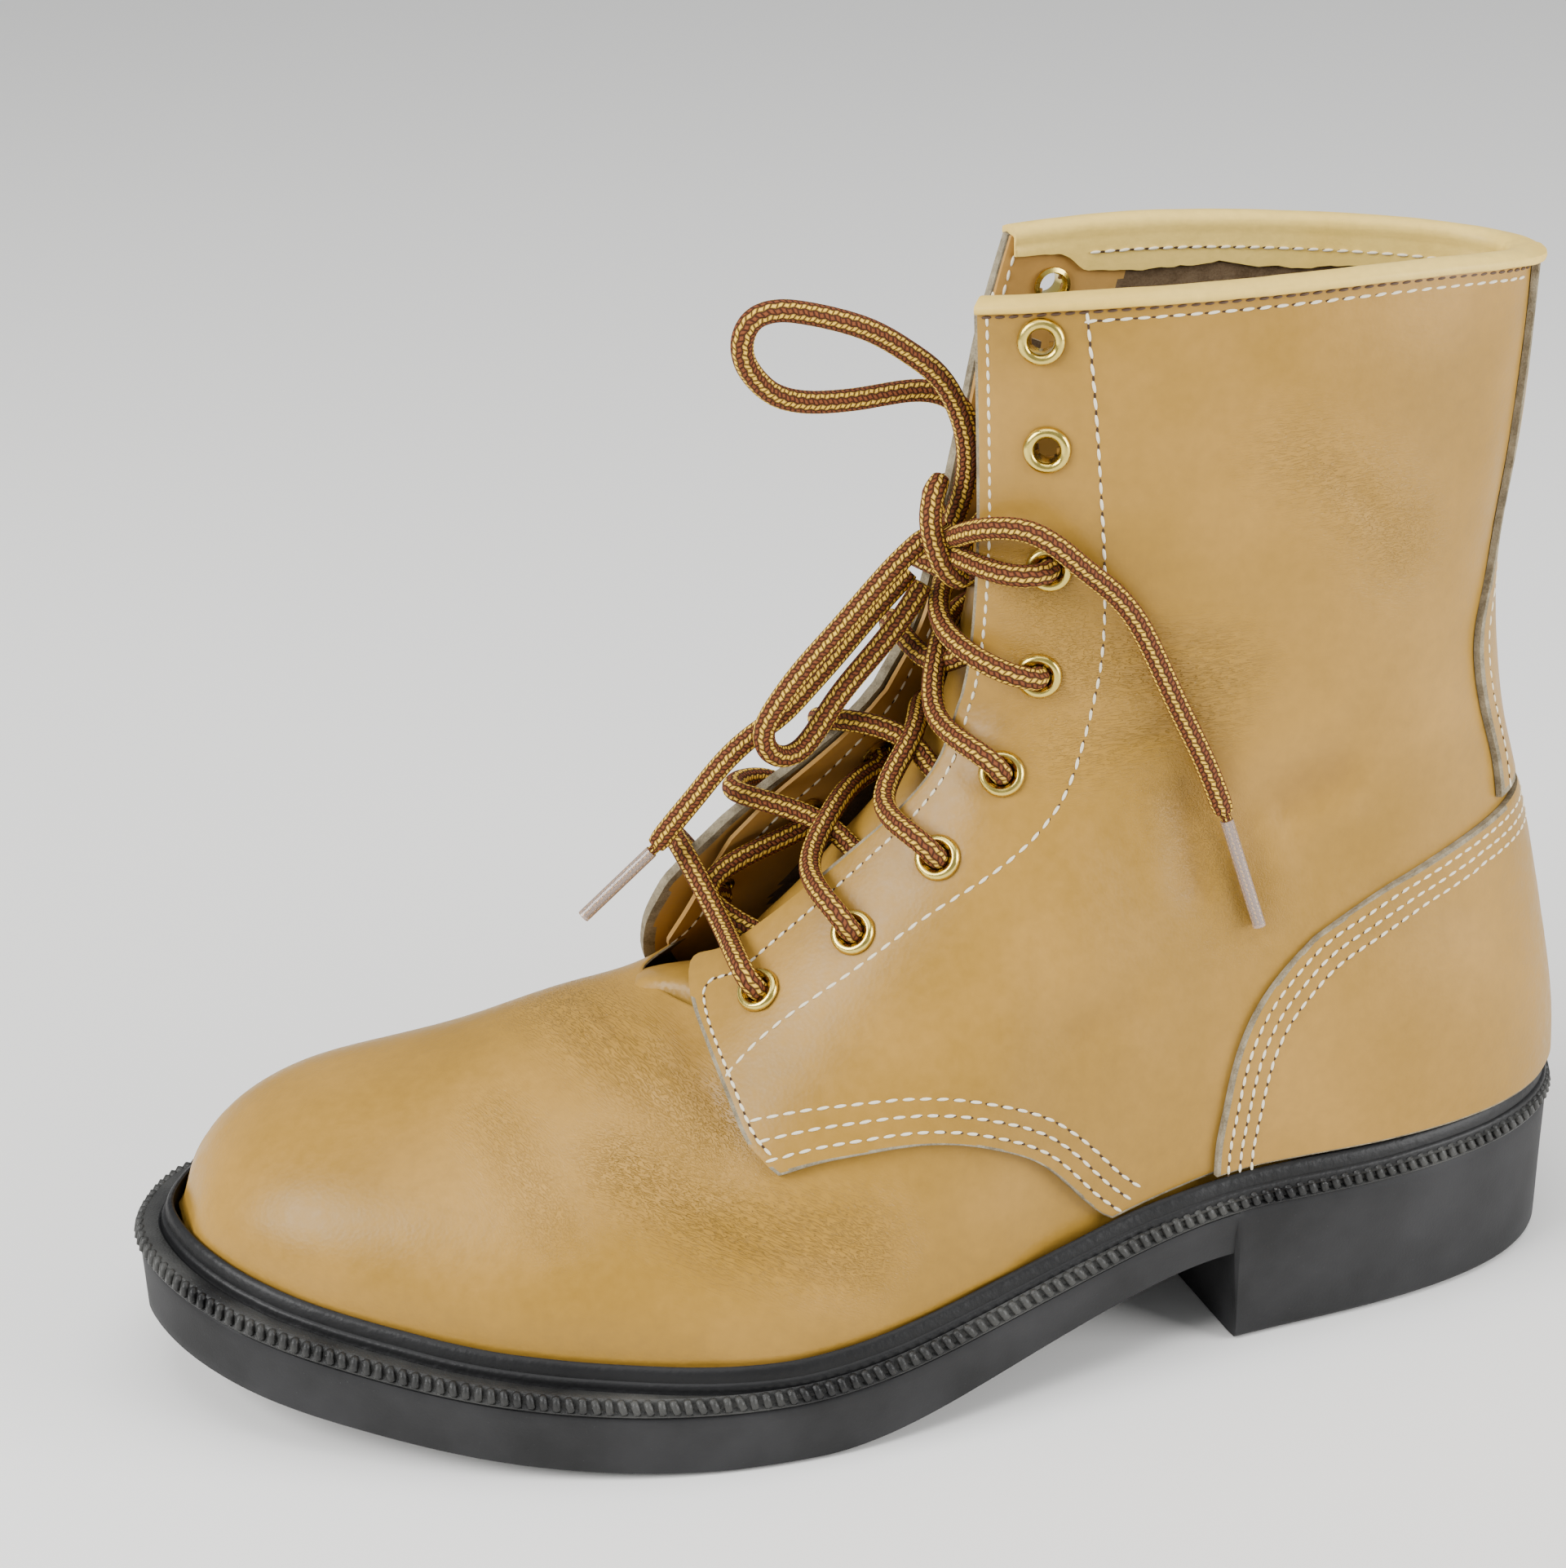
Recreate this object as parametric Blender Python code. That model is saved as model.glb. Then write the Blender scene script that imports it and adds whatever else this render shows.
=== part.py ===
"""Left work boot: eight-inch plain-toe lace-up with a moulded rubber sole.

Frame: +X towards the toe, +Y towards the outer (lateral) side, +Z up, origin at the middle of
the heel's ground face. Tables and sizes are in millimetres; meshes are made in metres.
"""

import math

import bpy
import numpy as np

MM = 0.001

# ---------------------------------------------------------------- driving dimensions
HEEL_BACK = -41.0          # back edge of the heel on the ground
TOE_TIP = 264.8            # front edge of the sole
HEEL_LIFT = 21.0           # underside of the shank at the heel breast
SOLE_EDGE = 14.0           # height of the smooth side wall under the ball
HEEL_EDGE = 32.0           # height of the smooth side wall at the heel
TOE_SPRING = 16.0          # lift of the sole under the toe tip
TREAD_WEAR = 0.15          # the forefoot is worn flat by this much
FLAT_END = 142.0           # the forefoot is flat on the ground up to here
BREAST_OUT, BREAST_IN = 42.0, 53.0   # heel breast on the outer and the inner side
WELT_LIP = 8.2             # height of the welt above the smooth side wall
FOOT_RISE = 7.0            # the foot form stands straight up to this height above the side wall
PANEL_FOOT = 9.5           # the leather panels end this far above the side wall, over the welt's lip
INSOLE = (0.8, 3.4)        # its faces over the sole's top face
SEAT = 0.9                 # the upper starts this far above the sole's top face
BASE_WALL = 1.6            # vamp and lining
QUARTER = (1.05, 2.4)      # quarters, measured out from the vamp's face
OVERLAY = (2.9, 4.1)       # counter and backstay, measured the same way
# Top edge of the shaft: x, outer z, inner z
COLLAR = (
    (-30.0, 218.8, 218.8),
    (-22.0, 220.6, 219.8),
    (-9.0, 222.6, 220.9),
    (15.0, 223.8, 223.0),
    (43.0, 223.6, 225.0),
    (68.0, 223.4, 225.0),
    (80.0, 222.7, 224.6),
    (88.0, 221.8, 224.0),
)
EYELET_HOLE, EYELET_BARREL, EYELET_BORE, EYELET_FLANGE = 3.2, 2.9, 2.5, 4.7   # radii
LACE = 4.0                 # lace diameter
EYELET_BACK = BASE_WALL + 0.6      # its barrel ends this far under the form's face
GAP = 0.3
SKIRT = 10.0               # the collar binding's inner skirt
BINDING_WALL = 0.9
BINDING_HEAD, BINDING_LIP = 1.0, 1.7   # the roll's height over the collar and its hem below it
LACE_RISE = 4.4            # a lace leaves its eyelet this far out before it turns
RAISED = 5.4               # and passes this far over a facing's face near its edge
SUNK = 5.0                 # or this far under it

# Edge of the sole on the ground: x, outer y, inner y
SOLE_PLAN = (
    (-36.0, 17.0, -17.5),
    (-26.0, 27.2, -28.0),
    (-8.0, 35.8, -35.8),
    (15.0, 41.2, -37.5),
    (42.0, 45.3, -35.5),
    (70.0, 52.0, -33.5),
    (97.0, 58.6, -35.0),
    (122.0, 64.4, -39.5),
    (150.0, 66.6, -44.5),
    (178.0, 63.2, -47.5),
    (202.0, 56.0, -48.5),
    (225.0, 45.0, -47.0),
    (243.0, 34.0, -39.5),
    (256.0, 20.5, -28.0),
    (262.6, 8.0, -14.5),
)

# Foot form, sections across the foot: x, ridge z, fullness
FOOT = (
    (-45.0, 60.0, 2.6),
    (-20.0, 86.0, 2.4),
    (20.0, 120.0, 2.1),
    (60.0, 150.0, 1.9),
    (84.0, 148.0, 1.8),
    (100.0, 132.0, 1.75),
    (118.0, 111.5, 1.75),
    (135.0, 94.0, 1.8),
    (150.0, 80.8, 1.85),
    (170.0, 74.0, 1.95),
    (195.0, 66.8, 2.05),
    (225.0, 62.0, 2.15),
    (262.0, 60.0, 2.2),
)
TOE_ROUND_START, UPPER_TOE = 204.0, 256.3

# Heel and shaft form, level sections: z, back x, front x, outer half, inner half, widest x, squareness
SHAFT = (
    (20.0, -38.4, 108.0, 32.5, 32.0, 16.0, 2.4),
    (50.0, -38.6, 112.0, 33.0, 32.5, 14.0, 2.4),
    (72.0, -35.2, 114.0, 31.5, 31.0, 16.0, 2.4),
    (100.0, -29.4, 113.0, 29.0, 28.5, 20.0, 2.4),
    (121.0, -24.0, 106.0, 28.5, 28.0, 24.0, 2.5),
    (140.0, -21.4, 100.0, 28.5, 28.0, 28.0, 2.6),
    (160.0, -21.2, 97.0, 28.0, 27.5, 30.0, 2.8),
    (180.0, -24.2, 96.0, 27.0, 26.5, 32.0, 3.0),
    (205.0, -26.6, 96.0, 25.5, 25.0, 33.0, 3.3),
    (228.0, -28.1, 96.5, 24.0, 24.0, 34.0, 3.5),
)
BLEND = 9.0                # soft join of foot and shaft

# Front edge of the outer facing, from the throat's base up to the collar: x, z
FACING = (
    (147.6, 80.8),
    (142.0, 85.6),
    (134.6, 91.4),
    (126.5, 98.3),
    (119.0, 104.9),
    (111.5, 111.7),
    (103.0, 119.9),
    (95.5, 129.6),
    (91.0, 142.0),
    (88.7, 158.0),
    (87.7, 176.0),
    (87.6, 199.0),
    (87.8, 222.3),
)
# Front edge of the inner facing, row for row: x, z on the form, then how far the quarter's
# edge and the lining's edge stand up from it where the facing has opened
INNER_FACING = (
    (149.5, 79.0, 18.0, 4.0),
    (144.0, 83.6, 20.5, 11.0),
    (137.0, 89.6, 20.6, 17.0),
    (128.4, 98.0, 19.0, 17.4),
    (121.0, 105.2, 16.6, 15.8),
    (113.4, 112.6, 14.4, 13.9),
    (105.0, 122.2, 13.0, 12.6),
    (97.5, 131.8, 11.6, 11.2),
    (91.2, 148.0, 7.4, 7.1),
    (86.6, 167.0, 2.4, 2.3),
    (82.0, 187.0, 0.2, 0.2),
    (77.6, 206.0, 0.0, 0.0),
    (71.8, 225.0, 0.0, 0.0),
)
OPENED = 26.0              # the opened facing bends up over this width

# Vamp rows, from the feather up to the throat's base: back z, and a point before the row's front end
VAMP_ROWS = (
    (38.0, 268.0, 37.5),
    (45.0, 268.0, 47.0),
    (52.0, 262.0, 60.0),
    (59.0, 250.0, 73.0),
    (66.0, 236.0, 80.0),
    (73.0, 218.0, 84.0),
    (79.0, 202.0, 87.0),
    (85.0, 184.0, 90.0),
    (90.5, 164.0, 83.0),
)
FACING_BACKS = (98, 104, 110, 118, 127, 136, 146, 157, 169, 181, 193, 204.5, 216)

# Front edge of a quarter, from its lower corner up to the facing: x, z, inner x, inner z, inner lift
QUARTER_FRONT = (
    (139.3, 57.0, 139.3, 57.0, 0.0),
    (143.8, 61.2, 146.0, 60.5, 0.0),
    (145.8, 66.8, 150.5, 65.0, 0.5),
    (147.3, 72.4, 153.2, 70.0, 3.5),
    (148.4, 77.4, 153.6, 74.8, 9.5),
)
# Lower edge of a quarter, from the feather line to its front corner: x, z
QUARTER_LOW = (
    (71.2, 36.0),
    (75.5, 40.2),
    (80.0, 45.6),
    (86.0, 51.8),
    (94.0, 56.8),
    (103.0, 59.8),
    (113.0, 60.8),
    (122.0, 60.2),
    (131.0, 59.0),
    (139.0, 57.0),
)
# Front edge of the heel counter, from the feather line to its top corner: back z, x, z
COUNTER_ROWS = (
    (39.0, 47.2, 38.4),
    (48.0, 46.8, 45.0),
    (57.0, 45.2, 53.0),
    (66.0, 43.2, 61.5),
    (76.0, 40.0, 70.0),
    (86.0, 35.5, 77.0),
    (95.5, 30.0, 82.6),
    (104.5, 24.0, 87.4),
)
COUNTER_TOP = ((-31.0, 104.5), (-22.0, 103.6), (-8.0, 100.6), (4.0, 96.4), (14.0, 92.2), (24.0, 87.4))
# Edge of the backstay: z, x
BACKSTAY_ROWS = (
    (105.6, -20.2), (113.0, -19.4), (124.0, -16.4), (136.0, -13.8), (143.0, -13.6), (156.0, -17.4),
    (170.0, -20.6), (187.0, -22.2), (201.0, -24.2), (213.0, -25.4),
)
# Depth of the tongue under each row of the facings
TONGUE_DEPTH = (10.2, 10.4, 10.6, 10.6, 10.2, 10.0, 10.0, 10.0, 10.0, 10.0, 9.8, 9.0, 8.8)
TONGUE_BASE = (176.0, 166.0, 157.0)   # sections of its base, under the vamp
TONGUE_WALL = 1.8
TONGUE_LOW = (-4.6, -2.8)  # and where it runs on under the vamp
TONGUE_HIDE = 9.0          # it reaches this far under each facing
TONGUE_TOP = 11            # facing row at the tongue's top edge
# How far the tongue's middle swells forward and up, facing row by row
TONGUE_FOLD = (0.0, 0.5, 1.0, 1.5, 2.0, 2.0, 1.6, 1.0, 0.5, 0.0, 0.0, 0.0, 0.0)

# Eyelets of the outer facing, top to bottom: x, z
EYELETS = (
    (76.8, 215.2), (75.9, 193.7), (75.6, 169.5), (77.6, 147.0),
    (86.2, 126.9), (99.9, 111.4), (117.3, 96.6), (136.0, 84.0),
)
# Eyelets of the inner facing
INNER_EYELETS = (
    (63.0, 212.6), (68.6, 190.6), (75.0, 168.6), (80.0, 148.6),
    (89.6, 128.6), (104.2, 113.8), (119.6, 100.2), (138.6, 83.2),
)

LACE_STEP, LACE_SIDES = 4.4, 6
BAR_EDGE = (89.0, 102.0)   # heights where the bottom bar crosses the outer and the inner facing's edge
# Crossings, from one row of eyelets up to the next: row, heights where its lace passes over and
# under the outer facing's edge and over the inner facing's edge, and the place where its runs meet
CROSSINGS = (
    (8, 89.0, 92.5, 0.0, (142.0, 1.0, 95.2)),
    (7, 104.0, 109.0, 112.5, (118.0, 6.0, 111.5)),
    (6, 118.5, 126.0, 126.5, (100.5, 8.0, 128.5)),
    (5, 136.0, 149.0, 146.0, (94.0, 5.0, 145.0)),
    (4, 154.0, 166.0, 159.0, (88.0, -6.0, 159.5)),
)
# Bow: points on the cord, its radius, and the route
BOW = {
    "loop_a": (25, LACE / 2, (
        (91.2, 6.5, 174.5), (89.6, 7.0, 179.5), (88.4, 7.5, 186.0), (88.8, 8.0, 193.0),
        (90.7, 8.0, 199.5), (94.5, 8.5, 206.0), (100.0, 9.0, 211.0), (107.0, 10.0, 216.0),
        (114.5, 11.0, 219.5), (121.5, 11.0, 221.6), (127.0, 11.0, 222.3), (130.8, 10.5, 220.9),
        (132.9, 10.0, 217.2), (132.6, 9.0, 212.6), (130.3, 8.0, 208.3), (126.5, 7.0, 204.5),
        (121.0, 6.0, 202.2), (115.0, 5.0, 201.3), (108.0, 4.0, 201.1), (101.0, 3.0, 201.3),
        (95.4, 2.5, 200.9), (90.6, 2.5, 199.0), (87.3, 2.5, 194.6), (86.2, 2.5, 188.8),
        (86.3, 2.5, 182.5),
    )),
    "loop_b": (20, LACE / 2, (
        (96.6, 7.0, 172.3), (101.0, 7.5, 169.0), (106.5, 8.0, 164.0), (115.0, 8.5, 155.3),
        (123.5, 9.0, 146.7), (129.0, 9.0, 139.6), (131.2, 8.5, 134.3), (130.2, 8.0, 130.3),
        (127.2, 7.0, 128.2), (123.8, 6.0, 128.6), (120.8, 5.5, 131.2), (115.8, 5.0, 138.0),
        (108.5, 4.5, 146.2), (100.5, 4.0, 155.4), (96.6, 3.5, 160.8),
    )),
    "end_c": (13, LACE / 2, (
        (92.9, 14.3, 174.2), (90.9, 19.6, 177.0), (87.0, 25.2, 179.3), (82.0, 28.2, 179.2),
        (76.8, 30.0, 176.4), (71.0, 30.3, 171.0), (65.6, 30.4, 166.0), (61.2, 31.2, 160.4),
        (57.5, 32.0, 153.0), (54.4, 32.5, 145.7), (50.9, 33.0, 137.7), (46.6, 33.6, 127.9),
        (43.0, 34.4, 117.7),
    )),
    "end_d": (11, LACE / 2, (
        (98.6, 0.0, 162.6), (102.0, 0.5, 159.5), (107.0, 1.5, 155.0), (114.0, 2.3, 147.8),
        (121.5, 3.0, 140.4), (127.0, 3.2, 135.4), (132.2, 3.2, 132.0), (138.2, 3.0, 127.0),
        (144.2, 2.5, 120.0), (150.3, 2.0, 112.8), (153.0, 1.6, 109.3),
    )),
    "knot": (7, LACE / 2, (
        (90.9, 12.0, 164.0), (94.2, 13.4, 167.0), (96.6, 13.6, 172.5), (97.2, 12.5, 178.2),
        (95.6, 10.2, 182.8), (94.0, 8.2, 184.3),
    )),
    "aglet_c": (2, 1.3, ((42.3, 34.9, 115.3), (36.1, 38.0, 93.0))),
    "aglet_d": (2, 1.3, ((154.5, 1.5, 107.5), (168.6, 0.0, 94.3))),
}


# ---------------------------------------------------------------- small helpers
def curve_through(rows, column, key=0):
    """Natural cubic spline of one column of a table over its key column, held flat outside."""
    x = np.array([row[key] for row in rows], float)
    y = np.array([row[column] for row in rows], float)
    h = np.diff(x)
    n = len(x)
    a = np.zeros((n, n))
    b = np.zeros(n)
    a[0, 0] = a[-1, -1] = 1.0
    for i in range(1, n - 1):
        a[i, i - 1], a[i, i], a[i, i + 1] = h[i - 1], 2 * (h[i - 1] + h[i]), h[i]
        b[i] = 6 * ((y[i + 1] - y[i]) / h[i] - (y[i] - y[i - 1]) / h[i - 1])
    m = np.linalg.solve(a, b)

    def value(at):
        at = np.clip(np.asarray(at, float), x[0], x[-1])
        i = np.clip(np.searchsorted(x, at) - 1, 0, n - 2)
        left, right = at - x[i], x[i + 1] - at
        return (
            (m[i] * right**3 + m[i + 1] * left**3) / (6 * h[i])
            + (y[i] / h[i] - m[i] * h[i] / 6) * right
            + (y[i + 1] / h[i] - m[i + 1] * h[i] / 6) * left
        )

    return value


def path_through(points, closed=False):
    """Smooth curve through points, as a function of 0..1 along its length."""
    pts = np.array(points, float)
    if closed:
        pts = np.vstack([pts[-3:], pts, pts[:3]])
    step = np.r_[0, np.cumsum(np.linalg.norm(np.diff(pts, axis=0), axis=1))]
    table = np.column_stack([step, pts])
    parts = [curve_through(table, k + 1) for k in range(pts.shape[1])]
    first, last = (step[3], step[-3]) if closed else (step[0], step[-1])
    return lambda t: np.stack([p(first + np.asarray(t) * (last - first)) for p in parts], -1)


def ease(t):
    t = np.clip(t, 0.0, 1.0)
    return t * t * (3 - 2 * t)


def signed_power(v, p):
    return np.sign(v) * np.abs(v) ** p


def material(name, rgb, rough, metallic=0.0):
    """Plain finish of one sub-part."""
    mat = bpy.data.materials.get(name) or bpy.data.materials.new(name)
    mat.use_nodes = True
    shader = mat.node_tree.nodes["Principled BSDF"]
    shader.inputs["Base Color"].default_value = (*rgb, 1.0)
    shader.inputs["Roughness"].default_value = rough
    shader.inputs["Metallic"].default_value = metallic
    mat.diffuse_color = (*rgb, 1.0)
    return mat


LEATHER = dict(name="tan_leather", rgb=(0.50, 0.31, 0.12), rough=0.5)
RAW_EDGE = dict(name="suede_leather", rgb=(0.33, 0.22, 0.14), rough=0.9)
CREAM = dict(name="cream_leather", rgb=(0.72, 0.56, 0.32), rough=0.5)
RUBBER = dict(name="black_rubber", rgb=(0.03, 0.03, 0.03), rough=0.55)
WELT_RUBBER = dict(name="welt_rubber", rgb=(0.015, 0.015, 0.015), rough=0.3)
BRASS = dict(name="brass", rgb=(0.80, 0.62, 0.28), rough=0.25, metallic=1.0)
LACE_CLOTH = dict(name="lace_braid", rgb=(0.26, 0.12, 0.05), rough=0.8)
CLEAR_TIP = dict(name="aglet_plastic", rgb=(0.75, 0.62, 0.55), rough=0.2)


def add_object(name, points, faces, finish, smooth_angle=35.0):
    mesh = bpy.data.meshes.new(name)
    mesh.from_pydata([tuple(p) for p in np.asarray(points) * MM], [], [tuple(f) for f in faces])
    mesh.validate()
    mesh.shade_smooth()
    mesh.set_sharp_from_angle(angle=math.radians(smooth_angle))
    obj = bpy.data.objects.new(name, mesh)
    obj.data.materials.append(material(**finish))
    bpy.context.scene.collection.objects.link(obj)
    obj.parent = bpy.data.objects["boot"]
    return obj


def thicken(points, normals, faces, low, high):
    """Solid between two offsets of a sheet: both faces, and a rim along every open edge."""
    n = len(points)
    solid_points = np.vstack([points + normals * high, points + normals * low])
    solid = [tuple(f) for f in faces] + [tuple(n + i for i in reversed(f)) for f in faces]
    directed = {(f[i], f[(i + 1) % len(f)]) for f in faces for i in range(len(f))}
    for a, b in sorted(directed):
        if (b, a) not in directed:
            solid.append((b, a, n + a, n + b))
    return solid_points, solid


def cut(obj, cutter):
    """Take one hidden solid away from a part."""
    cutter.hide_render = True
    cutter.display_type = "WIRE"
    boolean = obj.modifiers.new("cut " + cutter.name, "BOOLEAN")
    boolean.operation = "DIFFERENCE"
    boolean.solver = "EXACT"
    boolean.object = cutter


# ---------------------------------------------------------------- heights and plan of the sole
def toe_lift(x):
    return TOE_SPRING * (np.clip(x - FLAT_END, 0, None) / (TOE_TIP - FLAT_END)) ** 2


def arch(x, start, end):
    """1 at the heel, falling to 0 under the ball."""
    return ease((end - x) / (end - start))


def under_sole(x):
    """Underside in front of the heel breast: shank, flat forefoot and toe spring."""
    return np.maximum(HEEL_LIFT * arch(x, BREAST_OUT, FLAT_END - 4) + toe_lift(x) - TREAD_WEAR, 0.0)


def side_wall_top(x):
    return SOLE_EDGE + (HEEL_EDGE - SOLE_EDGE) * arch(x, BREAST_OUT - 8, FLAT_END) + toe_lift(x)


def plan_loop():
    """Closed edge of the sole from the heel's back round the outer side to the toe and back."""
    outer = [(x, y) for x, y, _ in SOLE_PLAN]
    inner = [(x, y) for x, _, y in reversed(SOLE_PLAN)]
    return path_through([(HEEL_BACK, 0.0)] + outer + [(TOE_TIP, -4.5)] + inner, closed=True)


def inset_loop(loop, distance):
    """Closed plan loop moved inwards by a distance that may change along x."""
    ahead, behind = np.roll(loop, -1, 0), np.roll(loop, 1, 0)
    along = ahead - behind
    along /= np.linalg.norm(along, axis=1)[:, None]
    inward = np.column_stack([along[:, 1], -along[:, 0]])
    return loop + inward * (distance(loop[:, 0])[:, None])


def step_between(x, stops):
    """Smooth steps between levels: stops are (x, level) pairs."""
    level = np.full_like(np.asarray(x, float), stops[0][1])
    for (x0, a), (x1, b) in zip(stops[:-1], stops[1:]):
        level = level + (b - a) * ease((x - x0) / (x1 - x0))
    return level


def wall_flare(x):
    """The side wall's top edge stands out from the ground edge, most at the heel."""
    return -step_between(x, [(-42, 1.2), (10, 2.4), (70, 1.2), (200, 1.2), (270, 0.3)])


def upper_inset(x):
    """Vamp face, measured in from the top edge of the side wall."""
    return step_between(x, [(20, 7.0), (60, 6.3), (78, 6.3), (96, 4.6), (135, 4.8), (185, 8.2), (270, 8.2)])


def welt_inset(x):
    """Inner face of the welt: clear of counter, quarter and vamp in turn."""
    return step_between(x, [(20, 2.9), (50, 2.9), (66, 3.9), (96, 4.2), (135, 4.4), (185, 7.7), (270, 7.7)])


PLAN = plan_loop()
DENSE = PLAN(np.linspace(0, 1, 721)[:-1])
WALL_TOP = inset_loop(DENSE, wall_flare)
UPPER_PLAN = inset_loop(WALL_TOP, upper_inset)
WELT_PLAN = inset_loop(WALL_TOP, lambda x: welt_inset(x) + GAP + 0.4)


def sides_of(loop):
    """(outer, inner) edge of a closed plan loop as functions of x, and its two ends."""
    back, tip = int(loop[:, 0].argmin()), int(loop[:, 0].argmax())
    outer = loop[back : tip + 1]
    inner = np.vstack([loop[tip:], loop[: back + 1]])[::-1]
    return (
        lambda x: np.interp(x, outer[:, 0], outer[:, 1]),
        lambda x: np.interp(x, inner[:, 0], inner[:, 1]),
        loop[back],
        loop[tip],
    )


# ---------------------------------------------------------------- the upper's own form
FOOT_RIDGE_Z, FOOT_FULL = curve_through(FOOT, 1), curve_through(FOOT, 2)
SHAFT_BACK, SHAFT_FRONT, SHAFT_OUT, SHAFT_IN, SHAFT_WIDE, SHAFT_SQUARE = (
    curve_through(SHAFT, k) for k in range(1, 7)
)
BASE_OUT, BASE_IN, BASE_BACK = sides_of(UPPER_PLAN)[:3]
WITHIN_OUT, WITHIN_IN = sides_of(WELT_PLAN)[:2]
MID_Y = curve_through([(-45, 0), (60, 0), (120, -3), (170, -6), (225, -8), (262, -8)], 1)


def ridge_height(x):
    """Top of the foot form over the ground, rounded down to the feather at the toe."""
    u = np.clip((x - TOE_ROUND_START) / (UPPER_TOE - TOE_ROUND_START), 0, None)
    foot = side_wall_top(x)
    return foot + (FOOT_RIDGE_Z(x) - foot) * signed_power(1 - u**3.3, 0.5)


def foot_width(x, z, side):
    """Half width of the foot form at a height, measured from the boot's middle line."""
    edge = BASE_OUT(x) if side > 0 else -BASE_IN(x)
    reach = np.maximum(edge - side * MID_Y(x), 1.0)
    base = side_wall_top(x) + FOOT_RISE
    top = np.maximum(ridge_height(x), base - 5.0)
    v = np.clip((z - base) / np.maximum(top - base, 0.5), 0, None)
    full = FOOT_FULL(x)
    width = reach * signed_power(1 - v**full, 1 / full)
    beyond = np.clip(x - UPPER_TOE, 0, None) + np.clip(BASE_BACK[0] + 0.5 - x, 0, None)
    return np.where(beyond > 0, -beyond * 3, width)


def shaft_width(x, z, side):
    """Half width of the heel and shaft form."""
    half = SHAFT_OUT(z) if side > 0 else SHAFT_IN(z)
    wide = SHAFT_WIDE(z)
    back = (wide - x) / (wide - SHAFT_BACK(z))
    front = (x - wide) / (SHAFT_FRONT(z) - wide)
    u = np.clip(np.where(x < wide, back, front), 0, None)
    square = np.where(x < wide, 2.1, SHAFT_SQUARE(z))
    return half * signed_power(1 - u**square, 1 / 2.1)


def half_width(x, z, side):
    """Half width of the whole upper: the larger of the two forms, softly joined."""
    a, b = foot_width(x, z, side), shaft_width(x, z, side)
    h = np.clip(BLEND - np.abs(a - b), 0, None) / BLEND
    # near the silhouette the join is kept small, so that ridge and back seam stay where they are
    reach = np.clip(np.maximum(a, b) / 20.0, 0.0, 1.0)
    width = np.maximum(a, b) + h * h * BLEND * 0.25 * reach
    # low down it stays inside the welt's lip
    room = (WITHIN_OUT(x) if side > 0 else -WITHIN_IN(x)) - side * MID_Y(x)
    over_lip = np.clip(z - side_wall_top(x) - WELT_LIP, 0, None)
    return np.minimum(width, room + over_lip * 1.0)


def on_form(x, z, side):
    """Point of the form's face at (x, z) on one side."""
    width = np.maximum(half_width(x, z, side), 0.0)
    return np.stack([x, MID_Y(x) + side * width, z], -1)


def form_normal(x, z, side):
    """Outward direction of the form's face; level with the side view on the silhouette."""
    x, z = np.asarray(x, float), np.asarray(z, float)
    d = 0.4
    # step off the silhouette, where the slope is endless
    for _ in range(12):
        w = half_width(x, z, side)
        gx = (half_width(x + d, z, side) - half_width(x - d, z, side)) / (2 * d)
        gz = (half_width(x, z + d, side) - half_width(x, z - d, side)) / (2 * d)
        size = np.sqrt(gx**2 + gz**2) + 1e-9
        near = w < 2.5
        x = np.where(near, x + 0.4 * gx / size, x)
        z = np.where(near, z + 0.4 * gz / size, z)
    n = np.stack([-gx, np.ones_like(gx) * side, -gz], -1)
    return n / np.linalg.norm(n, axis=-1, keepdims=True)


def silhouette(inside, outside):
    """Where the line from a point inside the side view to one outside crosses its edge."""
    a, b = np.array(inside, float), np.array(outside, float)
    for _ in range(40):
        middle = (a + b) / 2
        wide = max(half_width(middle[0], middle[1], 1), half_width(middle[0], middle[1], -1))
        a, b = (middle, b) if wide > 0 else (a, middle)
    return a


# ---------------------------------------------------------------- panels over the side view
def spread(n):
    """Fractions from 0 to 1, closer together at both ends."""
    return 0.5 - 0.5 * np.cos(np.pi * np.arange(n + 1) / n)


def row_lines(backs, fronts, steps, columns, low=None, high=None):
    """Side-view grid of rows, each from a height on the back seam to a point at its front end.

    The first columns lie at set steps ahead of the seam, at the row's own height, so that layered
    panels keep parallel faces round the heel. Further columns are fractions of the way from there
    to the front. The lowest and the highest row are bent to given paths.
    """
    grid = []
    for z, (x_front, z_front), share in zip(backs, fronts, columns):
        x = back_point(z)[0] + np.array(steps)
        share = np.array(share)
        row_x = np.r_[x, x[-1] + (x_front - x[-1]) * share]
        row_z = np.r_[np.full(len(x), z), z + (z_front - z) * share]
        grid.append(np.column_stack([row_x, row_z]))
    grid, backs = np.array(grid), np.array(backs, float)
    if low is not None:
        t = np.clip((backs - backs[0]) / (VAMP_ROWS[-1][0] - backs[0]), 0, 1)[:, None]
        grid[:, :, 1] += (low(grid[0, :, 0]) - grid[0, :, 1])[None] * (1 - t) ** 2
    if high is not None:
        t = np.clip((backs - FACING_BACKS[2]) / (backs[-1] - FACING_BACKS[2]), 0, 1)[:, None]
        grid[:, :, 1] += (high(grid[-1, :, 0]) - grid[-1, :, 1])[None] * t**2
    return grid


def back_point(z):
    """Back seam of the form at a height."""
    return silhouette((20.0, z), (-70.0, z))


def grid_normals(points, side):
    """Outward directions of a grid of points, from its own neighbours."""
    along, up = np.gradient(points, axis=1), np.gradient(points, axis=0)
    n = np.cross(up, along) * side
    return n / np.maximum(np.linalg.norm(n, axis=-1, keepdims=True), 1e-9)


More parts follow.
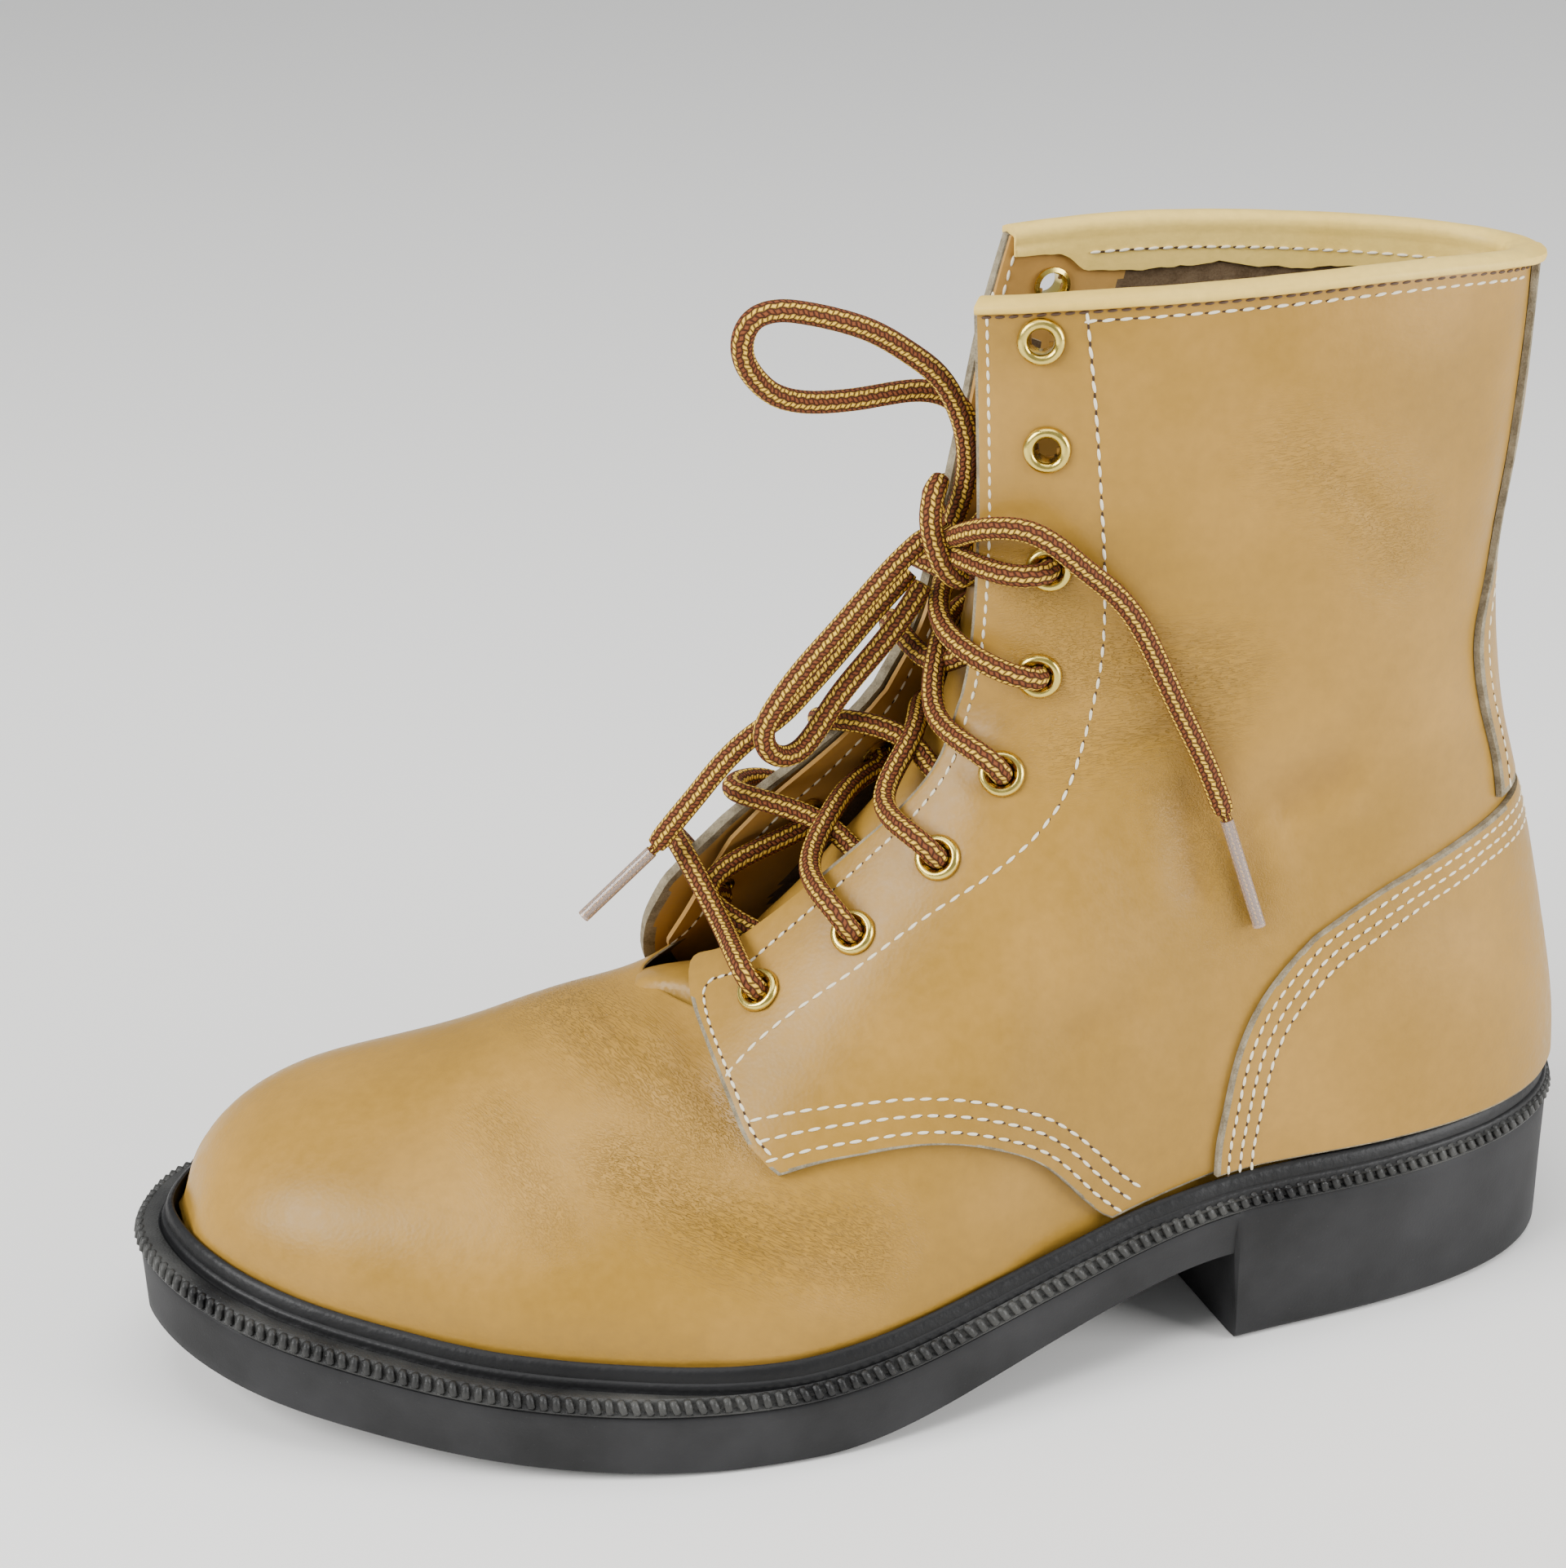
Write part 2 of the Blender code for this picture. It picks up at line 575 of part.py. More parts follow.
def placed(grid, side, lift=None):
    """Points and normals of a side-view grid; lift raises each row's front end off the form."""
    points = on_form(grid[..., 0], grid[..., 1], side)
    normals = form_normal(grid[..., 0], grid[..., 1], side)
    if lift is None:
        return points, normals
    far = np.linalg.norm(points - points[:, -1:], axis=-1)
    share = np.clip(1 - far / OPENED, 0, None) ** 2 * np.array(lift, float)[:, None]
    raised = points + share[..., None] * np.array(LIFT_WAY)
    bent = grid_normals(raised, side)
    bent *= np.where((bent * normals).sum(-1, keepdims=True) < 0, -1.0, 1.0)
    mix = ease(share / 2.0)[..., None]
    normals = normals * (1 - mix) + bent * mix
    return raised, normals / np.linalg.norm(normals, axis=-1, keepdims=True)


def wrapped_sheet(grid_out, grid_in, joined_front=0, lift=None):
    """Sheet round the back seam from two side-view grids (columns run from the seam to the edge).

    The first column is shared. Rows below joined_front also share their last column, on the ridge.
    """
    rows, cols = grid_out.shape[:2]
    sides = {1: placed(grid_out, 1), -1: placed(grid_in, -1, lift)}
    points, normals, number = [], [], {}

    def corner(side, k, j):
        shared = j == 0 or (j == cols - 1 and k < joined_front)
        key = (0 if shared else side, k, j)
        if key not in number:
            point, normal = (part[k, j].copy() for part in sides[side])
            if shared:
                point[1] = MID_Y(point[0])
                normal[1] = 0.0
                normal /= np.linalg.norm(normal)
            number[key] = len(points)
            points.append(point)
            normals.append(normal)
        return number[key]

    faces = []
    for k in range(rows - 1):
        for j in range(cols - 1):
            faces.append((corner(1, k, j), corner(1, k + 1, j), corner(1, k + 1, j + 1), corner(1, k, j + 1)))
            faces.append((corner(-1, k, j), corner(-1, k, j + 1), corner(-1, k + 1, j + 1), corner(-1, k + 1, j)))
    return np.array(points), np.array(normals), faces


def grid_faces(rows, cols, side):
    faces = []
    for k in range(rows - 1):
        for j in range(cols - 1):
            a = k * cols + j
            face = (a, a + cols, a + cols + 1, a + 1)
            faces.append(face if side > 0 else face[::-1])
    return faces


def side_sheet(grid, side, lift=None):
    """Sheet on one side of the boot."""
    points, normals = placed(grid, side, lift)
    return points.reshape(-1, 3), normals.reshape(-1, 3), grid_faces(*grid.shape[:2], side)


BACK_STEPS = (0.0, 1.2, 4.6, 10.5, 20.0, 33.0, 48.0)      # columns ahead of the back seam
QUARTER_COLUMNS = (0.22, 0.42, 0.50, 0.57, 0.67, 0.78, 0.88, 0.95, 1.0)
VAMP_COLUMNS = (0.11, 0.22, 0.34, 0.46, 0.59, 0.72, 0.84, 0.94, 1.0)
SHAFT_COLUMNS = (0.16, 0.32, 0.47, 0.60, 0.72, 0.82, 0.91, 0.97, 1.0)


def facing_edge(side):
    return np.array(FACING) if side > 0 else np.array(INNER_FACING)[:, :2]


COLLAR_TOP = {1: curve_through(COLLAR, 1), -1: curve_through(COLLAR, 2)}
COLLAR_BACK = COLLAR[0][1]


def upper_grid(side, columns=VAMP_COLUMNS, above=SHAFT_COLUMNS):
    """Rows of the hollow upper on one side, from under the feather line up to the collar."""
    backs = [side_wall_top(-30.0) + SEAT] + [row[0] for row in VAMP_ROWS] + list(FACING_BACKS)
    toe = side_wall_top(UPPER_TOE) + SEAT
    fronts = [np.array([UPPER_TOE - 0.02, toe])]
    for _, x, z in VAMP_ROWS:
        fronts.append(silhouette((130.0, 60.0), (x, z)))
    return row_lines(
        backs, np.vstack([fronts, facing_edge(side)]), BACK_STEPS,
        [columns] * len(fronts) + [above] * len(FACING),
        low=lambda x: side_wall_top(x) + SEAT, high=lambda x: COLLAR_TOP[side](x) - 1.2,
    )


def quarter_front(side):
    """Front edge of a quarter below the facing, one point a row: x, z, lift."""
    edge = (0, 1) if side > 0 else (2, 3)
    t = np.linspace(0, 1, len(VAMP_ROWS))
    return path_through(np.array(QUARTER_FRONT)[:, edge + (4,)])(t)


def quarter_grid(side, columns=QUARTER_COLUMNS, above=SHAFT_COLUMNS):
    """Rows of one quarter, from its lower edge up to the collar."""
    backs = [side_wall_top(-30.0) + PANEL_FOOT] + [row[0] for row in VAMP_ROWS[1:]] + list(FACING_BACKS)
    seam = curve_through(QUARTER_LOW, 1)

    def low(x):
        return np.where(x < QUARTER_LOW[0][0], side_wall_top(x) + PANEL_FOOT, seam(x))

    fronts = np.vstack([quarter_front(side)[:, :2], facing_edge(side)])
    return row_lines(
        backs, fronts, BACK_STEPS, [columns] * len(VAMP_ROWS) + [above] * len(FACING), low=low,
        high=lambda x: COLLAR_TOP[side](x) - 1.2,
    )


LIFT_WAY = (0.0, 0.3, 0.95)
QUARTER_LIFT = [*quarter_front(-1)[:, 2], *[row[2] for row in INNER_FACING]]
UPPER_LIFT = [0.0] * (1 + len(VAMP_ROWS)) + [row[3] for row in INNER_FACING]


def along_rows(grid, rows):
    """A grid read at fractional row numbers."""
    low = np.minimum(rows.astype(int), len(grid) - 2)
    f = (rows - low)[:, None, None]
    return grid[low] * (1 - f) + grid[low + 1] * f


def eyelet_places(side):
    """Centre and axis of each eyelet on the base form's face."""
    if side > 0:
        return [(on_form(x, z, 1), form_normal(x, z, 1)) for x, z in EYELETS]
    grid = quarter_grid(-1, spread(40)[1:], spread(40)[1:])
    rows = np.linspace(0, len(grid) - 1, 12 * len(grid))
    grid, points, normals = (along_rows(part, rows) for part in (grid, *placed(grid, -1, QUARTER_LIFT)))
    places = []
    for spot in INNER_EYELETS:
        far = np.linalg.norm(grid - spot, axis=-1)
        near = np.argsort(far.ravel())[:4]
        weight = 1 / (far.ravel()[near] + 0.2)
        weight = (weight / weight.sum())[:, None]
        axis = (normals.reshape(-1, 3)[near] * weight).sum(0)
        places.append(((points.reshape(-1, 3)[near] * weight).sum(0), axis / np.linalg.norm(axis)))
    return places


def turned(name, profile, places, segments, finish):
    """One closed profile (radius, height) turned about each place's axis, joined in one mesh."""
    points, faces = [], []
    count = len(profile)
    for centre, axis in places:
        base = len(points)
        across = np.cross(axis, (0.0, 0.0, 1.0))
        across /= np.linalg.norm(across)
        up = np.cross(across, axis)
        for i in range(segments):
            angle = 2 * math.pi * i / segments
            out = across * math.cos(angle) + up * math.sin(angle)
            points += [centre + out * r + axis * h for r, h in profile]
        for i in range(segments):
            a, b = base + i * count, base + (i + 1) % segments * count
            for j in range(count):
                k = (j + 1) % count
                faces.append((a + j, a + k, b + k, b + j))
    return add_object(name, points, faces, finish, 40)


def rods(name, places, radius, low, high, sides):
    """Hidden round cutters along each place's axis, joined in one mesh."""
    points, faces = [], []
    for centre, axis in places:
        base = len(points)
        across = np.cross(axis, (0.0, 0.0, 1.0))
        across /= np.linalg.norm(across)
        up = np.cross(across, axis)
        for h in (low, high):
            for i in range(sides):
                angle = 2 * math.pi * i / sides
                points.append(centre + (across * math.cos(angle) + up * math.sin(angle)) * radius + axis * h)
        for i in range(sides):
            k = (i + 1) % sides
            faces.append((base + i, base + k, base + sides + k, base + sides + i))
        faces.append(tuple(base + i for i in reversed(range(sides))))
        faces.append(tuple(base + sides + i for i in range(sides)))
    return outward(add_object(name, points, faces, BRASS))


def outward(obj):
    """Turn a closed mesh's faces outwards."""
    mesh = obj.data
    mesh.calc_loop_triangles()
    co = np.array([v.co for v in mesh.vertices])
    tri = np.array([t.vertices for t in mesh.loop_triangles])
    if np.linalg.det(co[tri]).sum() < 0:
        mesh.flip_normals()
        mesh.set_sharp_from_angle(angle=math.radians(35))
    return obj


# ---------------------------------------------------------------- sole unit
def edge_at(loop, x, side):
    """Point of a plan loop at a station x of the ground loop, on the outer or inner side."""
    back, tip = int(DENSE[:, 0].argmin()), int(DENSE[:, 0].argmax())
    if side > 0:
        order = np.arange(back, tip + 1)
    else:
        order = np.r_[np.arange(tip, len(DENSE)), np.arange(0, back + 1)][::-1]
    place = np.interp(x, DENSE[order, 0], np.arange(len(order)))
    low = np.minimum(place.astype(int), len(order) - 2)
    f = (place - low)[:, None]
    return loop[order[low]] * (1 - f) + loop[order[low + 1]] * f


def breast_skew(x):
    """The heel breast runs further forward on the inner side."""
    return (BREAST_IN - BREAST_OUT) * np.exp(-(((x - BREAST_OUT) / 24.0) ** 2))


def build_outsole():
    """Moulded sole and heel: stations from the heel's back to the toe, each a closed section."""
    ease_ends = spread(30)
    stations = list(HEEL_BACK + 0.25 + (TOE_TIP - HEEL_BACK - 0.5) * ease_ends)
    stations = [x for x in stations if abs(x - BREAST_OUT) > 4]
    stations += [BREAST_OUT - 0.6, BREAST_OUT + 0.6, FLAT_END - 9, FLAT_END + 9]
    stations = np.array(sorted(stations))
    heel = stations < BREAST_OUT
    inner_x = stations + breast_skew(stations)
    ground_out, ground_in = edge_at(DENSE, stations, 1), edge_at(DENSE, inner_x, -1)
    top_out, top_in = edge_at(WALL_TOP, stations, 1), edge_at(WALL_TOP, inner_x, -1)
    points = []
    for i, x in enumerate(stations):
        floor = (lambda at: 0.0 * at) if heel[i] else under_sole
        ring = []
        for f in (0.0, 0.25, 0.5, 0.75, 1.0):
            p = ground_out[i] * (1 - f) + ground_in[i] * f
            ring.append((p[0], p[1], float(floor(p[0]))))
        for f in (0.45, 0.92, 1.0):
            p = ground_in[i] * (1 - f) + top_in[i] * f
            low, high = float(floor(p[0])), float(side_wall_top(p[0]))
            ring.append((p[0], p[1], low + (high - low) * (f if f < 1 else 1.0)))
        ring[-1] = (top_in[i][0], top_in[i][1] + 0.9, ring[-1][2])
        for f in (0.75, 0.5, 0.25):
            p = top_out[i] * (1 - f) + top_in[i] * f
            ring.append((p[0], p[1], float(side_wall_top(p[0]))))
        for f in (1.0, 0.92, 0.45):
            p = ground_out[i] * (1 - f) + top_out[i] * f
            low, high = float(floor(p[0])), float(side_wall_top(p[0]))
            ring.append((p[0], p[1], low + (high - low) * (f if f < 1 else 1.0)))
        ring[11] = (top_out[i][0], top_out[i][1] - 0.9, ring[11][2])
        points += ring
    count = 14
    faces = []
    for i in range(len(stations) - 1):
        for j in range(count):
            k = (j + 1) % count
            faces.append((i * count + j, i * count + k, (i + 1) * count + k, (i + 1) * count + j))
    faces.append(tuple(reversed(range(count))))
    faces.append(tuple(range((len(stations) - 1) * count, len(stations) * count)))
    return outward(add_object("outsole", points, faces, RUBBER, 30))


def build_welt():
    """Storm welt: a bead outside, a groove, and a lip standing against the upper."""
    profile = (
        (0.3, 0.3, 0.0), (-0.5, 1.5, 0.0), (-0.6, 3.0, 0.0), (0.0, 4.3, 0.0),
        (-3.0, 4.2, 1.0), (-1.9, 7.9, 1.0), (0.0, 8.2, 1.0), (0.0, 0.3, 1.0),
    )
    count = 52
    ring = len(profile)
    rails = [inset_loop(WALL_TOP, lambda x, d=d, w=w: d + w * welt_inset(x)) for d, _, w in profile]
    picks = (np.arange(count) * len(WALL_TOP)) // count
    points, faces = [], []
    for i in picks:
        for rail, (_, h, _) in zip(rails, profile):
            x, y = rail[i]
            points.append((x, y, float(side_wall_top(WALL_TOP[i, 0])) + h))
    for i in range(count):
        a, b = i * ring, (i + 1) % count * ring
        for j in range(ring):
            k = (j + 1) % ring
            faces.append((a + j, a + k, b + k, b + j))
    return outward(add_object("welt", points, faces, WELT_RUBBER, 30))


def build_insole():
    """Insole board inside the upper, on the sole."""
    clear = [(205, 1.8), (245, 6.5)]
    loop = inset_loop(WALL_TOP, lambda x: upper_inset(x) + BASE_WALL + step_between(x, clear))
    stations = HEEL_BACK + 0.8 + (TOE_TIP - HEEL_BACK - 1.6) * spread(18)
    outer, inner = edge_at(loop, stations, 1), edge_at(loop, stations, -1)
    points = []
    for a, b in zip(outer, inner):
        across = (0.0, 0.33, 0.67, 1.0)
        ring = [(f, INSOLE[0]) for f in across] + [(f, INSOLE[1]) for f in across[::-1]]
        for f, h in ring:
            p = a * (1 - f) + b * f
            points.append((p[0], p[1], float(side_wall_top(p[0])) + h))
    count = 8
    faces = []
    for i in range(len(stations) - 1):
        for j in range(count):
            k = (j + 1) % count
            faces.append((i * count + j, i * count + k, (i + 1) * count + k, (i + 1) * count + j))
    faces.append(tuple(reversed(range(count))))
    faces.append(tuple(range((len(stations) - 1) * count, len(stations) * count)))
    return outward(add_object("insole", points, faces, RAW_EDGE))


# ---------------------------------------------------------------- leather
def build_upper():
    joined = 1 + len(VAMP_ROWS)
    sheet = wrapped_sheet(upper_grid(1), upper_grid(-1), joined, UPPER_LIFT)
    return outward(add_object("upper", *thicken(*sheet, -BASE_WALL, 0.0), LEATHER))


def build_quarter(side):
    name = "quarter_outer" if side > 0 else "quarter_inner"
    grid = quarter_grid(side)
    sheet = side_sheet(grid, side, QUARTER_LIFT if side < 0 else None)
    return outward(add_object(name, *thicken(*sheet, *QUARTER), LEATHER))


def build_counter():
    top = curve_through(COUNTER_TOP, 1)
    grid = row_lines(
        [row[0] for row in COUNTER_ROWS], [row[1:] for row in COUNTER_ROWS], BACK_STEPS[:-1],
        [(0.34, 0.68, 1.0)] * len(COUNTER_ROWS),
        low=lambda x: side_wall_top(x) + PANEL_FOOT,
    )
    t = np.linspace(0, 1, len(grid))[:, None]
    grid[:, :, 1] += (top(grid[-1, :, 0]) - grid[-1, :, 1])[None] * t**2
    return outward(add_object("heel_counter", *thicken(*wrapped_sheet(grid, grid), *OVERLAY), LEATHER))


def build_backstay():
    rows = [(z, (x, z)) for z, x in BACKSTAY_ROWS]
    columns = [(0.4, 1.0)] * len(rows)
    grid = row_lines([z for z, _ in rows], [end for _, end in rows], BACK_STEPS[:2], columns)
    return outward(add_object("backstay", *thicken(*wrapped_sheet(grid, grid), *OVERLAY), LEATHER))


def tongue_sections(count):
    """Middle sheet of the tongue: sections from under the outer facing to under the inner one."""
    rows = []
    for x in TONGUE_BASE:
        top = float(ridge_height(x))
        low = sum(TONGUE_LOW) / 2 - 1.4 * (x < 160)
        path = []
        for side, share in ((1, 0.30), (1, 0.14), (1, 0.03), (-1, 0.03), (-1, 0.14), (-1, 0.30)):
            z = top - (top - 40.0) * share
            path.append(on_form(x, z, side) + form_normal(x, z, side) * low)
        middle = (path[2] + path[3]) / 2 + np.array([0.0, 0.0, 0.4])
        rows.append(path[:2] + [middle] + path[4:])
    for k in range(1, TONGUE_TOP + 1):
        path = []
        for side in (1, -1):
            edge = facing_edge(side)
            ahead = edge[min(k + 1, len(edge) - 1)] - edge[k - 1]
            back = np.array([-ahead[1], ahead[0]]) / np.linalg.norm(ahead)
            back *= -1.0 if back[0] > 0 else 1.0
            spots = [edge[k] + back * share * TONGUE_HIDE for share in (1.0, 0.45, 0.0)]
            legs = [on_form(x, z, side) + form_normal(x, z, side) * -TONGUE_DEPTH[k] for x, z in spots]
            path += legs if side > 0 else legs[::-1]
        middle = (path[2] + path[3]) / 2 + np.array([1.0, 0.0, 1.0]) * TONGUE_FOLD[k]
        rows.append(path[:2] + [middle] + path[4:])
    t = np.linspace(0, 1, count)
    return np.array([path_through(row)(t) for row in rows])


def build_tongue():
    grid = tongue_sections(8)
    normals = grid_normals(grid, 1)
    rows, cols = grid.shape[:2]
    flat = grid.reshape(-1, 3), normals.reshape(-1, 3), grid_faces(rows, cols, 1)
    half = TONGUE_WALL / 2
    return outward(add_object("tongue", *thicken(*flat, -half, half), LEATHER))


def build_binding():
    """Collar binding: folded over the top edge, from one facing round the back to the other."""
    n = 10
    columns = []
    for side in (1, -1):
        front = facing_edge(side)[-1][0]
        back = back_point(COLLAR_BACK)[0]
        xs = back + (front - 0.4 - back) * spread(n)
        ids = range(n, -1, -1) if side > 0 else range(1, n + 1)
        for j in ids:
            columns.append((xs[j], side, j == 0, 1 - ease((xs[j] - back) / 40.0)))
    points = []
    section = 9
    for x, side, seam, fade in columns:
        z = float(COLLAR_TOP[side](x))
        low = float(step_between(x, [(-27.5, OVERLAY[1] + GAP), (-19.0, QUARTER[1] + GAP)]))
        inside = -BASE_WALL - 1.5 * GAP
        skirt = SKIRT - (SKIRT - 3.5) * float(ease((x - 57.0) / 9.0))
        feet = {}
        for h in (0.0, -skirt):
            # the skirt keeps its distance from the back seam, which leans
            at = x + float(back_point(z - 2.0 + h)[0] - back_point(z - 2.0)[0]) * fade
            p, nrm = on_form(at, z - 2.0 + h, side), form_normal(at, z - 2.0 + h, side)
            if seam:
                p = np.array([back_point(z - 2.0 + h)[0], MID_Y(at), 0.0])
                nrm = np.array([-1.0, 0.0, 0.0])
            nrm = np.array([nrm[0], nrm[1], 0.0])
            feet[h] = p, nrm / np.linalg.norm(nrm)
        profile = (
            (low, -BINDING_LIP), (low + BINDING_WALL, 0.1 - BINDING_LIP), (low + BINDING_WALL, -0.4),
            (low * 0.4, BINDING_HEAD), (inside - BINDING_WALL, 0.2), (inside - BINDING_WALL, -skirt),
            (inside, -skirt), (inside, -BINDING_WALL), (low, -BINDING_WALL),
        )
        for out, h in profile:
            p, nrm = feet[-skirt if h == -skirt else 0.0]
            q = p + nrm * out
            points.append((q[0], q[1], z + h))
    faces = []
    for i in range(len(columns) - 1):
        for j in range(section):
            k = (j + 1) % section
            faces.append((i * section + j, i * section + k, (i + 1) * section + k, (i + 1) * section + j))
    faces.append(tuple(reversed(range(section))))
    faces.append(tuple(range((len(columns) - 1) * section, len(columns) * section)))
    return outward(add_object("collar_binding", points, faces, CREAM))


def build_eyelets():
    top = QUARTER[1]
    flange = (
        (EYELET_BORE, top + 1.7), (EYELET_FLANGE, top + 1.0),
        (EYELET_BARREL, top + 0.7), (EYELET_BARREL, -EYELET_BACK), (EYELET_BORE, -EYELET_BACK),
    )
    for side, word in ((1, "outer"), (-1, "inner")):
        for i, place in enumerate(eyelet_places(side)):
            outward(turned(f"eyelet_{word}_{i + 1}", flange, [place], 8, BRASS))


# ---------------------------------------------------------------- laces
class Facing:
    """Front edge of one facing with its directions, for the lace to pass over or under."""

    def __init__(self, side):
        points, normals = placed(quarter_grid(side), side, QUARTER_LIFT if side < 0 else None)
        rows = np.linspace(len(VAMP_ROWS), len(points) - 1, 8 * len(FACING))
        self.edge, self.out, before = (
            along_rows(part[:, None], rows)[:, 0] for part in (points[:, -1], normals[:, -1], points[:, -2])
        )
        ahead = self.edge - before
        self.ahead = ahead / np.linalg.norm(ahead, axis=1)[:, None]
        self.eyelets = eyelet_places(side)

    def at(self, z, ahead, out):
        """Point beside the edge at a height: this far ahead of it, and this far out of its face."""
        i = np.abs(self.edge[:, 2] - z).argmin()
        return self.edge[i] + self.ahead[i] * ahead + self.out[i] * out

    def from_hole(self, number, towards, outside=True):
        """Lace out of an eyelet, turning off towards a point: on the outer face or underneath."""
        centre, axis = self.eyelets[number - 1]
        way = towards - centre
        way -= axis * (way @ axis)
        way /= np.linalg.norm(way)
        if outside:
            steps = ((0.0, LACE_RISE), (0.6, LACE_RISE + 1.6), (2.4, LACE_RISE + 2.6))
        else:
            steps = ((0.0, -SUNK / 2), (0.5, 1.0 - SUNK), (2.2, -SUNK))
        return [centre + way * a + axis * h for a, h in steps]


def lace_run(points):
    """Faceted round tube along route points: points and faces."""
    route = np.array(points)
    length = np.linalg.norm(np.diff(route, axis=0), axis=1).sum()
    line = path_through(route)(np.linspace(0, 1, int(length / LACE_STEP) + 2))
    tangent = np.gradient(line, axis=0)
    tangent /= np.linalg.norm(tangent, axis=1)[:, None]
    across = np.cross(tangent[0], (0.3, 0.2, 0.9))
    made = []
    for p, t in zip(line, tangent):
        across = across - t * (across @ t)
        across /= np.linalg.norm(across)
        up = np.cross(t, across)
        for i in range(LACE_SIDES):
            angle = 2 * math.pi * i / LACE_SIDES
            made.append(p + (across * math.cos(angle) + up * math.sin(angle)) * LACE / 2)
    faces = []
    for i in range(len(line) - 1):
        for j in range(LACE_SIDES):
            k = (j + 1) % LACE_SIDES
            a, b = i * LACE_SIDES, (i + 1) * LACE_SIDES
            faces.append((a + j, a + k, b + k, b + j))
    faces.append(tuple(reversed(range(LACE_SIDES))))
    faces.append(tuple(range((len(line) - 1) * LACE_SIDES, len(line) * LACE_SIDES)))
    return made, faces


def build_lacing():
    """Bottom bar and crossings, each crossing one joined solid."""
    outer, inner = Facing(1), Facing(-1)
    z_near, z_far = BAR_EDGE
    bar = outer.from_hole(8, outer.at(z_near, 0, 3)) + [outer.at(z_near, 1.0, RAISED + 0.2)]
    bar += [inner.at(z_far, 3.4, 2.5), inner.at(z_far, 0.5, RAISED + 1.0)]
    bar += inner.from_hole(8, inner.at(z_far, 0, 3))[::-1]
    outward(add_object("lacing_bar", *lace_run(bar), LACE_CLOTH))
    for number, near_over, near_under, far_over, (x, y, z) in CROSSINGS:
        middle = np.array([x, y, z])
        if number == 8:
            over = outer.from_hole(8, outer.at(near_over, 0, 0), False) + [outer.at(near_over, 1.0, -SUNK)]
            under = inner.from_hole(8, middle, False)
        else:
            start = outer.at(near_over, 0, 3)
            over = outer.from_hole(number, start)
            over += [outer.at(near_over, 0.5, RAISED), outer.at(near_over, 3.4, 3.0)]
            side = inner.at(far_over, 0, 3)
            under = inner.from_hole(number, side)
            under += [inner.at(far_over, 0.5, RAISED + 1.0), inner.at(far_over, 3.6, 2.0)]
        over += [middle + np.array([0.4, 0.0, 0.8])]
        over += inner.from_hole(number - 1, middle, False)[::-1]
        under += [middle - np.array([0.4, 0.0, 0.8]), outer.at(near_under, 1.5, 0.1 - SUNK)]
        under += outer.from_hole(number - 1, outer.at(near_under, 0, 0), False)[::-1]
        first = outward(add_object(f"lacing_{number}", *lace_run(over), LACE_CLOTH))
        second = outward(add_object(f"lacing_{number}_under", *lace_run(under), LACE_CLOTH))
        second.hide_render = True
        second.display_type = "WIRE"
        join = first.modifiers.new("join", "BOOLEAN")
        join.operation = "UNION"
        join.solver = "EXACT"
        join.object = second


def build_bow():
    """Knot, loops and ends: round cords along smooth routes."""
    for name, (count, radius, points) in BOW.items():
        finish = CLEAR_TIP if name.startswith("aglet") else LACE_CLOTH
        line = path_through(points)(np.linspace(0, 1, count)) if len(points) > 2 else np.array(points, float)
        curve = bpy.data.curves.new(name, "CURVE")
        curve.dimensions = "3D"
        curve.bevel_depth = radius * MM
        curve.bevel_resolution = 1
        curve.use_fill_caps = True
        spline = curve.splines.new("POLY")
        spline.points.add(len(line) - 1)
        for point, p in zip(spline.points, line):
            point.co = (*(p * MM), 1.0)
        obj = bpy.data.objects.new(name, curve)
        obj.data.materials.append(material(**finish))
        bpy.context.scene.collection.objects.link(obj)
        obj.parent = bpy.data.objects["boot"]


def main():
    for obj in list(bpy.data.objects):
        bpy.data.objects.remove(obj, do_unlink=True)
    frame = bpy.data.objects.new("boot", None)
    bpy.context.scene.collection.objects.link(frame)
    build_outsole()
    build_welt()
    build_insole()
    upper = build_upper()
    quarters = {1: build_quarter(1), -1: build_quarter(-1)}
    build_counter()
    build_backstay()
    build_binding()
    build_tongue()
    for side, quarter in quarters.items():
        holes = rods(f"eyelet_holes_{side + 1}", eyelet_places(side), EYELET_HOLE, -6.0, 6.0, 8)
        cut(quarter, holes)
        cut(upper, holes)
    build_eyelets()
    build_lacing()
    build_bow()


if __name__ == "__main__":
    main()
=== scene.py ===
"""Left work boot in smooth tan leather, dressed over its solid parts.

Frame: +X towards the toe, +Y towards the outer side, +Z up. Tables and sizes are in millimetres;
meshes are made in metres.
"""

import math

import bpy
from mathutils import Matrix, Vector, kdtree
import numpy as np


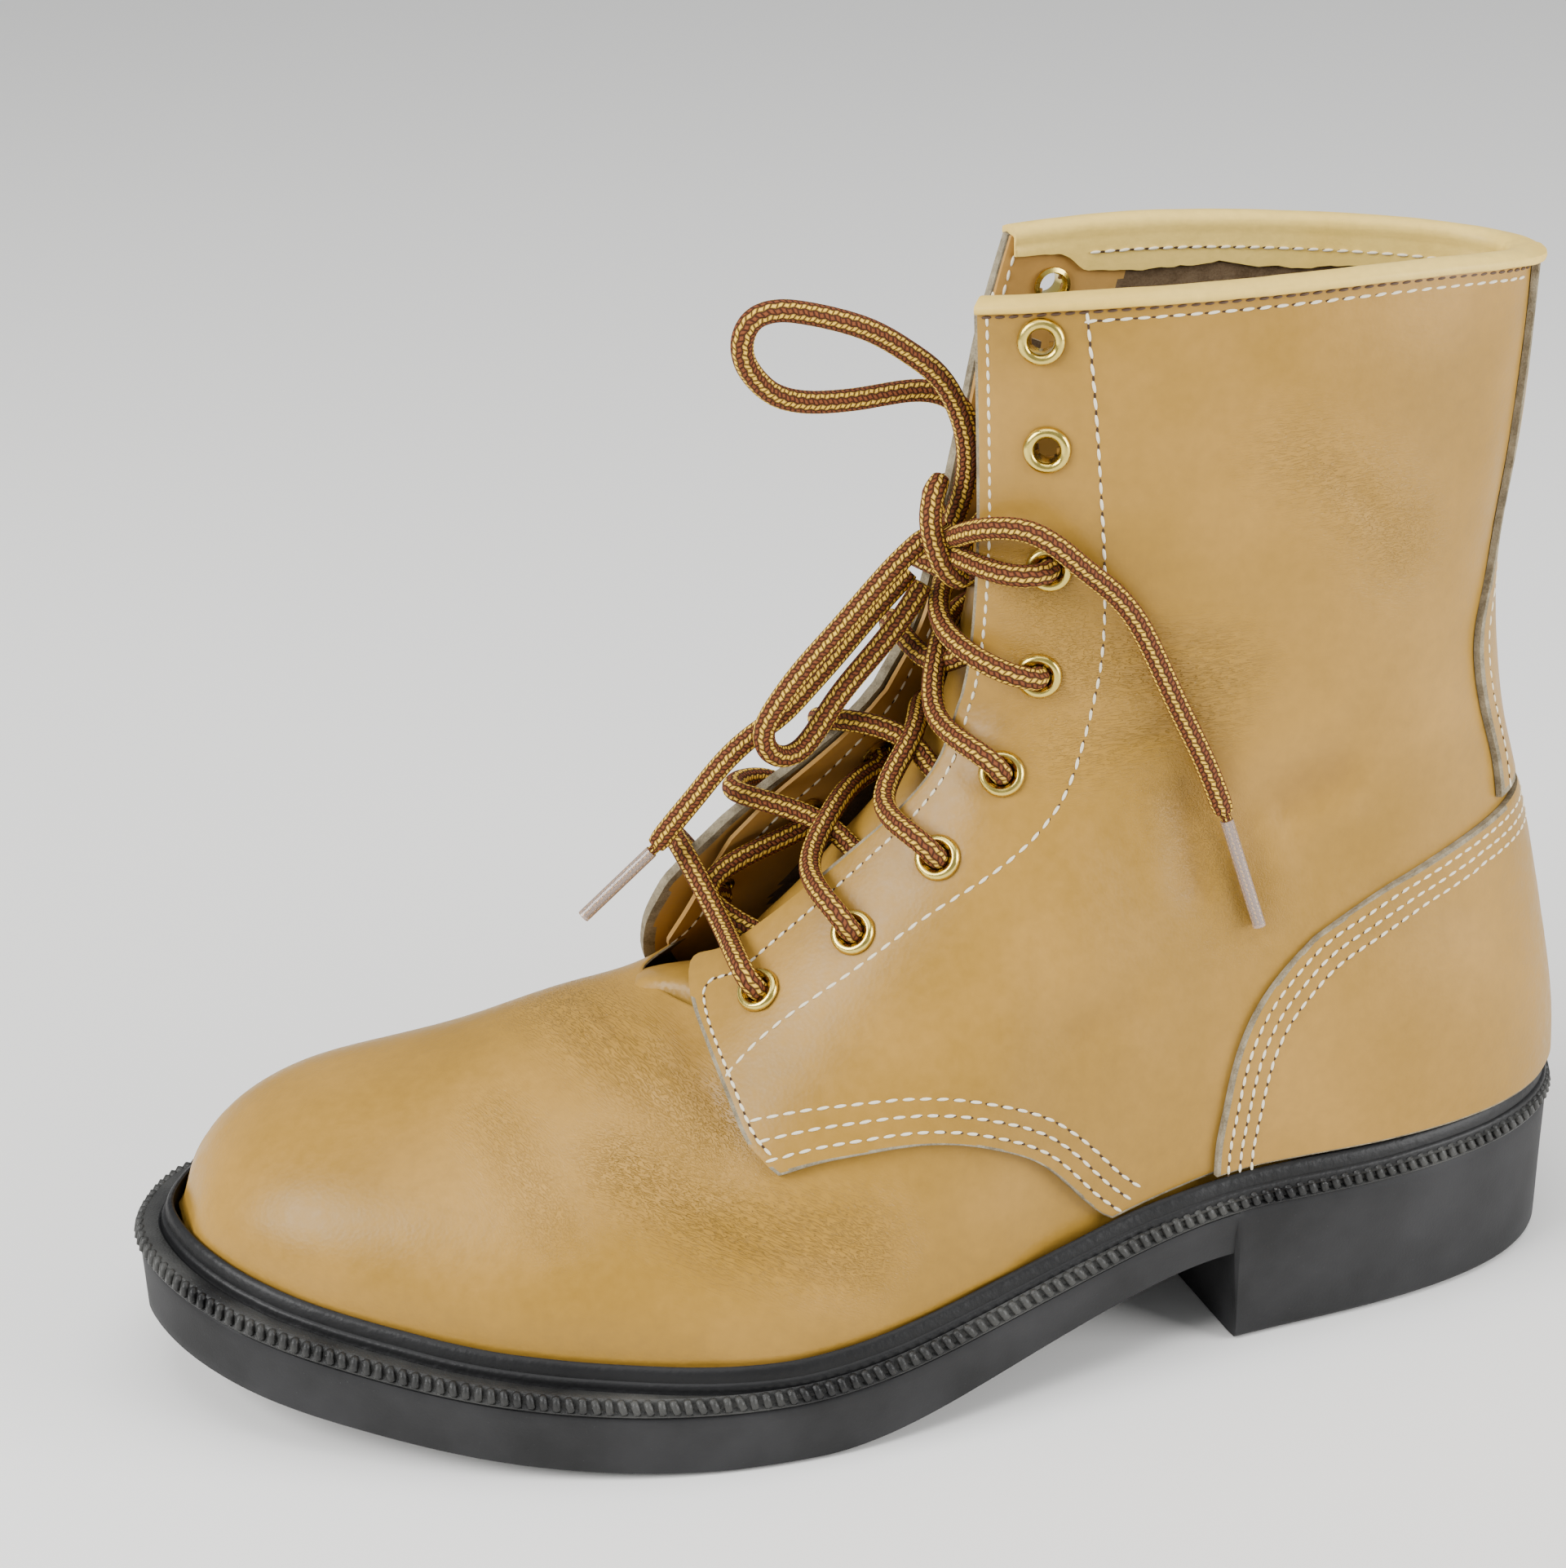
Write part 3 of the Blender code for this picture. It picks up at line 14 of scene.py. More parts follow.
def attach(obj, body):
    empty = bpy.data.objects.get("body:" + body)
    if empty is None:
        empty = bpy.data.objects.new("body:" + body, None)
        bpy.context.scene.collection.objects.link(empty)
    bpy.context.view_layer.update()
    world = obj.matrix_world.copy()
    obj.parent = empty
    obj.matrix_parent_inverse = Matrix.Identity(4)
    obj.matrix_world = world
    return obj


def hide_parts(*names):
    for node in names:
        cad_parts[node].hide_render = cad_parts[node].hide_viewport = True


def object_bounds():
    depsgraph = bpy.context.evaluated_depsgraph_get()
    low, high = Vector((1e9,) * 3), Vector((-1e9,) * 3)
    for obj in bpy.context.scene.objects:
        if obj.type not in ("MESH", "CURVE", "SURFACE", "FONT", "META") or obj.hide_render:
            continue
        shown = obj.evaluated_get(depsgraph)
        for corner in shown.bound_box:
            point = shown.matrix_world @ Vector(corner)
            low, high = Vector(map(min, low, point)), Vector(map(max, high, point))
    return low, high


bl_info = {
    "name": "Work boot",
    "version": (1, 0, 0),
    "blender": (4, 5, 0),
    "location": "3D View > Sidebar > Boot",
    "description": "Leather panels, stitches, laces and sole of one eight-inch work boot",
    "category": "Object",
}

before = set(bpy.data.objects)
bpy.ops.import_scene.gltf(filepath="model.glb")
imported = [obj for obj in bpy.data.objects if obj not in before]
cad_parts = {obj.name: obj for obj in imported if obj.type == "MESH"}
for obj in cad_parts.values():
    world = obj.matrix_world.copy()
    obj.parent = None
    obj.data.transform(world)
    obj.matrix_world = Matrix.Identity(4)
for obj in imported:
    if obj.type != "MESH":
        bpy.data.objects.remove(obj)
CAD_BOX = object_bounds()
MM = 0.001


def linear(code):
    """An sRGB hex colour as linear red, green, blue and alpha."""
    parts = [int(code[i : i + 2], 16) / 255 for i in (0, 2, 4)]
    return (*(c / 12.92 if c <= 0.04045 else ((c + 0.055) / 1.055) ** 2.4 for c in parts), 1.0)


# ---------------------------------------------------------------- driving dimensions
HEEL_BACK = -41.0          # back edge of the heel on the ground
TOE_TIP = 264.8            # front edge of the sole
HEEL_LIFT = 21.0           # underside of the shank at the heel breast
SOLE_EDGE = 14.0           # height of the smooth side wall under the ball
HEEL_EDGE = 32.0           # height of the smooth side wall at the heel
TOE_SPRING = 16.0          # lift of the sole under the toe tip
TREAD_WEAR = 0.15          # the forefoot is worn flat by this much
FLAT_END = 142.0           # the forefoot is flat on the ground up to here
BREAST_OUT, BREAST_IN = 42.0, 53.0   # heel breast on the outer and the inner side
WELT_LIP = 8.2             # its height above the smooth side wall
FOOT_RISE = 7.0            # the foot form stands straight up to this height above the side wall
PANEL_FOOT = 8.6           # the leather panels end this far above the side wall, over the welt's lip
SEAT = 0.9                 # the upper starts this far above the sole's top face
BASE_WALL = 1.6            # vamp and lining
QUARTER = (1.05, 2.4)      # quarters, measured out from the vamp's face
OVERLAY = (2.9, 4.1)       # counter and backstay, measured the same way
# Top edge of the shaft: x, outer z, inner z
COLLAR = (
    (-30.0, 218.8, 218.8),
    (-22.0, 220.6, 219.8),
    (-9.0, 222.6, 220.9),
    (15.0, 223.8, 223.0),
    (43.0, 223.6, 225.0),
    (68.0, 223.4, 225.0),
    (80.0, 222.7, 224.6),
    (88.0, 221.8, 224.0),
)
EYELET_BARREL, EYELET_BORE, EYELET_FLANGE = 2.9, 2.5, 4.7   # radii
EYELET_BACK = BASE_WALL + 0.6      # its barrel ends this far under the form's face
GAP = 0.3                  # left between pieces that meet
SKIRT = 10.0               # the collar binding's inner skirt

# Edge of the sole on the ground: x, outer y, inner y
SOLE_PLAN = (
    (-36.0, 17.0, -17.5),
    (-26.0, 27.2, -28.0),
    (-8.0, 35.8, -35.8),
    (15.0, 41.2, -37.5),
    (42.0, 45.3, -35.5),
    (70.0, 52.0, -33.5),
    (97.0, 58.6, -35.0),
    (122.0, 64.4, -39.5),
    (150.0, 66.6, -44.5),
    (178.0, 63.2, -47.5),
    (202.0, 56.0, -48.5),
    (225.0, 45.0, -47.0),
    (243.0, 34.0, -39.5),
    (256.0, 20.5, -28.0),
    (262.6, 8.0, -14.5),
)

# Foot form, sections across the foot: x, ridge z, fullness
FOOT = (
    (-45.0, 60.0, 2.6),
    (-20.0, 86.0, 2.4),
    (20.0, 120.0, 2.1),
    (60.0, 150.0, 1.9),
    (84.0, 148.0, 1.8),
    (100.0, 132.0, 1.75),
    (118.0, 111.5, 1.75),
    (135.0, 94.0, 1.8),
    (150.0, 80.8, 1.85),
    (170.0, 74.0, 1.95),
    (195.0, 66.8, 2.05),
    (225.0, 62.0, 2.15),
    (262.0, 60.0, 2.2),
)
TOE_ROUND_START, UPPER_TOE = 204.0, 256.3

# Heel and shaft form, level sections: z, back x, front x, outer half, inner half, widest x, squareness
SHAFT = (
    (20.0, -38.4, 108.0, 32.5, 32.0, 16.0, 2.4),
    (50.0, -38.6, 112.0, 33.0, 32.5, 14.0, 2.4),
    (72.0, -35.2, 114.0, 31.5, 31.0, 16.0, 2.4),
    (100.0, -29.4, 113.0, 29.0, 28.5, 20.0, 2.4),
    (121.0, -24.0, 106.0, 28.5, 28.0, 24.0, 2.5),
    (140.0, -21.4, 100.0, 28.5, 28.0, 28.0, 2.6),
    (160.0, -21.2, 97.0, 28.0, 27.5, 30.0, 2.8),
    (180.0, -24.2, 96.0, 27.0, 26.5, 32.0, 3.0),
    (205.0, -26.6, 96.0, 25.5, 25.0, 33.0, 3.3),
    (228.0, -28.1, 96.5, 24.0, 24.0, 34.0, 3.5),
)
BLEND = 9.0                # soft join of foot and shaft

# Front edge of the outer facing, from the throat's base up to the collar: x, z
FACING = (
    (147.6, 80.8),
    (142.0, 85.6),
    (134.6, 91.4),
    (126.5, 98.3),
    (119.0, 104.9),
    (111.5, 111.7),
    (103.0, 119.9),
    (95.5, 129.6),
    (91.0, 142.0),
    (88.7, 158.0),
    (87.7, 176.0),
    (87.6, 199.0),
    (87.8, 222.3),
)
# Front edge of the inner facing, row for row: x, z on the form, then how far the quarter's
# edge and the lining's edge stand up from it where the facing has opened
INNER_FACING = (
    (149.5, 79.0, 18.0, 4.0),
    (144.0, 83.6, 20.5, 11.0),
    (137.0, 89.6, 20.6, 17.0),
    (128.4, 98.0, 19.0, 17.4),
    (121.0, 105.2, 16.6, 15.8),
    (113.4, 112.6, 14.4, 13.9),
    (105.0, 122.2, 13.0, 12.6),
    (97.5, 131.8, 11.6, 11.2),
    (91.2, 148.0, 7.4, 7.1),
    (86.6, 167.0, 2.4, 2.3),
    (82.0, 187.0, 0.2, 0.2),
    (77.6, 206.0, 0.0, 0.0),
    (71.8, 225.0, 0.0, 0.0),
)
OPENED = 26.0              # the opened facing bends up over this width

# Vamp rows, from the feather up to the throat's base: back z, and a point before the row's front end
VAMP_ROWS = (
    (38.0, 268.0, 37.5),
    (45.0, 268.0, 47.0),
    (52.0, 262.0, 60.0),
    (59.0, 250.0, 73.0),
    (66.0, 236.0, 80.0),
    (73.0, 218.0, 84.0),
    (79.0, 202.0, 87.0),
    (85.0, 184.0, 90.0),
    (90.5, 164.0, 83.0),
)
FACING_BACKS = (98, 104, 110, 118, 127, 136, 146, 157, 169, 181, 193, 204.5, 216)

# Front edge of a quarter, from its lower corner up to the facing: x, z, inner x, inner z, inner lift
QUARTER_FRONT = (
    (139.3, 57.0, 139.3, 57.0, 0.0),
    (143.8, 61.2, 146.0, 60.5, 0.0),
    (145.8, 66.8, 150.5, 65.0, 0.5),
    (147.3, 72.4, 153.2, 70.0, 3.5),
    (148.4, 77.4, 153.6, 74.8, 9.5),
)
# Lower edge of a quarter, from the feather line to its front corner: x, z
QUARTER_LOW = (
    (71.2, 36.0),
    (75.5, 40.2),
    (80.0, 45.6),
    (86.0, 51.8),
    (94.0, 56.8),
    (103.0, 59.8),
    (113.0, 60.8),
    (122.0, 60.2),
    (131.0, 59.0),
    (139.0, 57.0),
)
# Front edge of the heel counter, from the feather line to its top corner: back z, x, z
COUNTER_ROWS = (
    (39.0, 47.2, 38.4),
    (48.0, 46.8, 45.0),
    (57.0, 45.2, 53.0),
    (66.0, 43.2, 61.5),
    (76.0, 40.0, 70.0),
    (86.0, 35.5, 77.0),
    (95.5, 30.0, 82.6),
    (104.5, 24.0, 87.4),
)
BACK_RUN = -14.0           # from here the counter's stitches follow its top edge round the back
COUNTER_TOP = ((-31.0, 104.5), (-22.0, 103.6), (-8.0, 100.6), (4.0, 96.4), (14.0, 92.2), (24.0, 87.4))
# Edge of the backstay: z, x
BACKSTAY_ROWS = (
    (105.6, -20.2), (113.0, -19.4), (124.0, -16.4), (136.0, -13.8), (143.0, -13.6), (156.0, -17.4),
    (170.0, -20.6), (187.0, -22.2), (201.0, -24.2), (213.0, -25.4),
)
# How deep the tongue lies under each row of the facings
TONGUE_DEPTH = (10.2, 10.4, 10.6, 10.6, 10.2, 10.0, 10.0, 10.0, 10.0, 10.0, 9.8, 9.0, 8.8)
TONGUE_WALL = 1.8
TONGUE_LOW = (-4.6, -2.8)  # and where it runs on under the vamp
TONGUE_HIDE = 9.0          # it reaches this far under each facing
TONGUE_TOP = 11            # facing row at the tongue's top edge
# How far the tongue's middle swells forward and up, facing row by row
TONGUE_FOLD = (0.0, 0.5, 1.0, 1.5, 2.0, 2.0, 1.6, 1.0, 0.5, 0.0, 0.0, 0.0, 0.0)
PUFF, PUFF_BASE = 3.2, 3.8           # puff of its middle all along, and more at its base
PUFF_AT, PUFF_REACH = 149.0, 10.0    # where the base is fullest, and how far that reaches
PUFF_ENDS, PUFF_FADE = (152.0, 163.5), 9.5   # it ends here on the outer and the inner side
PUFF_WAY = (0.5, 0.0, 0.87)

# Eyelets of the outer facing, top to bottom: x, z
EYELETS = (
    (76.8, 215.2), (75.9, 193.7), (75.6, 169.5), (77.6, 147.0),
    (86.2, 126.9), (99.9, 111.4), (117.3, 96.6), (136.0, 84.0),
)
# Eyelets of the inner facing
INNER_EYELETS = (
    (63.0, 212.6), (68.6, 190.6), (75.0, 168.6), (80.0, 148.6),
    (89.6, 128.6), (104.2, 113.8), (119.6, 100.2), (138.6, 83.2),
)

BAR_EDGE = (89.0, 102.0)   # heights where the bottom bar crosses the outer and the inner facing's edge
# Crossings, from one row of eyelets up to the next: row, heights where its lace passes over and
# under the outer facing's edge and over the inner facing's edge, and the place where its runs meet
CROSSINGS = (
    (8, 89.0, 92.5, 0.0, (142.0, 1.0, 95.2)),
    (7, 104.0, 109.0, 112.5, (118.0, 6.0, 111.5)),
    (6, 118.5, 126.0, 126.5, (100.5, 8.0, 128.5)),
    (5, 136.0, 149.0, 146.0, (94.0, 5.0, 145.0)),
    (4, 154.0, 166.0, 159.0, (88.0, -6.0, 159.5)),
)
# Bow: the route of each cord, and the two ends of each aglet
BOW = {
    "loop_a": (
        (91.2, 6.5, 174.5), (89.6, 7.0, 179.5), (88.4, 7.5, 186.0), (88.8, 8.0, 193.0),
        (90.7, 8.0, 199.5), (94.5, 8.5, 206.0), (100.0, 9.0, 211.0), (107.0, 10.0, 216.0),
        (114.5, 11.0, 219.5), (121.5, 11.0, 221.6), (127.0, 11.0, 222.3), (130.8, 10.5, 220.9),
        (132.9, 10.0, 217.2), (132.6, 9.0, 212.6), (130.3, 8.0, 208.3), (126.5, 7.0, 204.5),
        (121.0, 6.0, 202.2), (115.0, 5.0, 201.3), (108.0, 4.0, 201.1), (101.0, 3.0, 201.3),
        (95.4, 2.5, 200.9), (90.6, 2.5, 199.0), (87.3, 2.5, 194.6), (86.2, 2.5, 188.8),
        (86.3, 2.5, 182.5),
    ),
    "loop_b": (
        (96.6, 7.0, 172.3), (101.0, 7.5, 169.0), (106.5, 8.0, 164.0), (115.0, 8.5, 155.3),
        (123.5, 9.0, 146.7), (129.0, 9.0, 139.6), (131.2, 8.5, 134.3), (130.2, 8.0, 130.3),
        (127.2, 7.0, 128.2), (123.8, 6.0, 128.6), (120.8, 5.5, 131.2), (115.8, 5.0, 138.0),
        (108.5, 4.5, 146.2), (100.5, 4.0, 155.4), (96.6, 3.5, 160.8),
    ),
    "end_c": (
        (92.9, 14.3, 174.2), (90.9, 19.6, 177.0), (87.0, 25.2, 179.3), (82.0, 28.2, 179.2),
        (76.8, 30.0, 176.4), (71.0, 30.3, 171.0), (65.6, 30.4, 166.0), (61.2, 31.2, 160.4),
        (57.5, 32.0, 153.0), (54.4, 32.5, 145.7), (50.9, 33.0, 137.7), (46.6, 33.6, 127.9),
        (43.0, 34.4, 117.7),
    ),
    "end_d": (
        (98.6, 0.0, 162.6), (102.0, 0.5, 159.5), (107.0, 1.5, 155.0), (114.0, 2.3, 147.8),
        (121.5, 3.0, 140.4), (127.0, 3.2, 135.4), (132.2, 3.2, 132.0), (138.2, 3.0, 127.0),
        (144.2, 2.5, 120.0), (150.3, 2.0, 112.8), (153.0, 1.6, 109.3),
    ),
    "knot": (
        (90.9, 12.0, 164.0), (94.2, 13.4, 167.0), (96.6, 13.6, 172.5), (97.2, 12.5, 178.2),
        (95.6, 10.2, 182.8), (94.0, 8.2, 184.3),
    ),
    "aglet_c": ((42.3, 34.9, 115.3), (36.1, 38.0, 93.0)),
    "aglet_d": ((154.5, 1.5, 107.5), (168.6, 0.0, 94.3)),
}


def walk(points):
    """How far along a line of points each of them lies."""
    return np.r_[0, np.cumsum(np.linalg.norm(np.diff(points, axis=0), axis=1))]


def unit(ways):
    return ways / np.linalg.norm(ways, axis=-1, keepdims=True)


def curve_through(rows, column, key=0):
    """Natural cubic spline of one column of a table over its key column, held flat outside."""
    x = np.array([row[key] for row in rows], float)
    y = np.array([row[column] for row in rows], float)
    h = np.diff(x)
    n = len(x)
    a = np.zeros((n, n))
    b = np.zeros(n)
    a[0, 0] = a[-1, -1] = 1.0
    for i in range(1, n - 1):
        a[i, i - 1], a[i, i], a[i, i + 1] = h[i - 1], 2 * (h[i - 1] + h[i]), h[i]
        b[i] = 6 * ((y[i + 1] - y[i]) / h[i] - (y[i] - y[i - 1]) / h[i - 1])
    m = np.linalg.solve(a, b)

    def value(at):
        at = np.clip(np.asarray(at, float), x[0], x[-1])
        i = np.clip(np.searchsorted(x, at) - 1, 0, n - 2)
        left, right = at - x[i], x[i + 1] - at
        return (
            (m[i] * right**3 + m[i + 1] * left**3) / (6 * h[i])
            + (y[i] / h[i] - m[i] * h[i] / 6) * right
            + (y[i + 1] / h[i] - m[i + 1] * h[i] / 6) * left
        )

    return value


def path_through(points, closed=False):
    """Smooth curve through points, as a function of 0..1 along its length."""
    pts = np.array(points, float)
    if closed:
        pts = np.vstack([pts[-3:], pts, pts[:3]])
    step = walk(pts)
    table = np.column_stack([step, pts])
    parts = [curve_through(table, k + 1) for k in range(pts.shape[1])]
    first, last = (step[3], step[-3]) if closed else (step[0], step[-1])
    return lambda t: np.stack([p(first + np.asarray(t) * (last - first)) for p in parts], -1)


def ease(t):
    t = np.clip(t, 0.0, 1.0)
    return t * t * (3 - 2 * t)


def signed_power(v, p):
    return np.sign(v) * np.abs(v) ** p


# ---------------------------------------------------------------- heights and plan of the sole
def toe_lift(x):
    return TOE_SPRING * (np.clip(x - FLAT_END, 0, None) / (TOE_TIP - FLAT_END)) ** 2


def arch(x, start, end):
    """1 at the heel, falling to 0 under the ball."""
    return ease((end - x) / (end - start))


def under_sole(x):
    """Underside in front of the heel breast: shank, flat forefoot and toe spring."""
    return np.maximum(HEEL_LIFT * arch(x, BREAST_OUT, FLAT_END - 4) + toe_lift(x) - TREAD_WEAR, 0.0)


def side_wall_top(x):
    return SOLE_EDGE + (HEEL_EDGE - SOLE_EDGE) * arch(x, BREAST_OUT - 8, FLAT_END) + toe_lift(x)


def plan_loop():
    """Closed edge of the sole from the heel's back round the outer side to the toe and back."""
    outer = [(x, y) for x, y, _ in SOLE_PLAN]
    inner = [(x, y) for x, _, y in reversed(SOLE_PLAN)]
    return path_through([(HEEL_BACK, 0.0)] + outer + [(TOE_TIP, -4.5)] + inner, closed=True)


def inset_loop(loop, distance):
    """Closed plan loop moved inwards by a distance that may change along x."""
    ahead, behind = np.roll(loop, -1, 0), np.roll(loop, 1, 0)
    along = ahead - behind
    along = unit(along)
    inward = np.column_stack([along[:, 1], -along[:, 0]])
    return loop + inward * (distance(loop[:, 0])[:, None])


def step_between(x, stops):
    """Smooth steps between levels: stops are (x, level) pairs."""
    level = np.full_like(np.asarray(x, float), stops[0][1])
    for (x0, a), (x1, b) in zip(stops[:-1], stops[1:]):
        level = level + (b - a) * ease((x - x0) / (x1 - x0))
    return level


def wall_flare(x):
    """The side wall's top edge stands out from the ground edge, most at the heel."""
    return -step_between(x, [(-42, 1.2), (10, 2.4), (70, 1.2), (200, 1.2), (270, 0.3)])


def upper_inset(x):
    """Vamp face, measured in from the top edge of the side wall."""
    return step_between(x, [(20, 7.0), (60, 6.3), (78, 6.3), (96, 4.6), (135, 4.8), (185, 8.2), (270, 8.2)])


def welt_inset(x):
    """Inner face of the welt: clear of counter, quarter and vamp in turn."""
    return step_between(x, [(20, 2.9), (50, 2.9), (66, 3.9), (96, 4.2), (135, 4.4), (185, 7.7), (270, 7.7)])


PLAN = plan_loop()
DENSE = PLAN(np.linspace(0, 1, 721)[:-1])
WALL_TOP = inset_loop(DENSE, wall_flare)
UPPER_PLAN = inset_loop(WALL_TOP, upper_inset)
WELT_PLAN = inset_loop(WALL_TOP, lambda x: welt_inset(x) + GAP + 0.4)


def sides_of(loop):
    """(outer, inner) edge of a closed plan loop as functions of x, and its two ends."""
    back, tip = int(loop[:, 0].argmin()), int(loop[:, 0].argmax())
    outer = loop[back : tip + 1]
    inner = np.vstack([loop[tip:], loop[: back + 1]])[::-1]
    return (
        lambda x: np.interp(x, outer[:, 0], outer[:, 1]),
        lambda x: np.interp(x, inner[:, 0], inner[:, 1]),
        loop[back],
        loop[tip],
    )


# ---------------------------------------------------------------- the upper's own form
FOOT_RIDGE_Z, FOOT_FULL = curve_through(FOOT, 1), curve_through(FOOT, 2)
SHAFT_BACK, SHAFT_FRONT, SHAFT_OUT, SHAFT_IN, SHAFT_WIDE, SHAFT_SQUARE = (
    curve_through(SHAFT, k) for k in range(1, 7)
)
BASE_OUT, BASE_IN, BASE_BACK = sides_of(UPPER_PLAN)[:3]
WITHIN_OUT, WITHIN_IN = sides_of(WELT_PLAN)[:2]
MID_Y = curve_through([(-45, 0), (60, 0), (120, -3), (170, -6), (225, -8), (262, -8)], 1)


def ridge_height(x):
    """Top of the foot form over the ground, rounded down to the feather at the toe."""
    u = np.clip((x - TOE_ROUND_START) / (UPPER_TOE - TOE_ROUND_START), 0, None)
    foot = side_wall_top(x)
    return foot + (FOOT_RIDGE_Z(x) - foot) * signed_power(1 - u**3.3, 0.5)


def foot_width(x, z, side):
    """Half width of the foot form at a height, measured from the boot's middle line."""
    edge = BASE_OUT(x) if side > 0 else -BASE_IN(x)
    reach = np.maximum(edge - side * MID_Y(x), 1.0)
    base = side_wall_top(x) + FOOT_RISE
    top = np.maximum(ridge_height(x), base - 5.0)
    v = np.clip((z - base) / np.maximum(top - base, 0.5), 0, None)
    full = FOOT_FULL(x)
    width = reach * signed_power(1 - v**full, 1 / full)
    beyond = np.clip(x - UPPER_TOE, 0, None) + np.clip(BASE_BACK[0] + 0.5 - x, 0, None)
    return np.where(beyond > 0, -beyond * 3, width)


def shaft_width(x, z, side):
    """Half width of the heel and shaft form."""
    half = SHAFT_OUT(z) if side > 0 else SHAFT_IN(z)
    wide = SHAFT_WIDE(z)
    back = (wide - x) / (wide - SHAFT_BACK(z))
    front = (x - wide) / (SHAFT_FRONT(z) - wide)
    u = np.clip(np.where(x < wide, back, front), 0, None)
    square = np.where(x < wide, 2.1, SHAFT_SQUARE(z))
    return half * signed_power(1 - u**square, 1 / 2.1)


def half_width(x, z, side):
    """Half width of the whole upper: the larger of the two forms, softly joined."""
    a, b = foot_width(x, z, side), shaft_width(x, z, side)
    h = np.clip(BLEND - np.abs(a - b), 0, None) / BLEND
    # near the silhouette the join is kept small, so that ridge and back seam stay where they are
    reach = np.clip(np.maximum(a, b) / 20.0, 0.0, 1.0)
    width = np.maximum(a, b) + h * h * BLEND * 0.25 * reach
    # low down it stays inside the welt's lip
    room = (WITHIN_OUT(x) if side > 0 else -WITHIN_IN(x)) - side * MID_Y(x)
    over_lip = np.clip(z - side_wall_top(x) - WELT_LIP, 0, None)
    return np.minimum(width, room + over_lip)


def on_form(x, z, side):
    """Point of the form's face at (x, z) on one side."""
    width = np.maximum(half_width(x, z, side), 0.0)
    return np.stack([x, MID_Y(x) + side * width, z], -1)


def form_normal(x, z, side):
    """Outward direction of the form's face; level with the side view on the silhouette."""
    x, z = np.asarray(x, float), np.asarray(z, float)
    d = 0.4
    # step off the silhouette, where the slope is endless
    for _ in range(12):
        w = half_width(x, z, side)
        gx = (half_width(x + d, z, side) - half_width(x - d, z, side)) / (2 * d)
        gz = (half_width(x, z + d, side) - half_width(x, z - d, side)) / (2 * d)
        size = np.sqrt(gx**2 + gz**2) + 1e-9
        near = w < 2.5
        x = np.where(near, x + 0.4 * gx / size, x)
        z = np.where(near, z + 0.4 * gz / size, z)
    n = np.stack([-gx, np.ones_like(gx) * side, -gz], -1)
    return n / np.linalg.norm(n, axis=-1, keepdims=True)


def grid_normals(points, side):
    """Outward directions of a grid of points, from its own neighbours."""
    along, up = np.gradient(points, axis=1), np.gradient(points, axis=0)
    n = np.cross(up, along) * side
    return n / np.maximum(np.linalg.norm(n, axis=-1, keepdims=True), 1e-9)


def placed(grid, side, lift=None):
    """Points and normals of a side-view grid; lift raises each row's front end off the form."""
    points = on_form(grid[..., 0], grid[..., 1], side)
    normals = form_normal(grid[..., 0], grid[..., 1], side)
    if lift is None:
        return points, normals
    far = np.linalg.norm(points - points[:, -1:], axis=-1)
    share = np.clip(1 - far / OPENED, 0, None) ** 2 * np.array(lift, float)[:, None]
    raised = points + share[..., None] * np.array(LIFT_WAY)
    bent = grid_normals(raised, side)
    bent *= np.where((bent * normals).sum(-1, keepdims=True) < 0, -1.0, 1.0)
    mix = ease(share / 2.0)[..., None]
    normals = normals * (1 - mix) + bent * mix
    return raised, normals / np.linalg.norm(normals, axis=-1, keepdims=True)


def tongue_sections(count):
    """Middle sheet of the tongue: sections from under the outer facing to under the inner one."""
    rows = []
    for x in (176.0, 166.0, 157.0):
        top = float(ridge_height(x))
        low = sum(TONGUE_LOW) / 2 - 1.4 * (x < 160)
        path = []
        for side, share in ((1, 0.30), (1, 0.14), (1, 0.03), (-1, 0.03), (-1, 0.14), (-1, 0.30)):
            z = top - (top - 40.0) * share
            path.append(on_form(x, z, side) + form_normal(x, z, side) * low)
        middle = (path[2] + path[3]) / 2 + np.array([0.0, 0.0, 0.4])
        rows.append(path[:2] + [middle] + path[4:])
    for k in range(1, TONGUE_TOP + 1):
        path = []
        for side in (1, -1):
            edge = facing_edge(side)
            ahead = edge[min(k + 1, len(edge) - 1)] - edge[k - 1]
            back = np.array([-ahead[1], ahead[0]]) / np.linalg.norm(ahead)
            back *= -1.0 if back[0] > 0 else 1.0
            spots = [edge[k] + back * share * TONGUE_HIDE for share in (1.0, 0.45, 0.0)]
            legs = [on_form(x, z, side) + form_normal(x, z, side) * -TONGUE_DEPTH[k] for x, z in spots]
            path += legs if side > 0 else legs[::-1]
        middle = (path[2] + path[3]) / 2 + np.array([1.0, 0.0, 1.0]) * TONGUE_FOLD[k]
        rows.append(path[:2] + [middle] + path[4:])
    t = np.linspace(0, 1, count)
    return np.array([path_through(row)(t) for row in rows])


def facing_edge(side):
    return np.array(FACING) if side > 0 else np.array(INNER_FACING)[:, :2]


def quarter_front(side):
    """Front edge of a quarter below the facing, one point a row: x, z, lift."""
    edge = (0, 1) if side > 0 else (2, 3)
    t = np.linspace(0, 1, len(VAMP_ROWS))
    return path_through(np.array(QUARTER_FRONT)[:, edge + (4,)])(t)


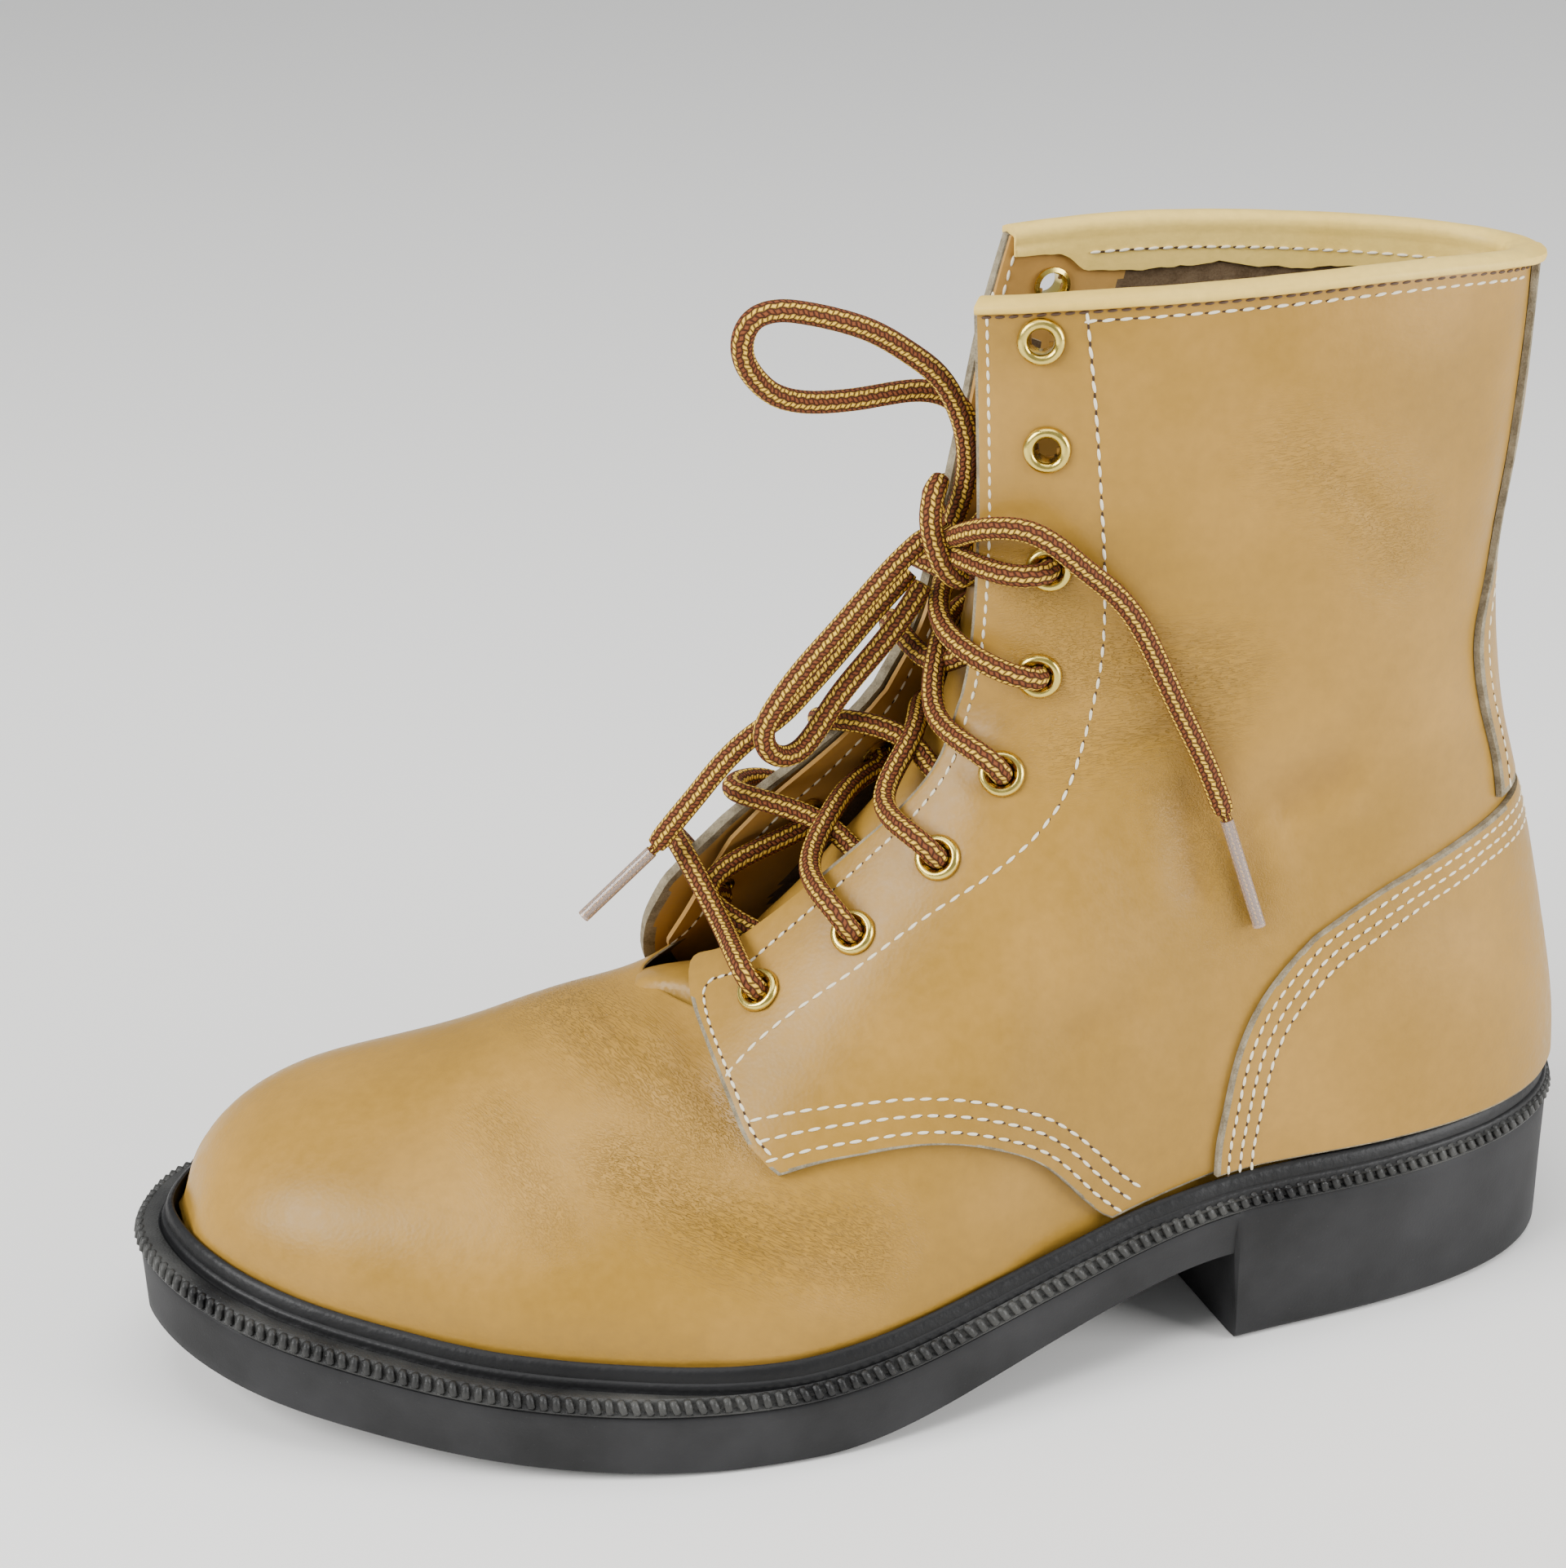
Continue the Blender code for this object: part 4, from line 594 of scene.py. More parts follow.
def edge_at(loop, x, side):
    """Point of a plan loop at a station x of the ground loop, on the outer or inner side."""
    back, tip = int(DENSE[:, 0].argmin()), int(DENSE[:, 0].argmax())
    if side > 0:
        order = np.arange(back, tip + 1)
    else:
        order = np.r_[np.arange(tip, len(DENSE)), np.arange(0, back + 1)][::-1]
    place = np.interp(x, DENSE[order, 0], np.arange(len(order)))
    low = np.minimum(place.astype(int), len(order) - 2)
    f = (place - low)[:, None]
    return loop[order[low]] * (1 - f) + loop[order[low + 1]] * f


def breast_skew(x):
    """The heel breast runs further forward on the inner side."""
    return (BREAST_IN - BREAST_OUT) * np.exp(-(((x - BREAST_OUT) / 24.0) ** 2))


COLLAR_TOP = {1: curve_through(COLLAR, 1), -1: curve_through(COLLAR, 2)}
LIFT_WAY = (0.0, 0.3, 0.95)


# ---------------------------------------------------------------- fine panels over the side view
def spread(n):
    """Fractions from 0 to 1, closer together at both ends."""
    return 0.5 - 0.5 * np.cos(np.pi * np.arange(n + 1) / n)


def edge_spread(n, even=0.5):
    """Fractions from 0 to 1, partly even and partly closer at the ends."""
    return spread(n) * (1 - even) + np.arange(n + 1) / n * even


def silhouettes(inside, outside):
    """Where each line from a point inside the side view to one outside crosses its edge."""
    a, b = np.array(inside, float), np.array(outside, float)
    for _ in range(40):
        middle = (a + b) / 2
        x, z = middle.T
        wide = np.maximum(half_width(x, z, 1), half_width(x, z, -1))
        a = np.where((wide > 0)[:, None], middle, a)
        b = np.where((wide > 0)[:, None], b, middle)
    return a


def back_seam(z):
    """Back seam of the form at several heights, as their x."""
    z = np.asarray(z, float)
    return silhouettes(np.column_stack([z * 0 + 20.0, z]), np.column_stack([z * 0 - 70.0, z]))[:, 0]


SEAM_LEVELS = np.arange(18.0, 232.0, 1.0)
SEAM_BACKS = back_seam(SEAM_LEVELS)


def seam_x(z):
    """Back seam of the form, read from levels a millimetre apart."""
    return np.interp(z, SEAM_LEVELS, SEAM_BACKS)


def fan(backs, fronts, shares, low=None, high=None, start=None):
    """Side-view grid of rows, each from a height on the back seam to its front end.

    shares are fractions of the way along each row. start moves the rows' first points forward.
    """
    backs, fronts = np.asarray(backs, float), np.asarray(fronts, float)
    begin = np.column_stack([back_seam(backs), backs])
    shares = np.broadcast_to(shares, (len(backs), np.shape(shares)[-1]))
    if start is not None:
        first = np.clip((start - begin[:, 0]) / (fronts[:, 0] - begin[:, 0]), 0, 0.97)[:, None]
        shares = first + (1 - first) * shares
    grid = begin[:, None] + (fronts - begin)[:, None] * shares[..., None]
    if low is not None:
        t = np.clip((backs - backs[0]) / (VAMP_ROWS[-1][0] - backs[0]), 0, 1)[:, None]
        grid[:, :, 1] += (low(grid[0, :, 0]) - grid[0, :, 1])[None] * (1 - t) ** 2
    if high is not None:
        t = np.clip((backs - FACING_BACKS[2]) / (backs[-1] - FACING_BACKS[2]), 0, 1)[:, None]
        grid[:, :, 1] += (high(grid[-1, :, 0]) - grid[-1, :, 1])[None] * t**2
    return grid


def smooth_rows(table, count):
    """Rows of a table read at more places, evenly along the line of its second and third column."""
    table = np.array(table, float)
    step = walk(table[:, 1:3])
    at = np.linspace(0, step[-1], count)
    at[1:5] = (0.4, 0.8, 1.3, 2.0)
    keyed = np.column_stack([step, table])
    made = np.column_stack([curve_through(keyed, k + 1)(at) for k in range(table.shape[1])])
    made[:, 0] = np.interp(at, step, table[:, 0])
    made[:, 3:] = np.stack([np.interp(at, step, table[:, k]) for k in range(3, table.shape[1])], -1)
    return made


def steps(values, i, j):
    """Half the change of a grid's values across each place: from row to row and from column to column."""
    return (values[i + 1, j] - values[i - 1, j]) / 2, (values[i, j + 1] - values[i, j - 1]) / 2


class Panel:
    """A leather panel on one side: its side-view grid, its face in space and its outward ways."""

    def __init__(self, grid, side, lift=None, height=0.0):
        self.grid, self.side, self.height = grid, side, height
        self.face, self.out = placed(grid, side, lift)

    def at(self, spots, height=None):
        """Points and outward ways over places (x, z) of the side view."""
        spots = np.asarray(spots, float)
        rows, cols = self.grid.shape[:2]
        near = ((self.grid[None] - spots[:, None, None]) ** 2).sum(-1).reshape(len(spots), -1).argmin(1)
        i, j = np.clip(near // cols, 1, rows - 2), np.clip(near % cols, 1, cols - 2)
        here = self.grid[i, j]
        up, along = steps(self.grid, i, j)
        away = spots - here
        det = up[:, 0] * along[:, 1] - up[:, 1] * along[:, 0]
        a = ((away[:, 0] * along[:, 1] - away[:, 1] * along[:, 0]) / det)[:, None]
        b = ((up[:, 0] * away[:, 1] - up[:, 1] * away[:, 0]) / det)[:, None]
        made = []
        for values in (self.face, self.out):
            up, along = steps(values, i, j)
            made.append(values[i, j] + a * up + b * along)
        point, way = made
        way = unit(way)
        return point + way * (self.height if height is None else height), way

    def below_top(self, depth, behind):
        """Points and outward ways this far down from the top edge, running back to the seam."""
        made = []
        for j in np.flatnonzero(self.grid[-1, :, 0] < behind)[::-1]:
            line = self.face[::-1, j]
            far = walk(line)
            both = np.column_stack([line, self.out[::-1, j]])
            made.append([np.interp(depth, far, both[:, k]) for k in range(6)])
        made = np.array(made)
        return made[:, :3] + made[:, 3:] * self.height, made[:, 3:]


def quarter_rows(side, count):
    """Rows of a quarter: back z, front x, front z, lift."""
    front = quarter_front(side)
    facing = np.array(FACING) if side > 0 else np.array(INNER_FACING)
    first = [side_wall_top(-30.0) + PANEL_FOOT]
    backs = [*first, *[row[0] for row in VAMP_ROWS[1:]], *FACING_BACKS]
    lifts = [*front[:, 2], *(facing[:, 2] if side < 0 else [0.0] * len(facing))]
    table = np.column_stack([backs, np.vstack([front[:, :2], facing[:, :2]]), lifts])
    return smooth_rows(table, count)


def quarter_panel(side, rows=150, cols=112):
    table = quarter_rows(side, rows)
    seam = curve_through(QUARTER_LOW, 1)

    def low(x):
        return np.where(x < QUARTER_LOW[0][0], side_wall_top(x) + PANEL_FOOT, seam(x))

    grid = fan(
        table[:, 0], table[:, 1:3], edge_spread(cols), low=low, high=lambda x: COLLAR_TOP[side](x) - 1.2
    )
    return Panel(grid, side, table[:, 3] if side < 0 else None, QUARTER[1])


def vamp_panels(rows=104, cols=96):
    """The vamp's two sides, from under the quarters to the ridge."""
    toe = np.array([[UPPER_TOE - 0.02, side_wall_top(UPPER_TOE) + SEAT]])
    table = np.array([[side_wall_top(-30.0) + SEAT, 268.0, 30.0], *VAMP_ROWS])
    t = np.linspace(0, len(table) - 1, rows)
    table = np.column_stack([np.interp(t, np.arange(len(table)), table[:, k]) for k in range(3)])
    fronts = silhouettes(np.tile([130.0, 60.0], (rows, 1)), table[:, 1:])
    fronts[0] = toe
    start = 28.0 + 86.0 * ease((table[:, 0] - 44.0) / 40.0)
    shares = edge_spread(cols, 0.45)
    return {
        side: Panel(
            fan(table[:, 0], fronts, shares, low=lambda x: side_wall_top(x) + SEAT, start=start), side
        )
        for side in (1, -1)
    }


def lining_panels(rows=120, cols=90):
    """Inner face of the shaft and instep, both sides."""
    made = {}
    for side in (1, -1):
        facing = np.array(FACING) if side > 0 else np.array(INNER_FACING)
        lifts = facing[:, 3] if side < 0 else facing[:, 0] * 0
        head = [[60.0, 139.3, 57.0, 0.0], [80.0, 147.0, 72.0, 0.0]]
        table = np.vstack([head, np.column_stack([FACING_BACKS, facing[:, :2], lifts])])
        table = smooth_rows(table, rows)
        grid = fan(
            table[:, 0], table[:, 1:3], edge_spread(cols, 0.6), high=lambda x, s=side: COLLAR_TOP[s](x) - 1.2
        )
        made[side] = Panel(grid, side, table[:, 3] if side < 0 else None, -BASE_WALL)
    return made


def counter_panels(rows=70, cols=60):
    top = curve_through(COUNTER_TOP, 1)
    table = smooth_rows([(*row, 0.0) for row in COUNTER_ROWS], rows)
    made = {}
    for side in (1, -1):
        grid = fan(table[:, 0], table[:, 1:3], edge_spread(cols), low=None)
        t = np.linspace(0, 1, rows)[:, None]
        grid[:, :, 1] += (side_wall_top(grid[0, :, 0]) + PANEL_FOOT - grid[0, :, 1])[None] * (1 - t) ** 2
        grid[:, :, 1] += (top(grid[-1, :, 0]) - grid[-1, :, 1])[None] * t**2
        made[side] = Panel(grid, side, None, OVERLAY[1])
    return made


def backstay_panels(rows=90, cols=12):
    z = np.linspace(BACKSTAY_ROWS[0][0], BACKSTAY_ROWS[-1][0] + 5.5, rows)
    edge = curve_through(BACKSTAY_ROWS, 1)
    fronts = np.column_stack([edge(z), z])
    return {side: Panel(fan(z, fronts, edge_spread(cols)), side, None, OVERLAY[1]) for side in (1, -1)}


# ---------------------------------------------------------------- folds and relief
def over_ridge(spots):
    """Points of the form's upper face above places (x, y) of the plan."""
    spots = np.asarray(spots, float)
    made = np.column_stack([spots, spots[:, 0] * 0])
    for side in (1, -1):
        mine = side * (spots[:, 1] - MID_Y(spots[:, 0])) >= (0 if side > 0 else 1e-9)
        x = spots[mine, 0]
        reach = abs(spots[mine, 1] - MID_Y(x))
        low = side_wall_top(x) + 12.0
        levels = low + 2.0 * np.arange(80)[:, None]
        wide = half_width(np.broadcast_to(x, levels.shape), levels, side) >= reach
        high = levels[np.argmin(wide, axis=0), np.arange(len(x))] if len(x) else low
        low = high - 2.0
        for _ in range(20):
            z = (low + high) / 2
            within = half_width(x, z, side) > reach
            low, high = np.where(within, z, low), np.where(within, high, z)
        made[mine, 2] = low
    return made


def distance_to(points, path):
    """Distance of each point from a line of points, and how far along it the nearest place is (0..1)."""
    best = np.full(len(points), np.inf)
    along = np.zeros(len(points))
    steps = np.linalg.norm(np.diff(path, axis=0), axis=1)
    walked = np.r_[0, np.cumsum(steps)]
    for k, (a, b) in enumerate(zip(path[:-1], path[1:])):
        way = b - a
        t = np.clip(((points - a) @ way) / (way @ way), 0, 1)
        far = np.linalg.norm(points - a - t[:, None] * way, axis=1)
        nearer = far < best
        best = np.where(nearer, far, best)
        along = np.where(nearer, (walked[k] + t * steps[k]) / walked[-1], along)
    return best, along


def fold_relief(points, folds):
    """Height of soft troughs and ridges at points of a face. A fold is (path, width, depth)."""
    relief = np.zeros(len(points))
    for path, width, depth in folds:
        path = np.asarray(path, float)
        close = (points > path.min(0) - 4 * width).all(1) & (points < path.max(0) + 4 * width).all(1)
        if not close.any():
            continue
        far, along = distance_to(points[close], path)
        fade = ease(np.minimum(along, 1 - along) / 0.28)
        u = far / width
        relief[close] += -depth * fade * (np.exp(-(u**2)) - 0.42 * np.exp(-((u - 1.7) ** 2) / 0.7))
    return relief


def value_noise(points, size, seed):
    """Smooth noise over space, -1..1, of one grain size."""
    cell = points / size
    low = np.floor(cell).astype(int)
    f = cell - low
    f = f * f * (3 - 2 * f)
    total = 0.0
    for corner in range(8):
        shift = np.array([(corner >> k) & 1 for k in range(3)])
        n = (low + shift).astype(np.int64)
        h = (n[:, 0] * 73856093) ^ (n[:, 1] * 19349663) ^ (n[:, 2] * 83492791) ^ (seed * 2654435761)
        h = ((h ^ (h >> 13)) * 1274126177) & 0x7FFFFFFF
        weight = np.prod(np.where(shift, f, 1 - f), axis=1)
        total = total + weight * (h % 65536 / 32767.5 - 1)
    return total


# ---------------------------------------------------------------- meshes
def new_object(name, points, faces, materials, indices=None, smooth=40.0, fold=None, uv=None):
    """A piece from points in millimetres; indices give each face's material."""
    mesh = bpy.data.meshes.new(name)
    mesh.from_pydata((np.asarray(points) * MM).tolist(), [], [tuple(map(int, f)) for f in faces])
    for finish in materials:
        mesh.materials.append(finish)
    if indices is not None:
        mesh.polygons.foreach_set("material_index", np.asarray(indices, np.int32))
    if fold is not None:
        mesh.attributes.new("fold", "FLOAT", "POINT").data.foreach_set("value", np.asarray(fold, np.float32))
    if uv is not None:
        layer = mesh.uv_layers.new(name="UVMap")
        layer.data.foreach_set("uv", np.asarray(uv, np.float32).ravel())
    mesh.shade_smooth()
    if smooth:
        mesh.set_sharp_from_angle(angle=math.radians(smooth))
    mesh.update()
    obj = bpy.data.objects.new(name, mesh)
    bpy.context.scene.collection.objects.link(obj)
    return obj


def finished(obj, *nodes):
    """The piece rides on the boot and stands for these CAD nodes."""
    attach(obj, "root")
    if nodes:
        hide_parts(*nodes)
    return obj


def grid_quads(rows, cols, side):
    """Faces of one side's grid, outside out."""
    a = (np.arange(rows - 1)[:, None] * cols + np.arange(cols - 1)).ravel()
    quads = np.column_stack([a, a + cols, a + cols + 1, a + 1])
    return quads if side > 0 else quads[:, ::-1]


def wrap(panels, joined_front=0):
    """Both sides of a panel as one sheet, welded down the back seam or along the ridge."""
    rows, cols = panels[1].grid.shape[:2]
    points = np.vstack([panels[s].face.reshape(-1, 3) for s in (1, -1)])
    normals = np.vstack([panels[s].out.reshape(-1, 3) for s in (1, -1)])
    quads = np.vstack([grid_quads(rows, cols, 1), grid_quads(rows, cols, -1) + rows * cols])
    weld = np.arange(2 * rows * cols)
    if joined_front == 0:
        shared = np.arange(rows) * cols
    else:
        shared = np.arange(joined_front) * cols + cols - 1
    weld[shared + rows * cols] = shared
    points[shared, 1] = MID_Y(points[shared, 0])
    normals[shared, 1] = 0.0
    normals[shared] /= np.linalg.norm(normals[shared], axis=1)[:, None]
    return points, normals, weld[quads]


def solid_sheet(name, sheet, low, high, materials, relief=None, holes=(), edge_round=0.25, inner_relief=None,
                split=None, smooth=50.0, raw=(0.0, 0.0), flex=None):
    """Closed leather solid between two offsets of a sheet: grain side, flesh side and cut edge.

    materials are the finishes of face, back and cut edge. holes are (centre, radius).
    split picks another finish for back faces: a function of their middle points. raw is how far
    the cut edge's finish reaches over the face and over the back. flex is each point's wrinkling.
    """
    points, normals, quads = sheet
    middle = points[quads].mean(1)
    keep = np.ones(len(quads), bool)
    for centre, radius in holes:
        keep &= np.linalg.norm(middle - centre, axis=1) > radius
    quads = quads[keep]
    used, quads = np.unique(quads, return_inverse=True)
    quads = quads.reshape(-1, 4)
    points, normals = points[used], normals[used]
    relief = np.zeros(len(points)) if relief is None else relief[used]
    under = np.zeros(len(points)) if inner_relief is None else inner_relief[used]
    n = len(points)
    ends = np.vstack([quads[:, [k, (k + 1) % 4]] for k in range(4)])
    key, back = ends[:, 0] * n + ends[:, 1], ends[:, 1] * n + ends[:, 0]
    rim = ends[~np.isin(key, back)]
    rim = rim[rim[:, 0] != rim[:, 1]]
    on_rim = np.zeros(n, bool)
    on_rim[rim.ravel()] = True
    top = high + relief - np.where(on_rim, edge_round, 0.0)
    bottom = low + under + np.where(on_rim, edge_round * 0.6, 0.0)
    solid = np.vstack([points + normals * top[:, None], points + normals * bottom[:, None]])
    faces = [*quads.tolist(), *(quads[:, ::-1] + n).tolist()]
    rims = np.column_stack([rim[:, 1], rim[:, 0], rim[:, 0] + n, rim[:, 1] + n]).tolist()
    indices = np.r_[np.zeros(len(quads)), np.ones(len(quads)), np.full(len(rims), 2)]
    if split is not None:
        chosen = split(points[quads].mean(1))
        indices[len(quads) : 2 * len(quads)] = np.where(chosen, 3, 1)
    if max(raw) > 0:
        beside_hole = np.zeros(len(rim), bool)
        for centre, radius in holes:
            beside_hole |= np.linalg.norm(points[rim[:, 0]] - centre, axis=1) < radius + 2.5
        ends = points[rim[~beside_hole]]
        spots = np.vstack([ends[:, 0] * (1 - f) + ends[:, 1] * f for f in (0.0, 0.33, 0.67)])
        line = kdtree.KDTree(len(spots))
        for k, spot in enumerate(spots):
            line.insert(spot, k)
        line.balance()
        far = np.array([line.find(spot)[2] for spot in points[quads].mean(1)])
        indices[: len(quads)][far < raw[0]] = 2
        indices[len(quads) : 2 * len(quads)][far < raw[1]] = 2
    # the relief is also kept as the attribute fold, from which the leather's colour paints shade in the
    # troughs
    fold = np.r_[relief, relief * 0]
    made = new_object(name, solid, faces + rims, materials, indices, smooth, fold)
    if flex is not None:
        values = np.vstack([flex[used], flex[used] * 0]).astype(np.float32)
        made.data.attributes.new("flex", "FLOAT_VECTOR", "POINT").data.foreach_set("vector", values.ravel())
    return made


def turned_ring(profile, places, segments):
    """A closed profile (radius, height) turned about each place's axis: points and faces."""
    points, faces = [], []
    count = len(profile)
    radius, height = np.array(profile, float).T
    for centre, axis in places:
        base = len(points)
        across = np.cross(axis, (0.0, 0.0, 1.0))
        across /= np.linalg.norm(across)
        up = np.cross(across, axis)
        for i in range(segments):
            angle = 2 * math.pi * i / segments
            out = across * math.cos(angle) + up * math.sin(angle)
            points += list(centre + out * radius[:, None] + axis * height[:, None])
        for i in range(segments):
            a, b = base + i * count, base + (i + 1) % segments * count
            faces += ring_quads(a, b, count)
    return np.array(points), faces


def volume_out(points, faces):
    """Faces turned so that the closed mesh points outwards."""
    total = 0.0
    points = np.asarray(points)
    for f in faces:
        a = points[f[0]]
        for i in range(1, len(f) - 1):
            total += np.dot(a, np.cross(points[f[i]], points[f[i + 1]]))
    return faces if total > 0 else [tuple(reversed(f)) for f in faces]


def tube(route, radius, sides=16, step=0.55, taper=0.0):
    """Round tube along a smooth route: points, faces, uv (round, along in metres) and its centreline."""
    route = np.array(route, float)
    smooth = path_through(route)
    rough = smooth(np.linspace(0, 1, 400))
    length = np.linalg.norm(np.diff(rough, axis=0), axis=1).sum()
    walked = walk(rough)
    count = max(8, int(length / step) + 2)
    even = np.interp(np.linspace(0, length, count), walked, np.linspace(0, 1, 400))
    line = smooth(even)
    tangent = np.gradient(line, axis=0)
    tangent = unit(tangent)
    across = np.cross(tangent[0], (0.3, 0.2, 0.9))
    across /= np.linalg.norm(across)
    points = []
    angles = 2 * np.pi * np.arange(sides) / sides
    for k, (p, t) in enumerate(zip(line, tangent)):
        across = across - t * (across @ t)
        across /= np.linalg.norm(across)
        up = np.cross(t, across)
        end = min(k, count - 1 - k) * step
        r = radius * (1 - taper * max(0.0, 1 - end / (radius * 1.2)) ** 2)
        points += list(p + (np.cos(angles)[:, None] * across + np.sin(angles)[:, None] * up) * r)
    faces, uv = [], []
    at = np.linspace(0, length, count)
    for i in range(count - 1):
        for j in range(sides):
            k = (j + 1) % sides
            faces.append((i * sides + j, i * sides + k, (i + 1) * sides + k, (i + 1) * sides + j))
            u0, u1 = j / sides, (j + 1) / sides
            v0, v1 = at[i] * MM, at[i + 1] * MM
            uv += [(u0, v0), (u1, v0), (u1, v1), (u0, v1)]
    for ring, order, v in ((0, range(sides - 1, -1, -1), at[0]), (count - 1, range(sides), at[-1])):
        faces.append(tuple(ring * sides + j for j in order))
        uv += [(j / sides, v * MM) for j in order]
    return np.array(points), faces, uv, line


def ring_quads(a, b, size):
    """Faces between two rings of points that start at a and at b."""
    return [(a + j, a + (j + 1) % size, b + (j + 1) % size, b + j) for j in range(size)]


def loft(points, size):
    """Faces over rings of this many points, with both ends closed."""
    last = len(points) - size
    faces = [face for a in range(0, last, size) for face in ring_quads(a, a + size, size)]
    faces += [tuple(reversed(range(size))), tuple(range(last, last + size))]
    return volume_out(points, faces)


def joined(parts):
    """Several meshes as one: points, faces and uv."""
    points, faces, uv, base = [], [], [], 0
    for p, f, u in parts:
        points.append(p)
        faces += [tuple(i + base for i in face) for face in f]
        uv += u
        base += len(p)
    return np.vstack(points), faces, uv


# ---------------------------------------------------------------- what repeats along a line
def add_node(tree, kind, inputs=(), **settings):
    """A node with its settings; inputs are (socket, value or an output to link)."""
    made = tree.nodes.new(kind)
    for name, value in settings.items():
        setattr(made, name, value)
    for socket, value in dict(inputs).items():
        if isinstance(value, bpy.types.NodeSocket):
            tree.links.new(value, made.inputs[socket])
        else:
            made.inputs[socket].default_value = value
    return made


def line_tree(name, piece):
    """Geometry nodes that set one small piece at even steps along lines, square to the face below.

    The lines carry the face's outward way in the attribute "out". The piece is a rounded block
    (welt rib) or a grain of thread (stitch).
    """
    tree = bpy.data.node_groups.new(name, "GeometryNodeTree")
    face = tree.interface
    face.new_socket("Lines", in_out="INPUT", socket_type="NodeSocketGeometry")
    for label in ("Pitch", "Length", "Width", "Height", "Turn", "Uneven"):
        face.new_socket(label, in_out="INPUT", socket_type="NodeSocketFloat")
    face.new_socket("Finish", in_out="INPUT", socket_type="NodeSocketMaterial")
    face.new_socket("Run", in_out="OUTPUT", socket_type="NodeSocketGeometry")
    given = tree.nodes.new("NodeGroupInput")
    curve = add_node(tree, "GeometryNodeMeshToCurve", {"Mesh": given.outputs["Lines"]})
    steps = add_node(
        tree, "GeometryNodeResampleCurve",
        {"Curve": curve.outputs["Curve"], "Length": given.outputs["Pitch"]}, mode="LENGTH",
    )
    out = add_node(tree, "GeometryNodeInputNamedAttribute", {"Name": "out"}, data_type="FLOAT_VECTOR")
    tangent = tree.nodes.new("GeometryNodeInputTangent")
    way = add_node(
        tree, "FunctionNodeAxesToRotation",
        {"Primary Axis": out.outputs["Attribute"], "Secondary Axis": tangent.outputs["Tangent"]},
        primary_axis="Z", secondary_axis="X",
    )
    odd = add_node(
        tree, "FunctionNodeRandomValue", {"Min": (-1.0, -1.0, -1.0), "Max": (1.0, 1.0, 1.0), "Seed": 7},
        data_type="FLOAT_VECTOR",
    )
    part = add_node(tree, "ShaderNodeSeparateXYZ", {"Vector": odd.outputs["Value"]})
    sway = add_node(
        tree, "ShaderNodeMath", {0: part.outputs["X"], 1: given.outputs["Uneven"], 2: given.outputs["Turn"]},
        operation="MULTIPLY_ADD",
    )
    turn = add_node(tree, "ShaderNodeCombineXYZ", {"Z": sway.outputs[0]})
    twist = add_node(tree, "FunctionNodeEulerToRotation", {"Euler": turn.outputs[0]})
    both = add_node(
        tree, "FunctionNodeRotateRotation",
        {"Rotation": way.outputs["Rotation"], "Rotate By": twist.outputs[0]}, rotation_space="LOCAL",
    )
    sized = add_node(
        tree, "ShaderNodeCombineXYZ",
        {"X": given.outputs["Length"], "Y": given.outputs["Width"], "Z": given.outputs["Height"]},
    )
    if piece == "grain":
        body = add_node(tree, "GeometryNodeMeshUVSphere", {"Segments": 8, "Rings": 6, "Radius": 0.5})
        along = add_node(
            tree, "GeometryNodeTransform",
            {"Geometry": body.outputs["Mesh"], "Rotation": (0.0, math.pi / 2, 0.0)},
        ).outputs["Geometry"]
    else:
        body = add_node(tree, "GeometryNodeMeshCube", {"Size": (1.12, 1.12, 1.12)})
        along = add_node(
            tree, "GeometryNodeSubdivisionSurface",
            {"Mesh": body.outputs["Mesh"], "Level": 1, "Edge Crease": 0.45},
        ).outputs["Mesh"]
    small = add_node(tree, "GeometryNodeTransform", {"Geometry": along, "Scale": sized.outputs[0]})
    set_on = add_node(
        tree, "GeometryNodeInstanceOnPoints",
        {"Points": steps.outputs["Curve"], "Instance": small.outputs["Geometry"],
         "Rotation": both.outputs["Rotation"]},
    )
    real = add_node(tree, "GeometryNodeRealizeInstances", {"Geometry": set_on.outputs["Instances"]})
    soft = add_node(tree, "GeometryNodeSetShadeSmooth", {"Geometry": real.outputs["Geometry"]})
    done = add_node(
        tree, "GeometryNodeSetMaterial",
        {"Geometry": soft.outputs["Geometry"], "Material": given.outputs["Finish"]},
    )
    end = tree.nodes.new("NodeGroupOutput")
    tree.links.new(done.outputs["Geometry"], end.inputs["Run"])
    return tree


def later(line, out, begin):
    """A line and its outward ways without its first few millimetres."""
    line, out = np.asarray(line), np.asarray(out)
    walked = walk(line)
    at = np.linspace(begin, walked[-1], len(line))
    return tuple(np.stack([np.interp(at, walked, part[:, k]) for k in range(3)], -1) for part in (line, out))


